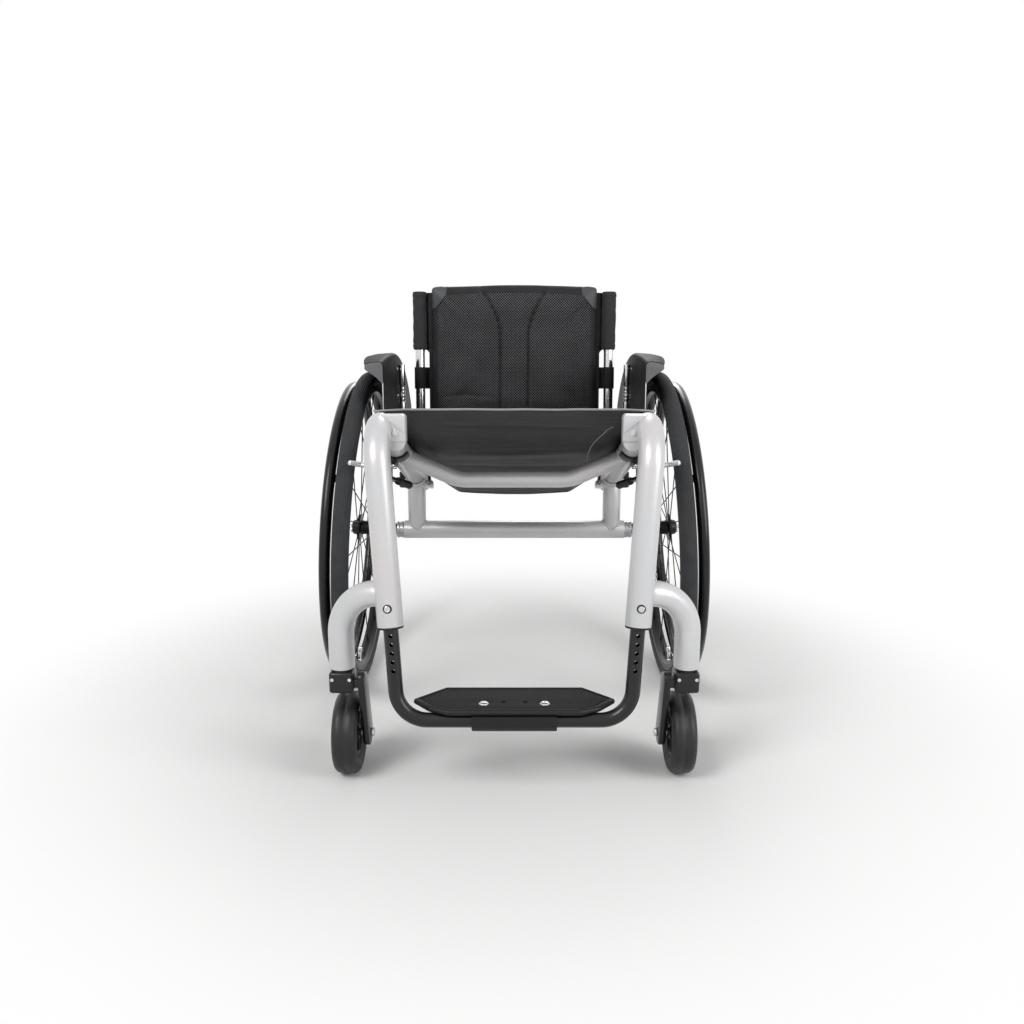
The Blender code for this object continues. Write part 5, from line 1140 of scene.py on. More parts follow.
def grown(source, tree, values):
    """The plain mesh that a tree makes from a source mesh with these input values."""
    obj = helper(source)
    modifier = obj.modifiers.new("tree", "NODES")
    modifier.node_group = tree
    for item in tree.interface.items_tree:
        if item.in_out == "INPUT" and item.name in values:
            modifier[item.identifier] = values[item.name]
    return evaluated_mesh(obj)


def seam_tree():
    """Ball-ended beads laid along seam lines: weld ripples and stitches."""
    tree, given = geometry_tree("beads_along_a_seam", {"Pitch": "Float", "Length": "Float", "Radius": "Float",
                                                       "Finish": "Material"})
    line = add(tree, "GeometryNodeMeshToCurve", {0: given["Geometry"]})
    spots = add(tree, "GeometryNodeResampleCurve", {"Curve": line, "Length": given["Pitch"]}, mode="LENGTH")
    run = add(tree, "GeometryNodeInputTangent")
    turn = add(tree, "FunctionNodeAlignRotationToVector", {"Vector": run}, axis="Z")
    ball = add(tree, "GeometryNodeMeshUVSphere", {"Segments": 8, "Rings": 5, "Radius": 1.0})
    half = add(tree, "ShaderNodeMath", {0: given["Length"], 1: 0.5}, operation="MULTIPLY")
    size = add(tree, "ShaderNodeCombineXYZ", {"X": given["Radius"], "Y": given["Radius"], "Z": half})
    feed = {"Points": spots, "Instance": ball, "Rotation": turn, "Scale": size}
    copies = add(tree, "GeometryNodeInstanceOnPoints", feed)
    return finish_tree(tree, copies, given["Finish"])


def fastener_tree():
    """One fastener set on every point, its Z axis along the point's facing."""
    tree, given = geometry_tree("fasteners_on_points", {"Item": "Object", "Finish": "Material"})
    item = add(tree, "GeometryNodeObjectInfo", {"Object": given["Item"]})
    facing = add(tree, "GeometryNodeInputNamedAttribute", {"Name": "facing"}, data_type="FLOAT_VECTOR")
    turn = add(tree, "FunctionNodeAlignRotationToVector", {"Vector": facing}, axis="Z")
    feed = {"Points": given["Geometry"], "Instance": item.outputs["Geometry"], "Rotation": turn}
    copies = add(tree, "GeometryNodeInstanceOnPoints", feed)
    return finish_tree(tree, copies, given["Finish"])


def ring_tree():
    """The source copied evenly round the Z axis."""
    tree, given = geometry_tree("copies_round_an_axle",
                                {"Copies": "Int", "Start": "Float", "Finish": "Material"})
    spots = add(tree, "GeometryNodePoints", {"Count": given["Copies"]})
    index = add(tree, "GeometryNodeInputIndex")
    step = add(tree, "ShaderNodeMath", {0: 2 * math.pi, 1: given["Copies"]}, operation="DIVIDE")
    angle = add(tree, "ShaderNodeMath", {0: index, 1: step, 2: given["Start"]}, operation="MULTIPLY_ADD")
    turn = add(tree, "ShaderNodeCombineXYZ", {"Z": angle})
    spin = add(tree, "FunctionNodeEulerToRotation", {0: turn})
    feed = {"Points": spots, "Instance": given["Geometry"], "Rotation": spin}
    copies = add(tree, "GeometryNodeInstanceOnPoints", feed)
    return finish_tree(tree, copies, given["Finish"])


def spoke_tree():
    """Wires along the source's edges, each with a nipple at its far end."""
    sizes = {"Gauge": "Float", "Nipple Radius": "Float", "Nipple Length": "Float", "Finish": "Material"}
    tree, given = geometry_tree("laced_spokes", sizes)
    line = add(tree, "GeometryNodeMeshToCurve", {0: given["Geometry"]})
    section = add(tree, "GeometryNodeCurvePrimitiveCircle", {"Resolution": 8, "Radius": given["Gauge"]})
    feed = {"Curve": line, "Profile Curve": section, "Fill Caps": True}
    wires = add(tree, "GeometryNodeCurveToMesh", feed)
    far = add(tree, "GeometryNodeCurveEndpointSelection", {"Start Size": 0, "End Size": 1})
    run = add(tree, "GeometryNodeInputTangent")
    turn = add(tree, "FunctionNodeAlignRotationToVector", {"Vector": run}, axis="Z")
    feed = {"Vertices": 8, "Radius Top": given["Nipple Radius"], "Radius Bottom": given["Gauge"],
            "Depth": given["Nipple Length"]}
    nipple = add(tree, "GeometryNodeMeshCone", feed)
    back = add(tree, "ShaderNodeMath", {0: given["Nipple Length"], 1: -1.0}, operation="MULTIPLY")
    shift = add(tree, "ShaderNodeCombineXYZ", {"Z": back})
    seated = add(tree, "GeometryNodeTransform", {"Geometry": nipple, "Translation": shift})
    feed = {"Points": line, "Selection": far, "Instance": seated, "Rotation": turn}
    nipples = add(tree, "GeometryNodeInstanceOnPoints", feed)
    both = add(tree, "GeometryNodeJoinGeometry", {0: wires})
    wire(tree, both, {0: nipples})
    return finish_tree(tree, both, given["Finish"])


SEAM, FASTENERS, ROUND_AXLE, SPOKE_LACING = seam_tree(), fastener_tree(), ring_tree(), spoke_tree()


def seams(name, lines, body, closed=False, bead=STITCH, finish="dark_thread"):
    """Beads of this pitch, length and radius along several lines of points, as one piece."""
    points, edges = [], []
    for line in lines:
        first = len(points)
        points += [tuple(p) for p in line]
        edges += [(first + k, first + k + 1) for k in range(len(line) - 1)]
        if closed:
            edges.append((len(points) - 1, first))
    mesh = bpy.data.meshes.new(name)
    mesh.from_pydata(points, edges, [])
    values = dict(zip(("Pitch", "Length", "Radius", "Finish"), (*bead, FINISHES[finish])))
    piece(name, grown(mesh, SEAM, values), finish, body, 80)


def fasteners(name, item, spots, body, finish="polished_steel"):
    """One kind of fastener at several (place, facing) spots, as one piece."""
    model = helper(plain_mesh(item, True))
    mesh = bpy.data.meshes.new(name)
    mesh.from_pydata([tuple(place) for place, _ in spots], [], [])
    facing = mesh.attributes.new("facing", "FLOAT_VECTOR", "POINT")
    for k, (_, direction) in enumerate(spots):
        facing.data[k].vector = direction
    made = grown(mesh, FASTENERS, {"Item": model, "Finish": FINISHES[finish]})
    bpy.data.objects.remove(model, do_unlink=True)
    piece(name, made, finish, body)


def round_axle(item, place, copies, start, finish):
    """A shape copied round the place's Z axis, as a plain mesh in the chair's frame."""
    values = {"Copies": copies, "Start": start, "Finish": FINISHES[finish]}
    made = grown(plain_mesh(item, True), ROUND_AXLE, values)
    made.transform(place)
    return made


def cap_screw(radius, height, key, place=Matrix()):
    """Socket screw's head with a chamfer and a hexagonal socket, standing on the frame's XY plane."""
    shape = bmesh.new()
    middle = place @ Matrix.Translation((0, 0, height / 2))
    slab(shape, circle((0, 0), radius, 32), height, middle, height * 0.16, [circle((0, 0), key, 6)])
    lathe(shape, [(0, height * 0.35), (key * 1.05, height * 0.35)], place, 6, closed=False)
    return shape


def meeting(place, radius, target):
    """Closed line where a round bar along the frame's Z axis meets the target's outside."""
    head = place.to_3x3() @ Vector((0, 0, 1))
    spots = [target.ray_cast(origin, head, WELD_SEARCH)[0] for origin in hoop(place, radius, WELD_SPOTS)]
    return [spot for spot in spots if spot]


def garland(shape, line, radius):
    """A round bead along a closed line, its section square to the line."""
    middle = sum(line, Vector()) / len(line)
    rings = []
    for k, point in enumerate(line):
        head = (line[(k + 1) % len(line)] - line[k - 1]).normalized()
        rings.append(hoop(frame_along(point, head, point - middle), radius, 10))
    skin(shape, rings, loop=True)


# Frame
def side_tube(name, side):
    """The bent tube from the footrest socket over the knee to the hinge; gives its outside for the welds."""
    corners = [front_tube_point(FRONT_END_Z), Vector((KNEE_X, KNEE_Y, KNEE_Z)), RAIL_END]
    route = Route(mirrored(rounded(corners, KNEE_RADIUS), side))
    shape = bmesh.new()
    swept(shape, route, tube_stations(route, TUBE_RADIUS, TUBE_WALL, (True, True)), 64)
    outside = BVHTree.FromBMesh(shape)
    surface(f"side_tube_{name}", shape, "pearl_powder_coat", "frame")
    return outside


def caster_arm(name, side, tube_outside):
    corner = Vector((CASTER_X, STEER_Y, ARM_Z - ARM_FALL))
    root = front_tube_point(ARM_Z) + Vector((0, ARM_SET_BACK, 0))
    start = root + (corner - root).normalized() * TUBE_RADIUS / 2
    corners = [start, corner, Vector((CASTER_X, STEER_Y, ARM_END_Z))]
    bend = (corner - start).length * ARM_ROUND
    route = Route(mirrored(rounded(corners, bend), side))
    shape = bmesh.new()
    swept(shape, route, tube_stations(route, TUBE_RADIUS), 64)
    toward = on(side, *(root - corner))
    line = meeting(frame_along(on(side, *corner), toward), TUBE_RADIUS, tube_outside)
    garland(shape, line, WELD_RADIUS * 0.75)
    surface(f"caster_arm_{name}", shape, "pearl_powder_coat", "frame", 60)


def knee_gusset(name, side):
    """Plate in the knee with its boss and screw."""
    width, height, r, ease = KNEE_X - GUSSET_INNER_X, GUSSET_HEIGHT, GUSSET_CORNER, 0.0009
    outline = [(0, 0), (width, 0), (width, height), *arc((r, height - r), r, 90, 180, 9)]
    shape = bmesh.new()
    middle = facing_plane(side, GUSSET_INNER_X, GUSSET_Y, GUSSET_BOTTOM_Z)
    slab(shape, outline, GUSSET_THICK, middle, 2 * ease)
    face = GUSSET_Y - GUSSET_THICK / 2
    front = on(side, GUSSET_BOSS_X, face + 0.003, GUSSET_BOSS_Z)
    rod(shape, front, front + Vector((0, GUSSET_BOSS_LENGTH, 0)), GUSSET_BOSS_RADIUS, 40, 0.0012)
    slope = [(ease, height * 0.30), (width * 0.30, height * 0.52), (width * 0.86, height - ease)]
    fold = [*slope, *arc((r, height - r), r - ease, 90, 180, 7)]
    slab(shape, fold, 0.003, facing_plane(side, GUSSET_INNER_X, face, GUSSET_BOTTOM_Z), ease)
    surface(f"knee_gusset_{name}", shape, "pearl_powder_coat", "frame")
    spot = on(side, GUSSET_BOSS_X + 0.001, face, GUSSET_BOSS_Z + 0.015)
    return spot, Vector((0, -1, 0))


def crossbar(tubes):
    end_x = rail_point(CROSSBAR_Y).x
    rise = (end_x - CROSSBAR_FLAT) * math.tan(CROSSBAR_SLOPE)
    half = [Vector((end_x, CROSSBAR_Y, CROSSBAR_Z + rise)), Vector((CROSSBAR_FLAT, CROSSBAR_Y, CROSSBAR_Z))]
    route = Route(rounded([*half, *mirrored(half[::-1], -1)], CROSSBAR_BEND))
    shape = bmesh.new()
    swept(shape, route, tube_stations(route, CROSSBAR_RADIUS), 56)
    surface("crossbar", shape, "pearl_powder_coat", "frame")
    lines = []
    for name, side in SIDES:
        inner, outer = on(side, *half[1]), on(side, *half[0])
        lines.append(meeting(frame_along(inner, outer - inner), CROSSBAR_RADIUS, tubes[name]))
    return lines


def axle_tube():
    ends = [Vector((-AXLE_TUBE_END_X, 0, AXLE_TUBE_Z)), Vector((AXLE_TUBE_END_X, 0, AXLE_TUBE_Z))]
    route = Route(ends)
    shape = bmesh.new()
    swept(shape, route, tube_stations(route, AXLE_TUBE_RADIUS, AXLE_TUBE_WALL, (True, True)), 60)
    outside = BVHTree.FromBMesh(shape)
    surface("axle_tube", shape, "pearl_powder_coat", "frame")
    return outside


def axle_sleeve(name, side):
    """Turned receiver in the axle tube's end, grooved, with a chamfered nose round the pin."""
    r, inner, bore = SLEEVE_RADIUS, AXLE_TUBE_END_X + GAP, PIN_RADIUS + RUN_GAP
    reach, plug = SLEEVE_END_X - inner, AXLE_TUBE_RADIUS - AXLE_TUBE_WALL - GAP
    groove, nose = r - 0.0012, 0.0018
    profile = [
        (0, -0.020), (plug, -0.020), (plug, 0), (r, 0), (r, reach * 0.34), (groove, reach * 0.4),
        (groove, reach * 0.55), (r, reach * 0.61), (r, reach - nose), (r - nose, reach), (bore, reach),
        (bore, reach - 0.008), (0, reach - 0.008),
    ]
    shape = bmesh.new()
    lathe(shape, profile, frame_along(on(side, inner, 0, AXLE_TUBE_Z), (side, 0, 0)), 64, closed=False,
          ease=0.0003)
    surface(f"axle_sleeve_{name}", shape, "turned_aluminium", "frame")


def saddle_outline(radius, thickness):
    """Half ring under a rail, from split line to split line: (across, up)."""
    outer = radius + thickness
    cut_out, cut_in = [math.degrees(math.asin(SLEEVE_SPLIT / r)) for r in (outer, radius)]
    outside = arc((0, 0), outer, 180 + cut_out, 360 - cut_out, 32)
    return [*outside, *arc((0, 0), radius, 360 - cut_in, 180 + cut_in, 32)]


def along_rail(side, y):
    """Frame at a rail station whose XY plane is square to the rail, its Y up and its Z rearwards."""
    return frame_of(on(side, *rail_point(y)), (-1, 0, 0), RAIL_UP, DOWN_RAIL)


def rail_saddle(name, side):
    """Half sleeve under the rail at the axle, with the lug that clamps the strut."""
    shape = bmesh.new()
    slab(shape, saddle_outline(TUBE_RADIUS + GAP, SADDLE_WALL - GAP), SADDLE_LENGTH, along_rail(side, 0),
         0.0008)
    inner = TUBE_RADIUS + LUG_REACH
    size = (inner, LUG_LENGTH, LUG_THICK)
    box(shape, (-side * inner / 2, 0, -LUG_DROP), size, rail_frame(side, 0), 0.0026, 4)
    surface(f"rail_saddle_{name}", shape, "pearl_powder_coat", "frame")
    face = rail_frame(side, 0) @ Vector((-side * (inner - 0.007), -LUG_LENGTH / 2, -LUG_DROP))
    return face, -DOWN_RAIL


def strut(name, side, axle_outside):
    top = rail_point(0) - Vector((0, 0, SLEEVE_SPLIT + 0.001))
    shape = bmesh.new()
    foot = on(side, RAIL_AXLE_X, 0, AXLE_TUBE_Z)
    rod(shape, foot, on(side, *top), STRUT_RADIUS, 56)
    surface(f"strut_{name}", shape, "pearl_powder_coat", "frame")
    high = foot + Vector((0, 0, 0.06))
    lower = meeting(frame_along(high, (0, 0, -1)), STRUT_RADIUS, axle_outside)
    sleeve = bmesh.new()
    half = on(side, *RAIL_REARWARD) * SADDLE_LENGTH
    centre = on(side, *rail_point(0))
    rod(sleeve, centre - half, centre + half, TUBE_RADIUS + SADDLE_WALL, 64)
    upper = meeting(frame_along(high, (0, 0, 1)), STRUT_RADIUS, BVHTree.FromBMesh(sleeve))
    sleeve.free()
    return [lower, upper]


def frame_pieces():
    tubes, lines, screws, bolts = {}, [], [], []
    for name, side in SIDES:
        tubes[name] = side_tube(name, side)
        caster_arm(name, side, tubes[name])
        screws.append(knee_gusset(name, side))
        bolts.append(rail_saddle(name, side))
        axle_sleeve(name, side)
        forward = Vector((0, -math.cos(FRONT_LEAN), math.sin(FRONT_LEAN)))
        screws.append((on(side, *front_tube_point(FRAME_SCREW_Z)) + forward * TUBE_RADIUS * 0.98, forward))
    lines += crossbar(tubes)
    outside = axle_tube()
    for name, side in SIDES:
        lines += strut(name, side, outside)
    fasteners("frame_screws", cap_screw(*FRAME_SCREW), screws, "frame")
    # Black nylon rings under the front-tube screws stand in for the shadow round their heads
    bore, outer, low, high = SHADOW_RING
    shadow_ring = bmesh.new()
    lathe(shadow_ring, [(bore, low), (outer, low), (outer, high), (bore, high)], Matrix(), 40, ease=0.0002)
    fasteners("screw_washers", shadow_ring, screws[1::2], "frame", "moulded_nylon")
    fasteners("saddle_bolts", cap_screw(*SADDLE_BOLT), bolts, "frame")
    seams("frame_welds", lines, "frame", True, WELD_BEAD, "pearl_powder_coat")


# Rear wheels
def tyre(name, side):
    """Round casing with fine grooves round its tread, open where it sits on the rim."""
    seat = RIM_OUTER_RADIUS + 2 * GAP
    drop = math.degrees(math.acos((TYRE_MID_RADIUS - seat) / TYRE_SECTION_RADIUS))
    profile = []
    for r, h in arc((0, 0), 1.0, drop - 180, 180 - drop, 181):
        turn = math.degrees(math.atan2(h, r))
        swell = TYRE_SECTION_RADIUS
        if abs(turn) < 70:
            swell -= TYRE_RIB_DEPTH * (0.5 - 0.5 * math.cos(math.radians(turn * TYRE_RIBS * 6)))
        elif 118 < abs(turn) < 124:
            swell -= 0.0004
        profile.append((TYRE_MID_RADIUS + swell * r, swell * h))
    shape = bmesh.new()
    lathe(shape, profile, wheel_frame(side), 160)
    surface(f"tyre_{name}", shape, "tyre_rubber", f"wheel_{name}", 60)


def rim(name, side):
    """Box-section rim with a valve stem through it at the bottom."""
    half, root = RIM_WIDTH / 2, RIM_INNER_RADIUS + 0.004
    profile = [
        (RIM_INNER_RADIUS, -half * 0.45), (root, -half), (RIM_OUTER_RADIUS - 0.004, -half),
        (RIM_OUTER_RADIUS - 0.0035, -half + 0.0006), (RIM_OUTER_RADIUS, -half), (RIM_OUTER_RADIUS, half),
        (RIM_OUTER_RADIUS - 0.0035, half - 0.0006), (RIM_OUTER_RADIUS - 0.004, half), (root, half),
        (RIM_INNER_RADIUS, half * 0.45),
    ]
    place = wheel_frame(side)
    shape = bmesh.new()
    lathe(shape, profile, place, 160, ease=0.0008)
    surface(f"rim_{name}", shape, "black_anodised_aluminium", f"wheel_{name}")
    down = place.to_3x3().inverted() @ Vector((0, -VALVE_LEAN, -1))
    down = Vector((down.x, down.y, 0)).normalized()
    foot, nut = down * RIM_INNER_RADIUS, down * VALVE_NUT_HEIGHT
    tip = foot - down * VALVE_LENGTH
    stem = bmesh.new()
    rod(stem, place @ (foot + nut), place @ tip, VALVE_RADIUS, 24)
    rod(stem, place @ foot, place @ (foot - nut), VALVE_NUT_RADIUS, 24)
    rod(stem, place @ tip, place @ (tip + down * VALVE_CAP_LENGTH), VALVE_CAP_RADIUS, 24, 0.001)
    piece(f"valve_stem_{name}", stem, "polished_steel", f"wheel_{name}")


def flange_profile(at, radius):
    half, foot = HUB_FLANGE_THICK / 2, HUB_FLANGE_THICK / 2 + 0.0015
    return [(HUB_BODY_RADIUS, at - foot), (radius, at - half), (radius, at + half),
            (HUB_BODY_RADIUS, at + foot)]


def hub(name, side):
    """Turned hub with two flanges."""
    place, bore = wheel_frame(side), PIN_RADIUS + RUN_GAP
    neck, waist = HUB_INNER_FLANGE_AT - HUB_FLANGE_THICK / 2 - 0.003, HUB_BODY_RADIUS - 0.002
    profile = [
        (bore, HUB_INNER_END), (HUB_BOSS_RADIUS, HUB_INNER_END), (HUB_BOSS_RADIUS, neck - 0.0015),
        (HUB_BODY_RADIUS, neck), *flange_profile(HUB_INNER_FLANGE_AT, HUB_INNER_FLANGE), (waist, -0.017),
        (waist, 0.004), *flange_profile(HUB_OUTER_FLANGE_AT, HUB_OUTER_FLANGE),
        (HUB_BOSS_RADIUS + 0.0015, HUB_OUTER_END), (bore, HUB_OUTER_END),
    ]
    shape = bmesh.new()
    lathe(shape, profile, place, 96, ease=0.0006)
    surface(f"hub_and_spokes_{name}", shape, "black_anodised_aluminium", f"wheel_{name}")


def spokes(name, side):
    """Wire spokes from the hub's flanges to the rim, by turns from the inner and the outer one."""
    flanges = ((HUB_INNER_FLANGE - SPOKE_INSET, HUB_INNER_FLANGE_AT),
               (HUB_OUTER_FLANGE - SPOKE_INSET, HUB_OUTER_FLANGE_AT))
    points, aside = [], SPOKE_RADIUS * 1.5
    for index in range(SPOKES):
        outer, turn, angle = index % 2, 1 if (index // 2) % 2 else -1, 2 * math.pi * index / SPOKES
        flange, height = flanges[outer]
        swing = angle - turn * SPOKE_SWING
        points.append((flange * math.cos(swing), flange * math.sin(swing), height + turn * aside))
        rim_side = aside if outer else -aside
        points.append((RIM_INNER_RADIUS * math.cos(angle), RIM_INNER_RADIUS * math.sin(angle), rim_side))
    wires = bpy.data.meshes.new("spokes")
    wires.from_pydata(points, [(2 * k, 2 * k + 1) for k in range(SPOKES)], [])
    values = {"Gauge": SPOKE_RADIUS, "Nipple Radius": NIPPLE_RADIUS, "Nipple Length": NIPPLE_LENGTH}
    made = grown(wires, SPOKE_LACING, {**values, "Finish": FINISHES["black_spoke_steel"]})
    made.transform(wheel_frame(side))
    piece(f"spokes_{name}", made, "black_spoke_steel", f"wheel_{name}", 60)


def handrim(name, side):
    """Hoop for the hands, carried off the rim by bent and screwed tabs."""
    place, half = wheel_frame(side), RIM_WIDTH / 2 + GAP
    shape = bmesh.new()
    lathe(shape, circle((HANDRIM_RADIUS, HANDRIM_OFFSET), HANDRIM_TUBE_RADIUS, 32), place, 160)
    surface(f"handrim_{name}", shape, "handrim_anodising", f"wheel_{name}")
    inner, top = RIM_INNER_RADIUS + 0.0015, HANDRIM_OFFSET - HANDRIM_TUBE_RADIUS * 0.75
    outer = inner + TAB_FOOT
    outline = [
        (outer, half), (outer, top), (outer - TAB_THICK, top), (outer - TAB_THICK, half + TAB_THICK),
        (inner, half + TAB_THICK), (inner, half),
    ]
    section = frame_of((0, 0, 0), (1, 0, 0), (0, 0, 1), (0, -1, 0))
    tab = bmesh.new()
    slab(tab, eased(outline, 0.0022), TAB_WIDTH, section)
    start = math.pi / HANDRIM_TABS
    made = round_axle(tab, place, HANDRIM_TABS, start, "black_anodised_aluminium")
    piece(f"handrim_tabs_{name}", made, "black_anodised_aluminium", f"wheel_{name}")
    seat = Matrix.Translation((inner + TAB_FOOT * 0.36, 0, half + TAB_THICK * 0.9))
    screw = cap_screw(*HANDRIM_SCREW, seat)
    made = round_axle(screw, place, HANDRIM_TABS, start, "polished_steel")
    piece(f"handrim_screws_{name}", made, "polished_steel", f"wheel_{name}")


def axle_pin(name, side):
    """Quick-release pin with a knurled head, open in its middle for the button."""
    place, seat = wheel_frame(side), HUB_OUTER_END + RUN_GAP
    shape = bmesh.new()
    rod(shape, place @ Vector((0, 0, -PIN_DEPTH)), place @ Vector((0, 0, seat + 0.001)), PIN_RADIUS, 48,
        0.0012)
    knurl = []
    for k in range(KNURLS * 2):
        r, a = PIN_HEAD_RADIUS - KNURL_DEPTH * (k % 2), math.pi * k / KNURLS
        knurl.append((r * math.cos(a), r * math.sin(a)))
    middle = place @ Matrix.Translation((0, 0, seat + PIN_HEAD_LENGTH / 2))
    slab(shape, knurl, PIN_HEAD_LENGTH, middle, 0.0007, [circle((0, 0), BUTTON_RADIUS + GAP, 40)])
    surface(f"axle_pin_{name}", shape, "polished_steel", f"axle_pin_{name}")


def axle_button(name, side):
    """Grooved and dished push button in the middle of the pin's head."""
    foot, r = HUB_OUTER_END + RUN_GAP + PIN_HEAD_LENGTH, BUTTON_RADIUS
    top, groove = foot + BUTTON_REACH, r - 0.0005
    profile = [
        (0, foot - 0.004), (r, foot - 0.004), (r, top - 0.0035), (groove, top - 0.0031),
        (groove, top - 0.0027), (r, top - 0.0023), (r, top - 0.0010), (r - 0.0010, top),
        (r * 0.45, top - 0.0006), (0, top - 0.0008),
    ]
    shape = bmesh.new()
    lathe(shape, profile, wheel_frame(side), 48, closed=False, ease=0.0003)
    surface(f"axle_button_{name}", shape, "polished_steel", f"axle_button_{name}")


# Casters
def caster_fork(name, side):
    """Cast head with the steering bearing in it, and one leg inside the wheel."""
    head_top = ARM_END_Z - GAP - SEAL_THICK
    leg_outer = CASTER_X - CASTER_WIDTH / 2 - LEG_GAP
    leg_inner = leg_outer - LEG_THICK
    shape = bmesh.new()
    centre = (side * CASTER_X, STEER_Y, head_top - HEAD_HEIGHT / 2)
    box(shape, centre, (HEAD_WIDTH, HEAD_WIDTH, HEAD_HEIGHT), None, HEAD_EASE, 6)
    top = (STEER_Y, head_top - LEG_TOP_DROP)
    shoulder = (STEER_Y + HEAD_WIDTH * 0.62, top[1] + LEG_TOP_RADIUS / 4)
    rear = arc((CASTER_AXLE_Y, CASTER_RADIUS), LEG_END_RADIUS, 30, -160, 28)
    outline = [*arc(top, LEG_TOP_RADIUS, 190, 70, 12), shoulder, *rear]
    slab(shape, outline, LEG_THICK, upright_plane(side * (leg_inner + leg_outer) / 2), 0.0022)
    inner = leg_inner + LEG_THICK / 4
    size = (CASTER_X - inner, BRIDGE_DEPTH, BRIDGE_HEIGHT)
    box(shape, (side * (inner + CASTER_X) / 2, STEER_Y, head_top - BRIDGE_DROP), size, None, 0.0032, 5)
    surface(f"caster_fork_{name}", shape, "black_powder_coat", f"fork_{name}")
    seal = bmesh.new()
    foot = on(side, CASTER_X, STEER_Y, head_top)
    up = Vector((0, 0, SEAL_THICK))
    rod(seal, foot - up, foot + up * 0.42, SEAL_RADIUS, 48, 0.0004)
    rod(seal, foot + up * 0.42, foot + up * 0.58, SEAL_RADIUS - 0.001, 48, 0.0001)
    rod(seal, foot + up * 0.58, foot + up, SEAL_RADIUS, 48, 0.0004)
    piece(f"steering_seal_{name}", seal, "moulded_nylon", f"fork_{name}")
    face, level = STEER_Y - HEAD_WIDTH / 2, head_top - HEAD_HEIGHT * 0.33
    spots = [(on(side, CASTER_X + dx, face + 0.0002, level), Vector((0, -1, 0))) for dx in (-0.0128, 0.0128)]
    fasteners(f"fork_screws_{name}", cap_screw(*FORK_SCREW), spots, f"fork_{name}")


def caster_bolt(name, side):
    """Axle bolt with its head on the leg, a spacer, and the nut let into the far face."""
    leg_inner = CASTER_X - CASTER_WIDTH / 2 - LEG_GAP - LEG_THICK
    middle = on(side, 0, CASTER_AXLE_Y, CASTER_RADIUS)
    across = Vector((side, 0, 0))

    def at(x):
        return middle + across * x

    end = CASTER_X + CASTER_CORE_WIDTH / 2
    tip = end + BOLT_END_LENGTH
    shape = bmesh.new()
    join(shape, cap_screw(*AXLE_BOLT, frame_along(at(leg_inner - GAP), -across)))
    rod(shape, at(leg_inner), at(tip - 0.0006), BOLT_SHANK_RADIUS, 36)
    spacer = CASTER_X - CASTER_CORE_WIDTH / 2 - RUN_GAP
    rod(shape, at(leg_inner + LEG_THICK + GAP), at(spacer), BOLT_HEAD_RADIUS, 40)
    nut = frame_along(at((end + tip + RUN_GAP) / 2), across)
    slab(shape, circle((0, 0), BOLT_HEAD_RADIUS, 6), tip - end - RUN_GAP, nut)
    surface(f"caster_bolt_{name}", shape, "polished_steel", f"fork_{name}")


def caster_frame(side):
    """Frame at a caster's middle, its Z outwards along its axle."""
    return frame_along(on(side, CASTER_X, CASTER_AXLE_Y, CASTER_RADIUS), (side, 0, 0))


def both_ways(upper):
    """A lathe profile from its upper half: (radius, height)."""
    return [*upper, *[(r, -h) for r, h in upper[::-1]]]


def caster_wheel(name, side):
    """Moulded core with ribs in its recess."""
    half, bore = CASTER_CORE_WIDTH / 2, BOLT_SHANK_RADIUS + RUN_GAP
    web, boss, band = CASTER_WEB / 2, CASTER_BOSS_RADIUS, CASTER_CORE_RADIUS - CASTER_RIM_WALL
    recess = [(band, half), (band - 0.003, web), (boss + 0.003, web), (boss, half)]
    upper = [(CASTER_CORE_RADIUS, half), *recess, (bore, half)]
    place = caster_frame(side)
    shape = bmesh.new()
    lathe(shape, both_ways(upper), place, 96, ease=0.0008)
    rib = bmesh.new()
    top = half - RIB_INSET
    size = (band - boss - RIB_INSET, RIB_THICK, top - web + 0.001)
    for face in (1, -1):
        box(rib, ((band + boss) / 2, 0, face * (web + top) / 2), size, None, 0.0006)
    join(shape, round_axle(rib, place, CASTER_RIBS, 0.3, "moulded_nylon"))
    surface(f"caster_hub_{name}", shape, "moulded_nylon", f"caster_{name}")


def caster_tread(name, side):
    """Broad soft tread with a mould line round the middle."""
    half, inner, shoulder = CASTER_CORE_WIDTH / 2, CASTER_CORE_RADIUS + 2 * GAP, CASTER_SHOULDER
    wall = [(inner, half), (inner + 0.004, half + 0.0012)]
    line = [(CASTER_RADIUS - 0.0001, 0.0011), (CASTER_RADIUS - 0.0006, 0.0005)]
    curve = arc((CASTER_RADIUS - shoulder, CASTER_WIDTH / 2 - shoulder), shoulder, 96, 8, 15)
    shape = bmesh.new()
    lathe(shape, both_ways([*wall, *curve, *line]), caster_frame(side), 128)
    surface(f"caster_tyre_{name}", shape, "caster_urethane", f"caster_{name}", 50)


# Footrest
def tube_bush(name, side):
    """Plastic bush in the front tube's lower end, with a lip under it."""
    bore, lip = FOOT_TUBE_RADIUS + 2 * GAP, TUBE_RADIUS - BUSH_LIP_INSET
    plug = TUBE_RADIUS - TUBE_WALL - 2 * GAP
    profile = [(bore, -0.02), (plug, -0.02), (plug, GAP), (lip, GAP), (lip, BUSH_LIP), (bore, BUSH_LIP)]
    place = frame_along(on(side, *front_tube_point(FRONT_END_Z)), on(side, *FRONT_DOWN))
    shape = bmesh.new()
    lathe(shape, profile, place, 64, ease=0.0008)
    surface(f"tube_bush_{name}", shape, "moulded_nylon", "frame")


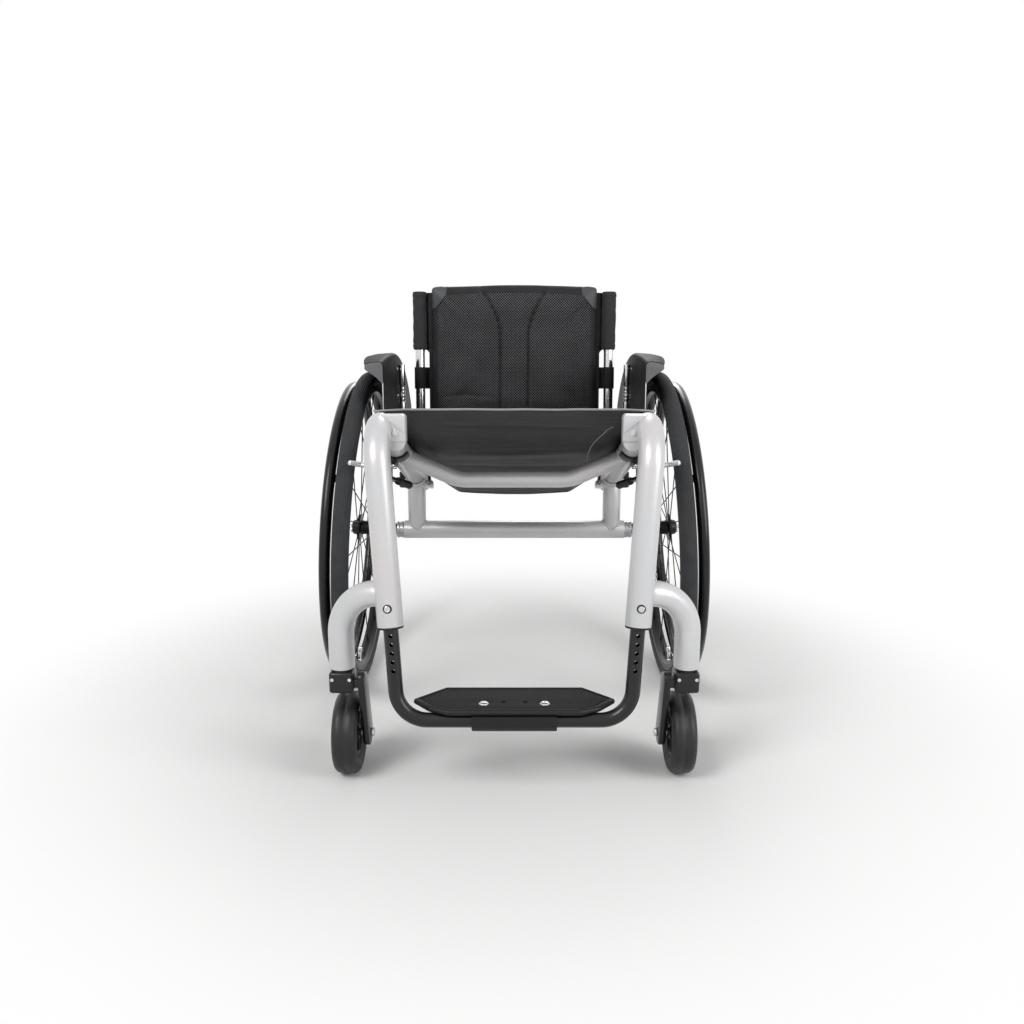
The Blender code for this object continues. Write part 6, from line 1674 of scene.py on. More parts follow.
def footrest_loop():
    """One bent tube down, across and up again, drilled for its height pins."""
    top = front_tube_point(FOOT_INSERT_Z)
    corners = [top, FOOT_CORNER, on(-1, *FOOT_CORNER), on(-1, *top)]
    route = Route(rounded(corners, FOOT_BEND))
    outside = [(s, FOOT_TUBE_RADIUS) for s in route.marks]
    inside = [(s, r - FOOT_TUBE_WALL) for s, r in outside[::-1]]
    shape = bmesh.new()
    skin(shape, [hoop(route.at(s), r, 40) for s, r in [*outside, *inside]], loop=True)
    drills = bmesh.new()
    for _, side in SIDES:
        for index in range(HEIGHT_HOLES):
            centre = on(side, *front_tube_point(HEIGHT_HOLE_TOP_Z - index * HEIGHT_HOLE_PITCH))
            across = Vector((0, math.cos(FRONT_LEAN), -math.sin(FRONT_LEAN))) * FOOT_TUBE_RADIUS * 2
            rod(drills, centre - across, centre + across, HEIGHT_HOLE_RADIUS, 24)
    surface("footrest_loop", cut(shape, drills), "black_powder_coat", "frame")


def footplate():
    """Tread with a rolled front lip, a thin raised rear rim, grit on top and its two screws."""
    y, bottom = FOOT_CORNER.y, FOOT_CORNER.z + FOOT_TUBE_RADIUS + GAP
    half = [
        (PLATE_HALF_FRONT, PLATE_FRONT_Y), (PLATE_HALF_SHOULDER, PLATE_SHOULDER_Y),
        (PLATE_HALF_WIDTH, PLATE_TIP_Y), (PLATE_HALF_WIDTH, PLATE_TIP_Y + PLATE_TIP_DEPTH),
        (PLATE_HALF_REAR, PLATE_REAR_Y),
    ]
    outline = [*half, *[(-x, d) for x, d in half[::-1]]]
    holes = [circle((side * SPARE_HOLE_X, SPARE_HOLE_Y), SPARE_HOLE_RADIUS, 28) for _, side in SIDES]
    shape = bmesh.new()
    slab(shape, eased(outline, 0.006), PLATE_THICK, Matrix.Translation((0, y, bottom + PLATE_THICK / 2)),
         0.001, holes)
    edge = [*half[2::-1], *[(-x, d) for x, d in half[:3]]]
    lip = Route(rounded([Vector((x, y + d, bottom + PLATE_LIP_RADIUS)) for x, d in edge], 0.012, 8))
    swept(shape, lip, tube_stations(lip, PLATE_LIP_RADIUS, ease=0.0015), 28)
    back = [*half[2:], *[(-x, d) for x, d in half[:1:-1]]]
    inset = Vector((0, y - 0.0012, bottom + PLATE_THICK))
    rim_line = Route(rounded([Vector((x * 0.993, d, 0)) + inset for x, d in back], 0.004, 6))
    swept(shape, rim_line, tube_stations(rim_line, 0.0016, ease=0.0008), 16)
    surface("footplate", shape, "moulded_nylon", "footplate", 40)
    footplate_top(outline, holes, Vector((0, y, bottom + PLATE_THICK)))


def footplate_top(outline, holes, middle):
    """Grit over the tread, cut out round its holes and screws, and the two domed screws."""
    grip = [(x * 0.935, PLATE_TIP_Y + (d - PLATE_TIP_Y) * 0.80 + 0.001) for x, d in outline]
    seats = [circle((side * SCREW_X, SCREW_Y), SCREW_HEAD_RADIUS + 0.001, 32) for _, side in SIDES]
    tape = bmesh.new()
    slab(tape, eased(grip, 0.005), 0.0012, Matrix.Translation(middle), 0.0003, [*holes, *seats])
    piece("footplate_tread", tape, "grit_tape", "footplate")
    head, r, height, key = bmesh.new(), SCREW_HEAD_RADIUS, SCREW_HEAD_HEIGHT, 0.0022
    dome = [(0, 0.0012), (key, 0.0012), (key, height * 0.97), (r * 0.72, height * 0.8), (r, 0.0005), (r, 0)]
    lathe(head, dome, Matrix(), 40, closed=False, ease=0.0005)
    spots = [(middle + Vector((side * SCREW_X, SCREW_Y, 0)), Vector((0, 0, 1))) for _, side in SIDES]
    fasteners("footplate_screws", head, spots, "footplate")


def footplate_clamp():
    """Moulded half shell round the cross tube, open along its top, with a flat tail under the tread."""
    reach, bore, top = FOOT_TUBE_RADIUS + CLAMP_WALL, FOOT_TUBE_RADIUS + GAP, FOOT_TUBE_RADIUS
    slit = math.degrees(math.asin(top / bore))
    turn = math.degrees(math.asin((CLAMP_FLANGE - top) / reach))
    outline = [
        (bore * math.cos(math.radians(slit)), top), (CLAMP_TAIL, top), (CLAMP_TAIL, top - CLAMP_FLANGE),
        *arc((0, 0), reach, -turn, turn - 180, 30), (-reach, top),
        *arc((0, 0), bore, 180 - slit, 360 + slit, 40)[:-1],
    ]
    place = upright_plane(0) @ Matrix.Translation((FOOT_CORNER.y, FOOT_CORNER.z, 0))
    shape = bmesh.new()
    slab(shape, outline, 2 * CLAMP_HALF_WIDTH, place, 0.0009)
    surface("footplate_clamp", shape, "moulded_nylon", "footplate")
    below = FOOT_CORNER + Vector((0, CLAMP_TAIL - 0.010, top - CLAMP_FLANGE + 0.0002))
    spots = [(Vector((side * SCREW_X, below.y, below.z)), Vector((0, 0, -1))) for _, side in SIDES]
    fasteners("clamp_screws", cap_screw(*CLAMP_SCREW), spots, "footplate")


# Wheel locks
def bar_angle(lever):
    """How far the bar has turned for this turn of the lever, drive pin in slot."""
    return math.atan2(-LOCK_CRANK * math.sin(lever), LOCK_PIVOT_GAP - LOCK_CRANK * math.cos(lever))


def in_lock(side, x, s, h):
    """A point in the lock's frame: outwards, down the rail from the bar's pivot, and square to both."""
    return rail_frame(side, LOCK_STATION_Y) @ Vector((side * x, s, h))


def turned_about(x, s, angle, points):
    """Points in the lock's plane turned about (x, s), outwards towards the rear for a positive angle."""
    c, n = math.cos(angle), math.sin(angle)
    return [(x + c * (px - x) - n * (ps - s), s + n * (px - x) + c * (ps - s)) for px, ps in points]


def lock_plate(shape, side, outline, thickness, height, holes=(), ease=0.0008):
    place = rail_frame(side, LOCK_STATION_Y) @ Matrix.Translation((0, 0, height))
    loops = [[(side * x, s) for x, s in loop] for loop in (outline, *holes)]
    slab(shape, loops[0], thickness, place, ease, loops[1:])


def lock_bracket(name, side):
    """Half sleeve under the rail and a plate below it."""
    x, gap, r = LOCK_OUT, LOCK_PIVOT_GAP, LOCK_BOSS_RADIUS
    inner = x - LOCK_WEB_SET
    middle = LOCK_ARM_HEIGHT + LOCK_BAR_RADIUS + LOCK_LAYER_GAP + LOCK_BRACKET_PLATE / 2
    outline = [*arc((x, 0), r, 0, -90, 12), (inner, -r), (inner, gap + r), *arc((x, gap), r, 90, 0, 12)]
    shape = bmesh.new()
    lock_plate(shape, side, outline, LOCK_BRACKET_PLATE, middle)
    place = rail_frame(side, LOCK_STATION_Y)
    height = -TUBE_RADIUS * 0.9 - middle
    box(shape, (side * inner, gap / 2, middle + height / 2), (LOCK_WEB_THICK, gap, height), place, 0.0015)
    sleeve = along_rail(side, LOCK_STATION_Y) @ Matrix.Translation((0, 0, gap / 2))
    slab(shape, saddle_outline(TUBE_RADIUS + GAP, SADDLE_WALL - GAP), gap, sleeve, 0.0008)
    surface(f"lock_bracket_{name}", shape, "black_anodised_aluminium", "frame")


def lock_pins(name, side):
    """The pins that the bar and the lever turn on, with their collars, and the bracket's four screws."""
    x, gap = LOCK_OUT, LOCK_PIVOT_GAP
    under = LOCK_ARM_HEIGHT + LOCK_BAR_RADIUS + LOCK_LAYER_GAP
    middle = under + LOCK_BRACKET_PLATE / 2
    pins, down, spots = bmesh.new(), -RAIL_UP, []
    for s, level in ((0.0, LOCK_ARM_HEIGHT), (gap, LOCK_LEVER_HEIGHT)):
        collar = level + LOCK_PLATE / 2 + LOCK_LAYER_GAP
        head = level - LOCK_PLATE / 2 - LOCK_LAYER_GAP
        rod(pins, in_lock(side, x, s, middle), in_lock(side, x, s, collar), LOCK_HEAD_RADIUS)
        rod(pins, in_lock(side, x, s, middle), in_lock(side, x, s, head), LOCK_PIN_RADIUS)
        spots.append((in_lock(side, x, s, head), down))
    for share in (0.2, 0.8):
        spots.append((in_lock(side, x - LOCK_WEB_SET, gap * share, under + 0.0002), down))
    piece(f"lock_pins_{name}", pins, "polished_steel", "frame")
    fasteners(f"lock_screws_{name}", cap_screw(*LOCK_SCREW), spots, "frame")


def lock_bar(name, side):
    """Bar that swings back on the tyre: a boss, a slotted tail and a bright round bar with a domed end."""
    x, r, turn = LOCK_OUT, LOCK_BOSS_RADIUS, bar_angle(LOCK_LEVER_REST)
    pin_room = LOCK_DRIVE_PIN + LOCK_CLEARANCE
    corner = 0.003
    outline = [
        *arc((x, 0), r, 180, 360, 22), *arc((x + r - corner, LOCK_TAIL - corner), corner, 0, 90, 5),
        *arc((x - r + corner, LOCK_TAIL - corner), corner, 90, 180, 5),
    ]
    hole = circle((x, 0), LOCK_PIN_RADIUS + LOCK_CLEARANCE, 28)
    first, last = LOCK_PIVOT_GAP - LOCK_CRANK - 2 * LOCK_CLEARANCE, LOCK_TAIL - LOCK_TAIL_EDGE
    slot = [*arc((x, first), pin_room, 180, 360, 12), *arc((x, last), pin_room, 0, 180, 12)]
    loops = [turned_about(x, 0, turn, loop) for loop in (outline, hole, slot)]
    shape = bmesh.new()
    lock_plate(shape, side, loops[0], LOCK_PLATE, LOCK_ARM_HEIGHT, loops[1:])
    lean = LOCK_BAR_ENGAGED - bar_angle(-LOCK_LEVER_REST) + turn
    ends = turned_about(x, 0, lean, [(x + s, 0) for s in (LOCK_HEAD_RADIUS + RUN_GAP, LOCK_REACH)])
    start, tip = [in_lock(side, *spot, LOCK_ARM_HEIGHT) for spot in ends]
    length, r = (tip - start).length, LOCK_BAR_RADIUS - LOCK_BAR_SLACK
    grooves = []
    for k in range(LOCK_GROOVE_STEPS):
        grooves.append((r - LOCK_GROOVE_DEPTH * (k % 2), length - LOCK_DOME - LOCK_GROOVE_PITCH * k))
    dome = [(0, length), (r * 0.3, length - 0.0001), (r * 0.62, length - 0.0008), (r * 0.9, length - 0.0019)]
    lathe(shape, [*dome, *grooves, (r, 0), (0, 0)], frame_along(start, tip - start), 40, closed=False)
    surface(f"lock_bar_{name}", shape, "polished_steel", f"lock_bar_{name}")


def lock_lever(name, side):
    """Lever under the rail with a short crank and drive pin, and a ribbed grip on its handle."""
    x, s = LOCK_OUT, LOCK_PIVOT_GAP
    turn, r, narrow = LOCK_LEVER_REST, LOCK_BOSS_RADIUS, LOCK_LEVER_HALF_WIDTH
    outline = [
        *arc((x, s - LOCK_CRANK), narrow, 180, 360, 14), *arc((x, s), r, -30, 45, 10),
        (x + narrow, s + LOCK_BLADE), (x - narrow, s + LOCK_BLADE), *arc((x, s), r, 135, 210, 10),
    ]
    hole = circle((x, s), LOCK_PIN_RADIUS + LOCK_CLEARANCE, 28)
    loops = [turned_about(x, s, turn, loop) for loop in (outline, hole)]
    shape = bmesh.new()
    lock_plate(shape, side, loops[0], LOCK_PLATE, LOCK_LEVER_HEIGHT, loops[1:], 0.0012)
    drive = turned_about(x, s, turn, [(x, s - LOCK_CRANK)])[0]
    top = LOCK_ARM_HEIGHT + LOCK_PLATE / 2 - LOCK_CLEARANCE
    rod(shape, in_lock(side, *drive, LOCK_LEVER_HEIGHT), in_lock(side, *drive, top), LOCK_DRIVE_PIN, 24)
    surface(f"lock_lever_{name}", shape, "black_anodised_aluminium", f"lock_lever_{name}")
    ends = turned_about(x, s, turn, [(x, s + LOCK_HANDLE - LOCK_GRIP_LENGTH), (x, s + LOCK_HANDLE)])
    start, tip = [in_lock(side, *spot, LOCK_LEVER_HEIGHT) for spot in ends]
    radius, length = LOCK_GRIP_RADIUS, (tip - start).length
    profile = [(0, 0), (radius * 0.8, 0), (radius * 0.95, 0.0015)]
    for k in range(LOCK_GRIP_RIBS * 8 + 1):
        share = k / (LOCK_GRIP_RIBS * 8)
        dip = LOCK_GRIP_DIP * (0.5 - 0.5 * math.cos(2 * math.pi * share * LOCK_GRIP_RIBS))
        profile.append((radius - dip, 0.004 + (length - 0.009) * share))
    profile += [(radius * 0.9, length - 0.002), (radius * 0.55, length - 0.0004), (0, length)]
    grip = bmesh.new()
    lathe(grip, profile, frame_along(start, tip - start), 40, closed=False)
    piece(f"lock_grip_{name}", grip, "moulded_nylon", f"lock_lever_{name}", 50)


# Side guards and the back's hard parts
def guard_top(y):
    """Height of the guard's top edge: nearly level in front, then an arch about the axle."""
    crest = AXLE_TUBE_Z + GUARD_ARCH_RADIUS
    if y >= 0:
        return AXLE_TUBE_Z + math.sqrt(GUARD_ARCH_RADIUS ** 2 - y * y)
    return crest - GUARD_FRONT_DROP * (y / GUARD_FRONT_Y) ** 2


def guard_reach(y):
    """How far the guard's tip stands out from its wall, less towards its front end."""
    forward = min(0.0, y) / GUARD_FRONT_Y
    return GUARD_TIP_X - GUARD_X - (GUARD_TIP_X - GUARD_FRONT_TIP_X) * forward ** 2


def guard_bottom(y):
    if y < 0:
        return GUARD_LOW_Z - y * math.tan(SEAT_DUMP)
    t = min(1.0, y / GUARD_REAR_Y)
    return GUARD_LOW_Z + (guard_top(GUARD_REAR_Y) - GUARD_BAND - GUARD_LOW_Z) * t * t


def guard_section(drop, reach):
    """Across the guard from its lower edge, this far down, over the curl to the tip: (out, up)."""
    wall = [(0, drop + (-GUARD_CURL - drop) * k / 12) for k in range(12)]
    curl = arc((GUARD_CURL, -GUARD_CURL), GUARD_CURL, 180, 90, 12)
    corners = [curl[-1], (reach * 0.7, -GUARD_FALL * 0.35), (reach, -GUARD_FALL)]
    fall = [(p.x, p.y) for p in rounded([Vector((*c, 0)) for c in corners], 0.02, 6)]
    return [*wall, *curl, *fall[1:]]


def side_guard(name, side):
    """Formed guard: upright wall with its top curled over the tyre."""
    grid = []
    for i in range(GUARD_ROWS + 1):
        y = GUARD_FRONT_Y + (GUARD_REAR_Y - GUARD_FRONT_Y) * i / GUARD_ROWS
        top = guard_top(y)
        section = guard_section(guard_bottom(y) - top, guard_reach(y))
        grid.append([on(side, GUARD_X + x, y, top + dz) for x, dz in section])
    surface(f"side_guard_{name}", shell(grid, GUARD_THICK, edge=0.0006), "guard_abs", "frame")


def guard_web(name, side):
    """Web across the guard's front end, hollow towards the tyre, painted lighter grey as a highlight."""
    reach, drop = guard_reach(GUARD_FRONT_Y), GUARD_WEB_DROP
    web = [(reach * out, -drop * down) for out, down in GUARD_HOLLOW] + guard_section(-drop, reach)[:11:-1]
    front = bmesh.new()
    place = facing_plane(side, GUARD_X, GUARD_FRONT_Y, guard_top(GUARD_FRONT_Y))
    slab(front, web, GUARD_THICK, place, 0.0005)
    piece(f"guard_web_{name}", front, "painted_highlight_abs", "frame")


def guard_rivets(name, side):
    """Rivets through the guard's wall on both sides of its post."""
    rivet = bmesh.new()
    lathe(rivet, [(0, 0.0014), (0.0022, 0.0012), (0.0038, 0.0004), (0.0040, 0)], Matrix(), 28, closed=False)
    inside = GUARD_X - GUARD_THICK / 2 + 0.0002
    spots = [(on(side, inside, POST_Y + dy, z), Vector((-side, 0, 0))) for dy, z in GUARD_RIVETS]
    fasteners(f"guard_rivets_{name}", rivet, spots, "frame")


def guard_highlight_strip(name, side):
    """Bright metal strip on the front edge of the guard's wall, put there as a painted highlight."""
    y, strip = GUARD_FRONT_Y, bmesh.new()
    top, low = guard_top(y) - GUARD_WEB_DROP * 0.9, guard_bottom(y) + 0.002
    centre = (side * (GUARD_X + 0.0003), y - 0.0004, (top + low) / 2)
    box(strip, centre, (0.0019, 0.0014, top - low), None, 0.0004, 2)
    piece(f"guard_edge_{name}", strip, "turned_aluminium", "frame")


def guard_post(name, side):
    """Clamp ring on the rail, a socket and the ribbed upright that carries the guard."""
    along, spot, half = on(side, *RAIL_REARWARD), on(side, *rail_point(POST_Y)), POST_RING_LENGTH / 2
    ring = bmesh.new()
    place = frame_along(spot, along)
    bore, outer = TUBE_RADIUS + GAP, TUBE_RADIUS + POST_RING_WALL
    lathe(ring, [(bore, -half), (outer, -half), (outer, half), (bore, half)], place, 72, ease=0.001)
    foot = on(side, POST_X, POST_Y, spot.z - POST_SOCKET_HEIGHT / 2)
    up = Vector((0, 0, 1))
    r, wide, tall = POST_RADIUS, POST_SOCKET_RADIUS, POST_SOCKET_HEIGHT
    socket = [(0, 0), (wide, 0), (wide, tall), (r, tall)]
    lathe(ring, socket, frame_along(foot, up), 48, closed=False, ease=0.0012)
    surface(f"guard_post_{name}", ring, "black_anodised_aluminium", "frame")
    height, groove = POST_TOP_Z - foot.z, r - 0.0011
    profile = [(0, tall / 2), (r, tall / 2)]
    for k in range(POST_RIBS):
        level = POST_RIB_TOP_Z - foot.z - (POST_RIBS - 1 - k) * POST_RIB_PITCH
        profile += [(r, level - 0.0016), (groove, level - 0.0010), (groove, level + 0.0010),
                    (r, level + 0.0016)]
    profile += [(r, height), (0, height)]
    upright = bmesh.new()
    lathe(upright, profile, frame_along(foot, up), 40, closed=False, ease=0.0004)
    piece(f"guard_upright_{name}", upright, "polished_steel", "frame")
    screws = [(spot + RAIL_UP * (outer - 0.0003), RAIL_UP)]
    fasteners(f"post_screw_{name}", cap_screw(*POST_SCREW), screws, "frame")


def back_frame(x=0.0, up=0.0, forward=0.0):
    """Place on the raised back: across, up the canes from the hinge, and forward of them."""
    return Vector((x, HINGE.y, HINGE.z)) + up * CANE_UP + forward * CANE_FORWARD


def hinge_bracket(name, side):
    """Plug in the rail's rear end with two cheeks, and the bolt that the cane turns on."""
    along, end, length = on(side, *RAIL_REARWARD), on(side, *RAIL_END), HINGE_HEAD_LENGTH
    shape = bmesh.new()
    rod(shape, end + along * GAP, end + along * length, TUBE_RADIUS, 64, 0.0015)
    base = rail_point(RAIL_END_Y + length / 2)
    low, high = TUBE_RADIUS * 0.84, TUBE_RADIUS * 0.63
    outline = [
        (base.y - length * 0.43, base.z - high), (base.y + length * 0.86, base.z - low),
        *arc((HINGE.y, HINGE.z), CHEEK_RADIUS, -20, 170, 24), (base.y - length * 0.43, base.z + high),
    ]
    for face in (1, -1):
        x = end.x + face * (CANE_RADIUS + RUN_GAP + CHEEK_THICK / 2)
        slab(shape, outline, CHEEK_THICK, upright_plane(x), 0.001)
    surface(f"hinge_bracket_{name}", shape, "black_anodised_aluminium", "frame")
    reach = CANE_RADIUS + RUN_GAP + CHEEK_THICK
    bolt = bmesh.new()
    outward = Vector((1, 0, 0))
    middle = Vector((end.x, HINGE.y, HINGE.z))
    rod(bolt, middle - outward * reach, middle + outward * reach, HINGE_PIN_RADIUS, 32)
    for face in (1, -1):
        join(bolt, cap_screw(*HINGE_BOLT, frame_along(middle + outward * face * reach, outward * face)))
    piece(f"hinge_bolt_{name}", bolt, "polished_steel", "frame")


def back_cane(name, side):
    x = side * HINGE.x
    shape = bmesh.new()
    rod(shape, back_frame(x, -CANE_FOOT), back_frame(x, CANE_LENGTH), CANE_RADIUS, 56, 0.001)
    pin = back_frame(x, CANE_PIN_UP, CANE_RADIUS - 0.0006)
    place = frame_along(pin, CANE_FORWARD)
    lathe(shape, [(0, 0.0022), (0.0022, 0.0019), (0.0030, 0.0010), (0.0030, -0.001)], place, 28, closed=False)
    surface(f"back_cane_{name}", shape, "polished_steel", "back")


# Seat
def sling_section(t):
    """Half a seat section from the outer hem over the rail to the middle: (across, up)."""
    r = TUBE_RADIUS + SKIN_GAP
    centre = rail_point(SLING_FRONT_Y + (SLING_REAR_Y - SLING_FRONT_Y) * t).x
    panel = SLING_PANEL_FRONT + (SLING_PANEL_REAR - SLING_PANEL_FRONT) * t
    low = SLING_FRONT_RISE + (-SLING_REAR_DROP - SLING_FRONT_RISE) * t
    reach = Vector((panel - centre, low))
    leave = math.atan2(reach.y, reach.x) % (2 * math.pi) - math.acos(r / reach.length)
    wrap = [SLING_WRAP + (leave - SLING_WRAP) * i / 18 for i in range(19)]
    over = [(centre + r * math.cos(a), r * math.sin(a)) for a in wrap]
    edge = over[-1]
    side = [(edge[0] + (panel - edge[0]) * k / 12, edge[1] + (low - edge[1]) * k / 12) for k in range(1, 12)]
    shares = [1, 0.97, *[1 - j / 24 for j in range(1, 25)]]
    flat = [(panel * k, low - SLING_SAG * t * (1 - k * k)) for k in shares]
    first, corner, last = Vector(side[-1]), Vector(flat[0]), Vector(flat[2])
    steps = [k / 5 for k in range(6)]
    soft = [tuple((1 - j) ** 2 * first + 2 * j * (1 - j) * corner + j * j * last) for j in steps]
    return [*over, *side[:-1], *soft, *flat[3:]]


def crinkle(t, x):
    """How far the middle panel's creases lift the cloth at this place."""
    rise = 0.0
    for at, width, height, lean in SLING_CREASES:
        rise += height * math.exp(-((t - at - lean * x) / width) ** 2)
    return rise * max(0.0, 1 - (x / SLING_CREASE_REACH) ** 4)


def unevenness(t, x):
    """Slight unevenness of the seat cloth, none where it lies on the rails."""
    free = max(0.0, 1 - (abs(x) / SLING_FREE_REACH) ** 6)
    return SLING_UNEVENNESS * free * noise.noise(Vector((x * 22, t * 9, 0.3)))


def seat_rows():
    """The seat's rows of points from front to rear, each from the sitter's left hem to the right one."""
    rows = []
    for i in range(SLING_ROWS + 1):
        t = i / SLING_ROWS
        y = SLING_FRONT_Y + (SLING_REAR_Y - SLING_FRONT_Y) * t
        half = sling_section(t)
        section = [*half, *[(-x, h) for x, h in half[-2::-1]]]
        z = rail_point(y).z
        lifts = [h + crinkle(t, x) + unevenness(t, x) for x, h in section]
        rows.append([Vector((x, y, z)) + lift * RAIL_UP for (x, _), lift in zip(section, lifts)])
    return rows


def uprights(line, run):
    """Direction square to a line of points and to the run across it, at each point."""
    last = len(line) - 1
    return [(line[min(k + 1, last)] - line[max(k - 1, 0)]).cross(run).normalized() for k in range(last + 1)]


def band_of_tape(line, run, low, high, half):
    """Tape folded over an edge: rings round the edge line, from low to high along the run."""
    upper = [(low + 0.0006, half), (high - 0.0004, half), (high, half * 0.7)]
    corners = [*upper, *[(a, -b) for a, b in upper[::-1]], (low, -half * 0.5), (low, half * 0.5)]
    places = zip(line, uprights(line, run))
    shape = bmesh.new()
    skin(shape, [[point + run * a + up * b for a, b in corners] for point, up in places])
    return shape


def lifted(row, height):
    """A row of the seat moved this far off the cloth's upper face."""
    return [point + up * height for point, up in zip(row, uprights(row, -DOWN_RAIL))]


def seat_sling():
    """Hung seat cloth with taped front and rear edges, hems along the rails and its sewing."""
    rows = seat_rows()
    sling = surface("seat_sling", shell(rows, SLING_THICK, -1.0), "coated_nylon", "frame", 50)
    half = SLING_THICK / 2 + BINDING_PROUD
    first, final = lifted(rows[0], SLING_THICK / 2), lifted(rows[-1], SLING_THICK / 2)
    front = band_of_tape(first, DOWN_RAIL, -BINDING_LAP, BINDING_WIDTH, half)
    rear = band_of_tape(final, DOWN_RAIL, -BINDING_WIDTH, BINDING_LAP, half)
    edge = piece("seat_front_tape", front, "edge_tape", "frame", 50)
    tail = piece("seat_rear_tape", rear, "binding_tape", "frame", 50)
    under = [lifted(row, -STITCH_RADIUS * 0.3) for row in rows]
    over = [lifted(row, SLING_THICK + STITCH_RADIUS * 0.3) for row in rows]
    inset = DOWN_RAIL * HEM_INSET
    lines = [[p + inset for p in lifted(first, half)], [p + inset for p in lifted(first, -half)]]
    lines.append([p - inset for p in lifted(final, -half)])
    for face, column in ((over, SLING_HEM), (under, SLING_FOLD)):
        lines += [[row[k] for row in face[2:-2]] for k in (column, -1 - column)]
    seams("seat_stitches", lines, "frame")
    seams("seat_patch_stitches", [patch_arc(under)], "frame", False, PATCH_STITCH, "pale_thread")
    tape_tabs(first)


def patch_arc(rows):
    """Curved line of sewing beside the fold on the sitter's left, on these rows of the seat."""
    curve = []
    for i in range(29):
        t = PATCH_ARC_START + PATCH_ARC_LENGTH * i / 28
        row = rows[round(t * SLING_ROWS)]
        fold = SLING_PANEL_FRONT + (SLING_PANEL_REAR - SLING_PANEL_FRONT) * t
        across = fold - PATCH_ARC_REACH * math.sin(math.pi * i / 28) ** 0.7
        k = next(k for k in range(1, len(row)) if row[k].x < across)
        a, b = row[k - 1], row[k]
        curve.append(a.lerp(b, (a.x - across) / (a.x - b.x)))
    return curve


def tape_tabs(edge):
    """The front tape's folded ends, two layers on each outer corner."""
    folds = bmesh.new()
    for _, side in SIDES:
        tip = edge[0] if side > 0 else edge[-1]
        for k, lean in enumerate((12, 24)):
            turn = Matrix.Rotation(math.radians(-side * lean), 4, "Y")
            place = Matrix.Translation(tip + Vector((0, 0.004 + 0.002 * k, 0.0012 + 0.0016 * k))) @ turn
            box(folds, (-side * 0.006, 0, 0), (0.016, 0.008, 0.0011), place, 0.0004, 2)
    piece("seat_tape_tabs", folds, "edge_tape", "frame")


# Back
def back_plan(height):
    """Frame square to the canes at a height: X across, Y rearwards, Z up the canes."""
    return frame_of(back_frame(up=height), (1, 0, 0), -CANE_FORWARD, CANE_UP)


def panel_depth(x):
    """How far the back's panel hangs behind the canes at this distance from the middle."""
    return PANEL_SAG * (1 - (x / HINGE.x) ** 2)


def cane_sleeves():
    """Padded cloth sleeves over the canes, sewn shut at the top, hemmed at the foot and slightly slack."""
    shape, lines = bmesh.new(), []
    outer, bore = CANE_RADIUS + SLEEVE_WALL, CANE_RADIUS + RUN_GAP
    height = SLEEVE_TOP - SLEEVE_BOTTOM
    for _, side in SIDES:
        aside = Matrix.Translation((side * HINGE.x, 0, 0))
        rings = [hoop(back_plan(SLEEVE_TOP - 0.0028) @ aside, r, SLEEVE_SIDES) for r in (0, bore)]
        rings.append(hoop(back_plan(SLEEVE_BOTTOM) @ aside, bore, SLEEVE_SIDES))
        for k in range(SLEEVE_STEPS + 3):
            share, close = min(1.0, k / SLEEVE_STEPS), SLEEVE_CLOSING.get(k, 0.0)
            up = SLEEVE_BOTTOM + height * share + 0.0008 * close
            ring = []
            for j in range(SLEEVE_SIDES):
                a = 2 * math.pi * j / SLEEVE_SIDES
                spot = Vector((math.cos(a) * 1.6 + side * 5, math.sin(a) * 1.6, share * 7))
                slack = SLEEVE_SLACK * noise.noise(spot)
                seam = -SLEEVE_SEAM_DEPTH * math.exp(-((math.cos(a) * side + 0.86) / 0.03) ** 2)
                r = (outer + slack + seam + SLEEVE_HEMS.get(k, 0.0)) * (1 - 0.985 * close)
                ring.append(back_frame(side * HINGE.x + r * math.cos(a), up, -r * math.sin(a)))
            rings.append(ring)
        skin(shape, rings, caps=(False, True))
        for level in (SLEEVE_BOTTOM + SLEEVE_HEM_LINE, SLEEVE_TOP - SLEEVE_HEM_LINE):
            lines.append(hoop(back_plan(level) @ aside, outer + 0.0003, 40))
    sleeves = piece("cane_sleeves", shape, "brushed_sleeve_fabric", "back", 50)
    seams("sleeve_stitches", lines, "back", True)


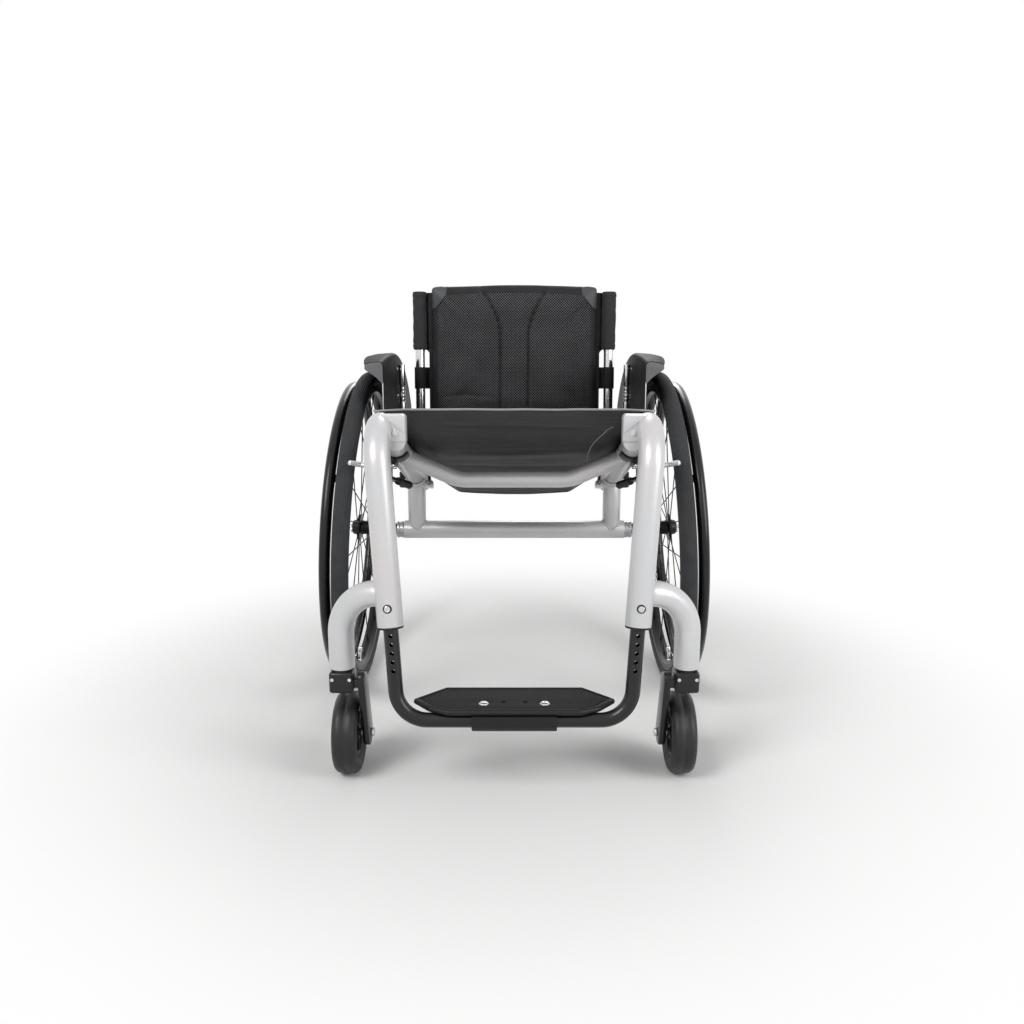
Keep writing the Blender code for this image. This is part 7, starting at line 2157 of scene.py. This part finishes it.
def back_panel():
    """Cloth between the sleeves, hanging in a shallow curve, narrower below them where it is free."""
    rows = []
    for i in range(PANEL_ROWS + 1):
        up = PANEL_BOTTOM + (SLEEVE_TOP - 0.002 - PANEL_BOTTOM) * i / PANEL_ROWS
        free = HINGE.x - CANE_RADIUS - SLEEVE_WALL - PANEL_SIDE_GAP
        sewn = HINGE.x - CANE_RADIUS * 0.6
        t = max(0.0, min(1.0, (up - SLEEVE_BOTTOM + 0.004) / 0.008))
        half = free + (sewn - free) * t
        row = []
        for k in range(-PANEL_COLUMNS, PANEL_COLUMNS + 1):
            x = half * k / PANEL_COLUMNS
            close = CANE_RADIUS * 0.9 * t * max(0.0, (abs(k) - PANEL_COLUMNS + 4) / 4) ** 2
            free_share = 1 - (k / PANEL_COLUMNS) ** 4
            slack = PANEL_SLACK * noise.noise(Vector((x * 14, up * 20, 1.7))) * free_share
            row.append(back_frame(x, up, -panel_depth(x) - close - max(0.0, slack)))
        rows.append(row)
    panel = surface("back_upholstery", shell(rows, PANEL_THICK, even=False), "coated_nylon", "back", 50)
    half = PANEL_THICK / 2 + BINDING_PROUD
    low = band_of_tape(rows[0], CANE_UP, -BINDING_LAP, BINDING_WIDTH, half)
    high = band_of_tape(rows[-1], CANE_UP, -BINDING_WIDTH, BINDING_LAP, half)
    for name, tape in (("low", low), ("high", high)):
        piece(f"panel_tape_{name}", tape, "binding_tape", "back", 50)
    rear = -CANE_FORWARD * (PANEL_THICK / 2 + 0.0002)
    lines = [[p + rear for p in rows[k]] for k in (3, 31)]
    lines += [[row[k] + rear for row in rows[2:-2]] for k in (3, 77)]
    seams("panel_stitches", lines, "back")


def strap_outline(radius, thickness, start, sag):
    """Outline, square to the canes, of webbing round both canes and across behind the back."""
    loop = arc((HINGE.x, 0), radius, -125, 125, 48)
    shares = [0.93 - 0.93 * k / 24 for k in range(25)]
    front = [(HINGE.x * k, thickness * 0.5 + start + sag * (1 - k * k)) for k in shares]
    back = [(a, b - thickness) for a, b in front]
    left = [(-a, -b) for a, b in loop]
    front_left, back_left = [(-a, b) for a, b in front[-2::-1]], [(-a, b) for a, b in back[:-1]]
    return [*loop, *front, *front_left, *left, *back_left, *back[::-1]]


def back_strap(node, low, high):
    """Tension strap: a webbing loop round each cane, and a flap that fastens back on itself behind."""
    bore = CANE_RADIUS + RUN_GAP
    outline = strap_outline(CANE_RADIUS + STRAP_WALL, STRAP_WALL, STRAP_SET, STRAP_SAG)
    holes = [circle((side * HINGE.x, 0), bore, 48) for _, side in SIDES]
    shape = bmesh.new()
    middle = back_plan((low + high) / 2)
    slab(shape, outline, high - low, middle, 0.0005, holes)
    strap = surface(node, shape, "strap_webbing", "back", 40)
    flaps, lines = bmesh.new(), []
    for _, side in SIDES:
        xs = [HINGE.x * (0.9 - 0.34 * k / 12) for k in range(13)]
        face = STRAP_SET + STRAP_WALL * 0.5 + 0.0003
        near = [(side * x, face + STRAP_SAG * (1 - (x / HINGE.x) ** 2)) for x in xs]
        far = [(a, b + 0.0018) for a, b in near[::-1]]
        far[0] = (far[0][0], far[0][1] - 0.0008)
        slab(flaps, [*near, *far], high - low - 0.004, middle, 0.0004)
        inner, outer = Vector((*near[9], 0)), Vector((*near[11], 0))
        corners = [(inner, low + 0.006), (outer, low + 0.006), (outer, high - 0.006), (inner, high - 0.006)]
        sewn = []
        for (start, up), (end, up_next) in zip(corners, [*corners[1:], corners[0]]):
            for k in range(10):
                plan = back_plan(up + (up_next - up) * k / 10)
                sewn.append(plan @ (start.lerp(end, k / 10) + Vector((0, 0.0021, 0))))
        lines.append(sewn)
    flap = piece(f"{node}_flaps", flaps, "strap_webbing", "back")
    seams(f"{node}_stitches", lines, "back", True)


def seam_x(up):
    """How far from the middle the two sewn channels run at this height on the back."""
    fall = max(0.0, min(1.0, (PAD_TOP - up) / PAD_SEAM_TURN))
    return PAD_SEAM_X_LOW + (PAD_SEAM_X_TOP - PAD_SEAM_X_LOW) * (1 - fall) ** 1.6


def pad_point(x, v, front, crown=PAD_CROWN):
    """Place on the pad's front or rear: across the back, and this share of the way up."""
    u = x / PAD_HALF_WIDTH
    fade = (1 - u ** 6) * (1 - (2 * v - 1) ** 8)
    up = PAD_BOTTOM + (PAD_TOP - PAD_BOTTOM) * v - PAD_CORNER_DROP * u * u * v
    depth = PAD_EDGE_DEPTH + crown * fade * (1 - 0.25 * u * u)
    return back_frame(x, up, depth if front else PANEL_THICK / 2 + PAD_GAP - panel_depth(x))


def on_back(point):
    """A point's place on the back: across, up the canes and forward of them."""
    reach = point - back_frame()
    return reach.x, reach.dot(CANE_UP), reach.dot(CANE_FORWARD)


def over_panel(point):
    """How far a point is in front of the pad's rear face."""
    x, _, forward = on_back(point)
    return forward - (PANEL_THICK / 2 + PAD_GAP - panel_depth(x))


def swollen(mesh):
    """The pad blown up a little in its cover by a cloth simulation, its rear held and its moves capped."""
    start = [v.co.copy() for v in mesh.vertices]
    body = helper(mesh)
    held = body.vertex_groups.new(name="held")
    for v in mesh.vertices:
        held.add([v.index], 1.0 if over_panel(v.co) < PAD_HELD else 0.0, "REPLACE")
    cloth = body.modifiers.new("cover", "CLOTH")
    cloth.settings.use_pressure = True
    cloth.settings.uniform_pressure_force = 4.0
    cloth.settings.vertex_group_mass = "held"
    cloth.settings.effector_weights.gravity = 0.0
    cloth.point_cache.frame_start, cloth.point_cache.frame_end = 1, PAD_STEPS
    scene = bpy.context.scene
    for step in range(1, PAD_STEPS + 1):
        scene.frame_set(step)
    made = evaluated_mesh(body)
    scene.frame_set(1)
    for v, before in zip(made.vertices, start):
        move = v.co - before
        x, up, _ = on_back(before)
        from_corner = max(PAD_HALF_WIDTH - abs(x), PAD_TOP - up)
        most = PAD_SWELL * max(0.0, min(1.0, from_corner / PATCH_HEIGHT - 0.4))
        if move.length > most:
            v.co = before + move.normalized() * most
    return made


def pad_blank():
    """The pad's filling as an even mesh, a little smaller than it ends."""
    crown = PAD_CROWN - ((PAD_SWELL * 0.7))
    shape, rings = bmesh.new(), []
    xs = [PAD_HALF_WIDTH * (k / 32) for k in range(-32, 33)]
    for v in [j / 48 for j in range(49)]:
        rings.append([pad_point(x, v, True, crown) for x in xs] + [pad_point(x, v, False) for x in xs[::-1]])
    skin(shape, rings)
    body = helper(plain_mesh(shape, True))
    even = body.modifiers.new("even", "REMESH")
    even.mode, even.voxel_size = "VOXEL", PAD_VOXEL
    made = evaluated_mesh(body)
    made = swollen(made)
    body = helper(made)
    finer = body.modifiers.new("finer", "SUBSURF")
    finer.levels = finer.render_levels = 1
    return evaluated_mesh(body)


def back_pad():
    """Pad with two sewn channels that flare at the top, a low crease and soft unevenness."""
    shape = reopened(pad_blank())
    axes = {f"use_axis_{axis}": True for axis in "xyz"}
    bmesh.ops.smooth_vert(shape, verts=shape.verts, factor=0.5, **axes)
    for vert in shape.verts:
        x, up, _ = on_back(vert.co)
        share = max(0.0, min(1.0, (over_panel(vert.co) - PAD_HELD) / 0.008))
        gather = 1 + 0.22 * math.sin(up * 2 * math.pi / GATHER_PITCH)
        dent = PAD_SEAM_DEPTH * math.exp(-((abs(x) - seam_x(up)) / PAD_SEAM_WIDTH) ** 2) * gather
        dent *= min(1.0, max(0.0, (PAD_TOP - up) / 0.012))
        along = x - CREASE_START_X
        crease = CREASE_UP + CREASE_WAVE * math.sin(math.pi * along / 0.12)
        if 0 < along < CREASE_LENGTH:
            fade = math.sin(math.pi * along / CREASE_LENGTH)
            dent += CREASE_DEPTH * math.exp(-((up - crease) / CREASE_WIDTH) ** 2) * fade
        dent -= PAD_UNEVENNESS * noise.noise(Vector((x * 26, up * 26, 0.7)))
        vert.co -= CANE_FORWARD * dent * share
    target = BVHTree.FromBMesh(shape)
    pad = surface("back_pad", shape, "spacer_mesh", "back", 60)
    return target


def laid_on(target, rays, lift):
    """A thin closed piece on a surface, where rays from inside it come out; its edges are turned down."""
    upper, lower = [], []
    for i, row in enumerate(rays):
        top, under = [], []
        for j, (origin, way) in enumerate(row):
            way = way.normalized()
            hit = target.ray_cast(origin, way)[0]
            rim_here = i in (0, len(rays) - 1) or j in (0, len(row) - 1)
            top.append(hit + way * (lift * (0.25 if rim_here else 1.0)))
            under.append(hit - way * 0.0008)
        upper.append(top)
        lower.append(under)
    shape = bmesh.new()
    skin(shape, [a + b[::-1] for a, b in zip(upper, lower)])
    return shape, upper


def fanned(origin, start, toward, angles):
    """Rays from one place, turned from the start direction towards another by these angles in degrees."""
    return [(origin, start * math.cos(math.radians(a)) + toward * math.sin(math.radians(a))) for a in angles]


def pad_edge(target, name, origins, toward, lift):
    """Smooth binding over one edge of the pad, fanned out from a line inside it."""
    angles = [10 * k for k in range(16)]
    shape, upper = laid_on(target, [fanned(origin, CANE_FORWARD, toward, angles) for origin in origins], lift)
    strip = piece(name, shape, "binding_tape", "back", 60)
    return [row[1] for row in upper]


def pad_patch(target, name, side):
    """Patch on an upper corner, narrow above and with its inner edge turned outwards low down."""
    rays = []
    for a in [i / 20 for i in range(21)]:
        inner = PAD_HALF_WIDTH - PATCH_WIDTH + 0.006 * a + max(0.0, a - 0.45) * 0.036
        row = []
        for b in [j / 16 for j in range(17)]:
            x = min(inner + (PAD_HALF_WIDTH - inner) * b, PAD_HALF_WIDTH - 0.004)
            top = pad_top(x)
            up = min(top - PATCH_HEIGHT * a, top - 0.005)
            way = CANE_FORWARD + Vector((side, 0, 0)) * 1.6 * b ** 4 + CANE_UP * 1.2 * (1 - a) ** 4
            row.append((back_frame(side * x, up, 0.004), way))
        rays.append(row)
    shape, upper = laid_on(target, rays, 0.0021)
    patch = piece(f"pad_patch_{name}", shape, "synthetic_leather", "back", 60)
    return [row[1] for row in upper[1:20]] + upper[19][2:16]


def pad_top(x):
    """Height of the pad's top edge, a little lower at its corners."""
    return PAD_TOP - PAD_CORNER_DROP * (x / PAD_HALF_WIDTH) ** 2


def pad_trim(target):
    """Binding down both sides, a plain band along the top, a patch on each upper corner, and the sewing."""
    lines = []
    height = PAD_TOP - PAD_CORNER_DROP - PAD_BOTTOM - 0.010
    for name, side in SIDES:
        inner = side * (PAD_HALF_WIDTH - PAD_BINDING)
        origins = [back_frame(inner, PAD_BOTTOM + 0.004 + height * i / 60, 0.006) for i in range(61)]
        outwards = Vector((side, 0, 0))
        lines.append(pad_edge(target, f"pad_binding_{name}", origins, outwards, 0.0009))
    xs = [(PAD_HALF_WIDTH - 0.006) * (2 * i / 64 - 1) for i in range(65)]
    origins = [back_frame(x, pad_top(x) - PAD_TOP_BAND, 0.009) for x in xs]
    lines.append(pad_edge(target, "pad_top_band", origins, CANE_UP, 0.0010))
    lines += [pad_patch(target, name, side) for name, side in SIDES]
    for _, side in SIDES:
        ups = [PAD_BOTTOM + 0.012 + (PAD_TOP - PAD_BOTTOM - 0.030) * k / 79 for k in range(80)]
        origins = [back_frame(side * seam_x(up), up, 0.008) for up in ups]
        lines.append([target.ray_cast(origin, CANE_FORWARD)[0] for origin in origins])
    seams("pad_stitches", lines, "back")


# Stage
def camera():
    data = bpy.data.cameras.new("view")
    data.lens, data.shift_x = VIEW_LENS, VIEW_SHIFT
    obj = helper(data)
    obj.name = "view"
    obj.location = (0, CENTRE_Y - VIEW_DISTANCE, VIEW_HEIGHT)
    obj.rotation_euler = (VIEW_TILT, 0, 0)
    bpy.context.scene.camera = obj


def lamp(name, place, size, power):
    data = bpy.data.lights.new(name, "AREA")
    data.shape = "RECTANGLE"
    data.size, data.size_y = size
    data.energy = power
    obj = helper(data)
    obj.name = name
    obj.matrix_world = frame_along(place, Vector(place) - LAMP_TARGET)


def seen_directly(tree):
    """1 for what the camera sees, straight or in a reflection or through glass, 0 for light on the chair."""
    path = add(tree, "ShaderNodeLightPath").outputs
    seen = add(tree, "ShaderNodeMath", {0: path["Is Camera Ray"], 1: path["Is Glossy Ray"]},
               operation="MAXIMUM")
    return add(tree, "ShaderNodeMath", {0: seen, 1: path["Is Transmission Ray"]}, operation="MAXIMUM")


def backdrop():
    """A white room that lights the chair much less than it shows."""
    world = bpy.data.worlds.new("studio")
    world.use_nodes = True
    bpy.context.scene.world = world
    tree = world.node_tree
    tree.nodes.clear()
    seen = seen_directly(tree)
    room = add(tree, "ShaderNodeBackground", {"Color": (1, 1, 1, 1), "Strength": 0.34})
    white = add(tree, "ShaderNodeBackground", {"Color": (1, 1, 1, 1), "Strength": 1.0})
    mix = add(tree, "ShaderNodeMixShader", {0: seen, 1: room, 2: white})
    add(tree, "ShaderNodeOutputWorld", {0: mix})


def floor_paint():
    # Painted studio floor: a matt off-white whose colour drifts a little; past the chair it turns to the
    # backdrop.
    made, tree, shader, place = begin("studio_floor", "#F6F6F5", 0.9)
    drift = add(tree, "ShaderNodeTexNoise", {"Vector": place, "Scale": 1 / 0.4, "Detail": 2.0})
    tone = add(tree, "ShaderNodeMix", {0: drift, 6: "#F4F4F3", 7: "#F9F9F8"}, data_type="RGBA")
    wire(tree, shader, {"Base Color": tone})
    far = add(tree, "ShaderNodeVectorMath", {0: place}, operation="LENGTH")
    share = add(tree, "ShaderNodeMapRange", {"Value": far, "From Min": 0.42, "From Max": 1.05},
                interpolation_type="SMOOTHSTEP")
    fade = add(tree, "ShaderNodeMath", {0: share, 1: seen_directly(tree)}, operation="MULTIPLY")
    glow = add(tree, "ShaderNodeEmission", {"Color": (1, 1, 1, 1), "Strength": 1.0})
    mix = add(tree, "ShaderNodeMixShader", {0: fade, 1: shader, 2: glow})
    wire(tree, tree.nodes["Material Output"], {0: mix})
    return made


def studio():
    """Pale floor under soft light, white behind: the floor keeps the shadow and fades to white far off."""
    backdrop()
    paint = floor_paint()
    mesh = bpy.data.meshes.new("studio_floor")
    half = FLOOR_HALF
    corners = [(-half, -half, 0), (half, -half, 0), (half, half, 0), (-half, half, 0)]
    mesh.from_pydata(corners, [], [(0, 1, 2, 3)])
    mesh.materials.append(paint)
    floor = helper(mesh)
    floor.name = "studio_floor"
    for settings in LAMPS:
        lamp(*settings)
    bpy.context.scene.view_settings.view_transform = "Standard"


camera()
frame_pieces()
footrest_loop()
footplate()
footplate_clamp()
for name, side in SIDES:
    for make in (
        tyre, rim, hub, spokes, handrim, axle_pin, axle_button, caster_fork, caster_bolt, caster_wheel,
        caster_tread, tube_bush, lock_bracket, lock_pins, lock_bar, lock_lever, side_guard, guard_web,
        guard_rivets, guard_highlight_strip, guard_post, hinge_bracket, back_cane,
    ):
        make(name, side)
seat_sling()
cane_sleeves()
back_panel()
back_strap("back_strap_upper", STRAP_BOTTOM, STRAP_TOP)
back_strap("back_strap_lower", LOW_STRAP_BOTTOM, LOW_STRAP_TOP)
pad_trim(back_pad())
studio()
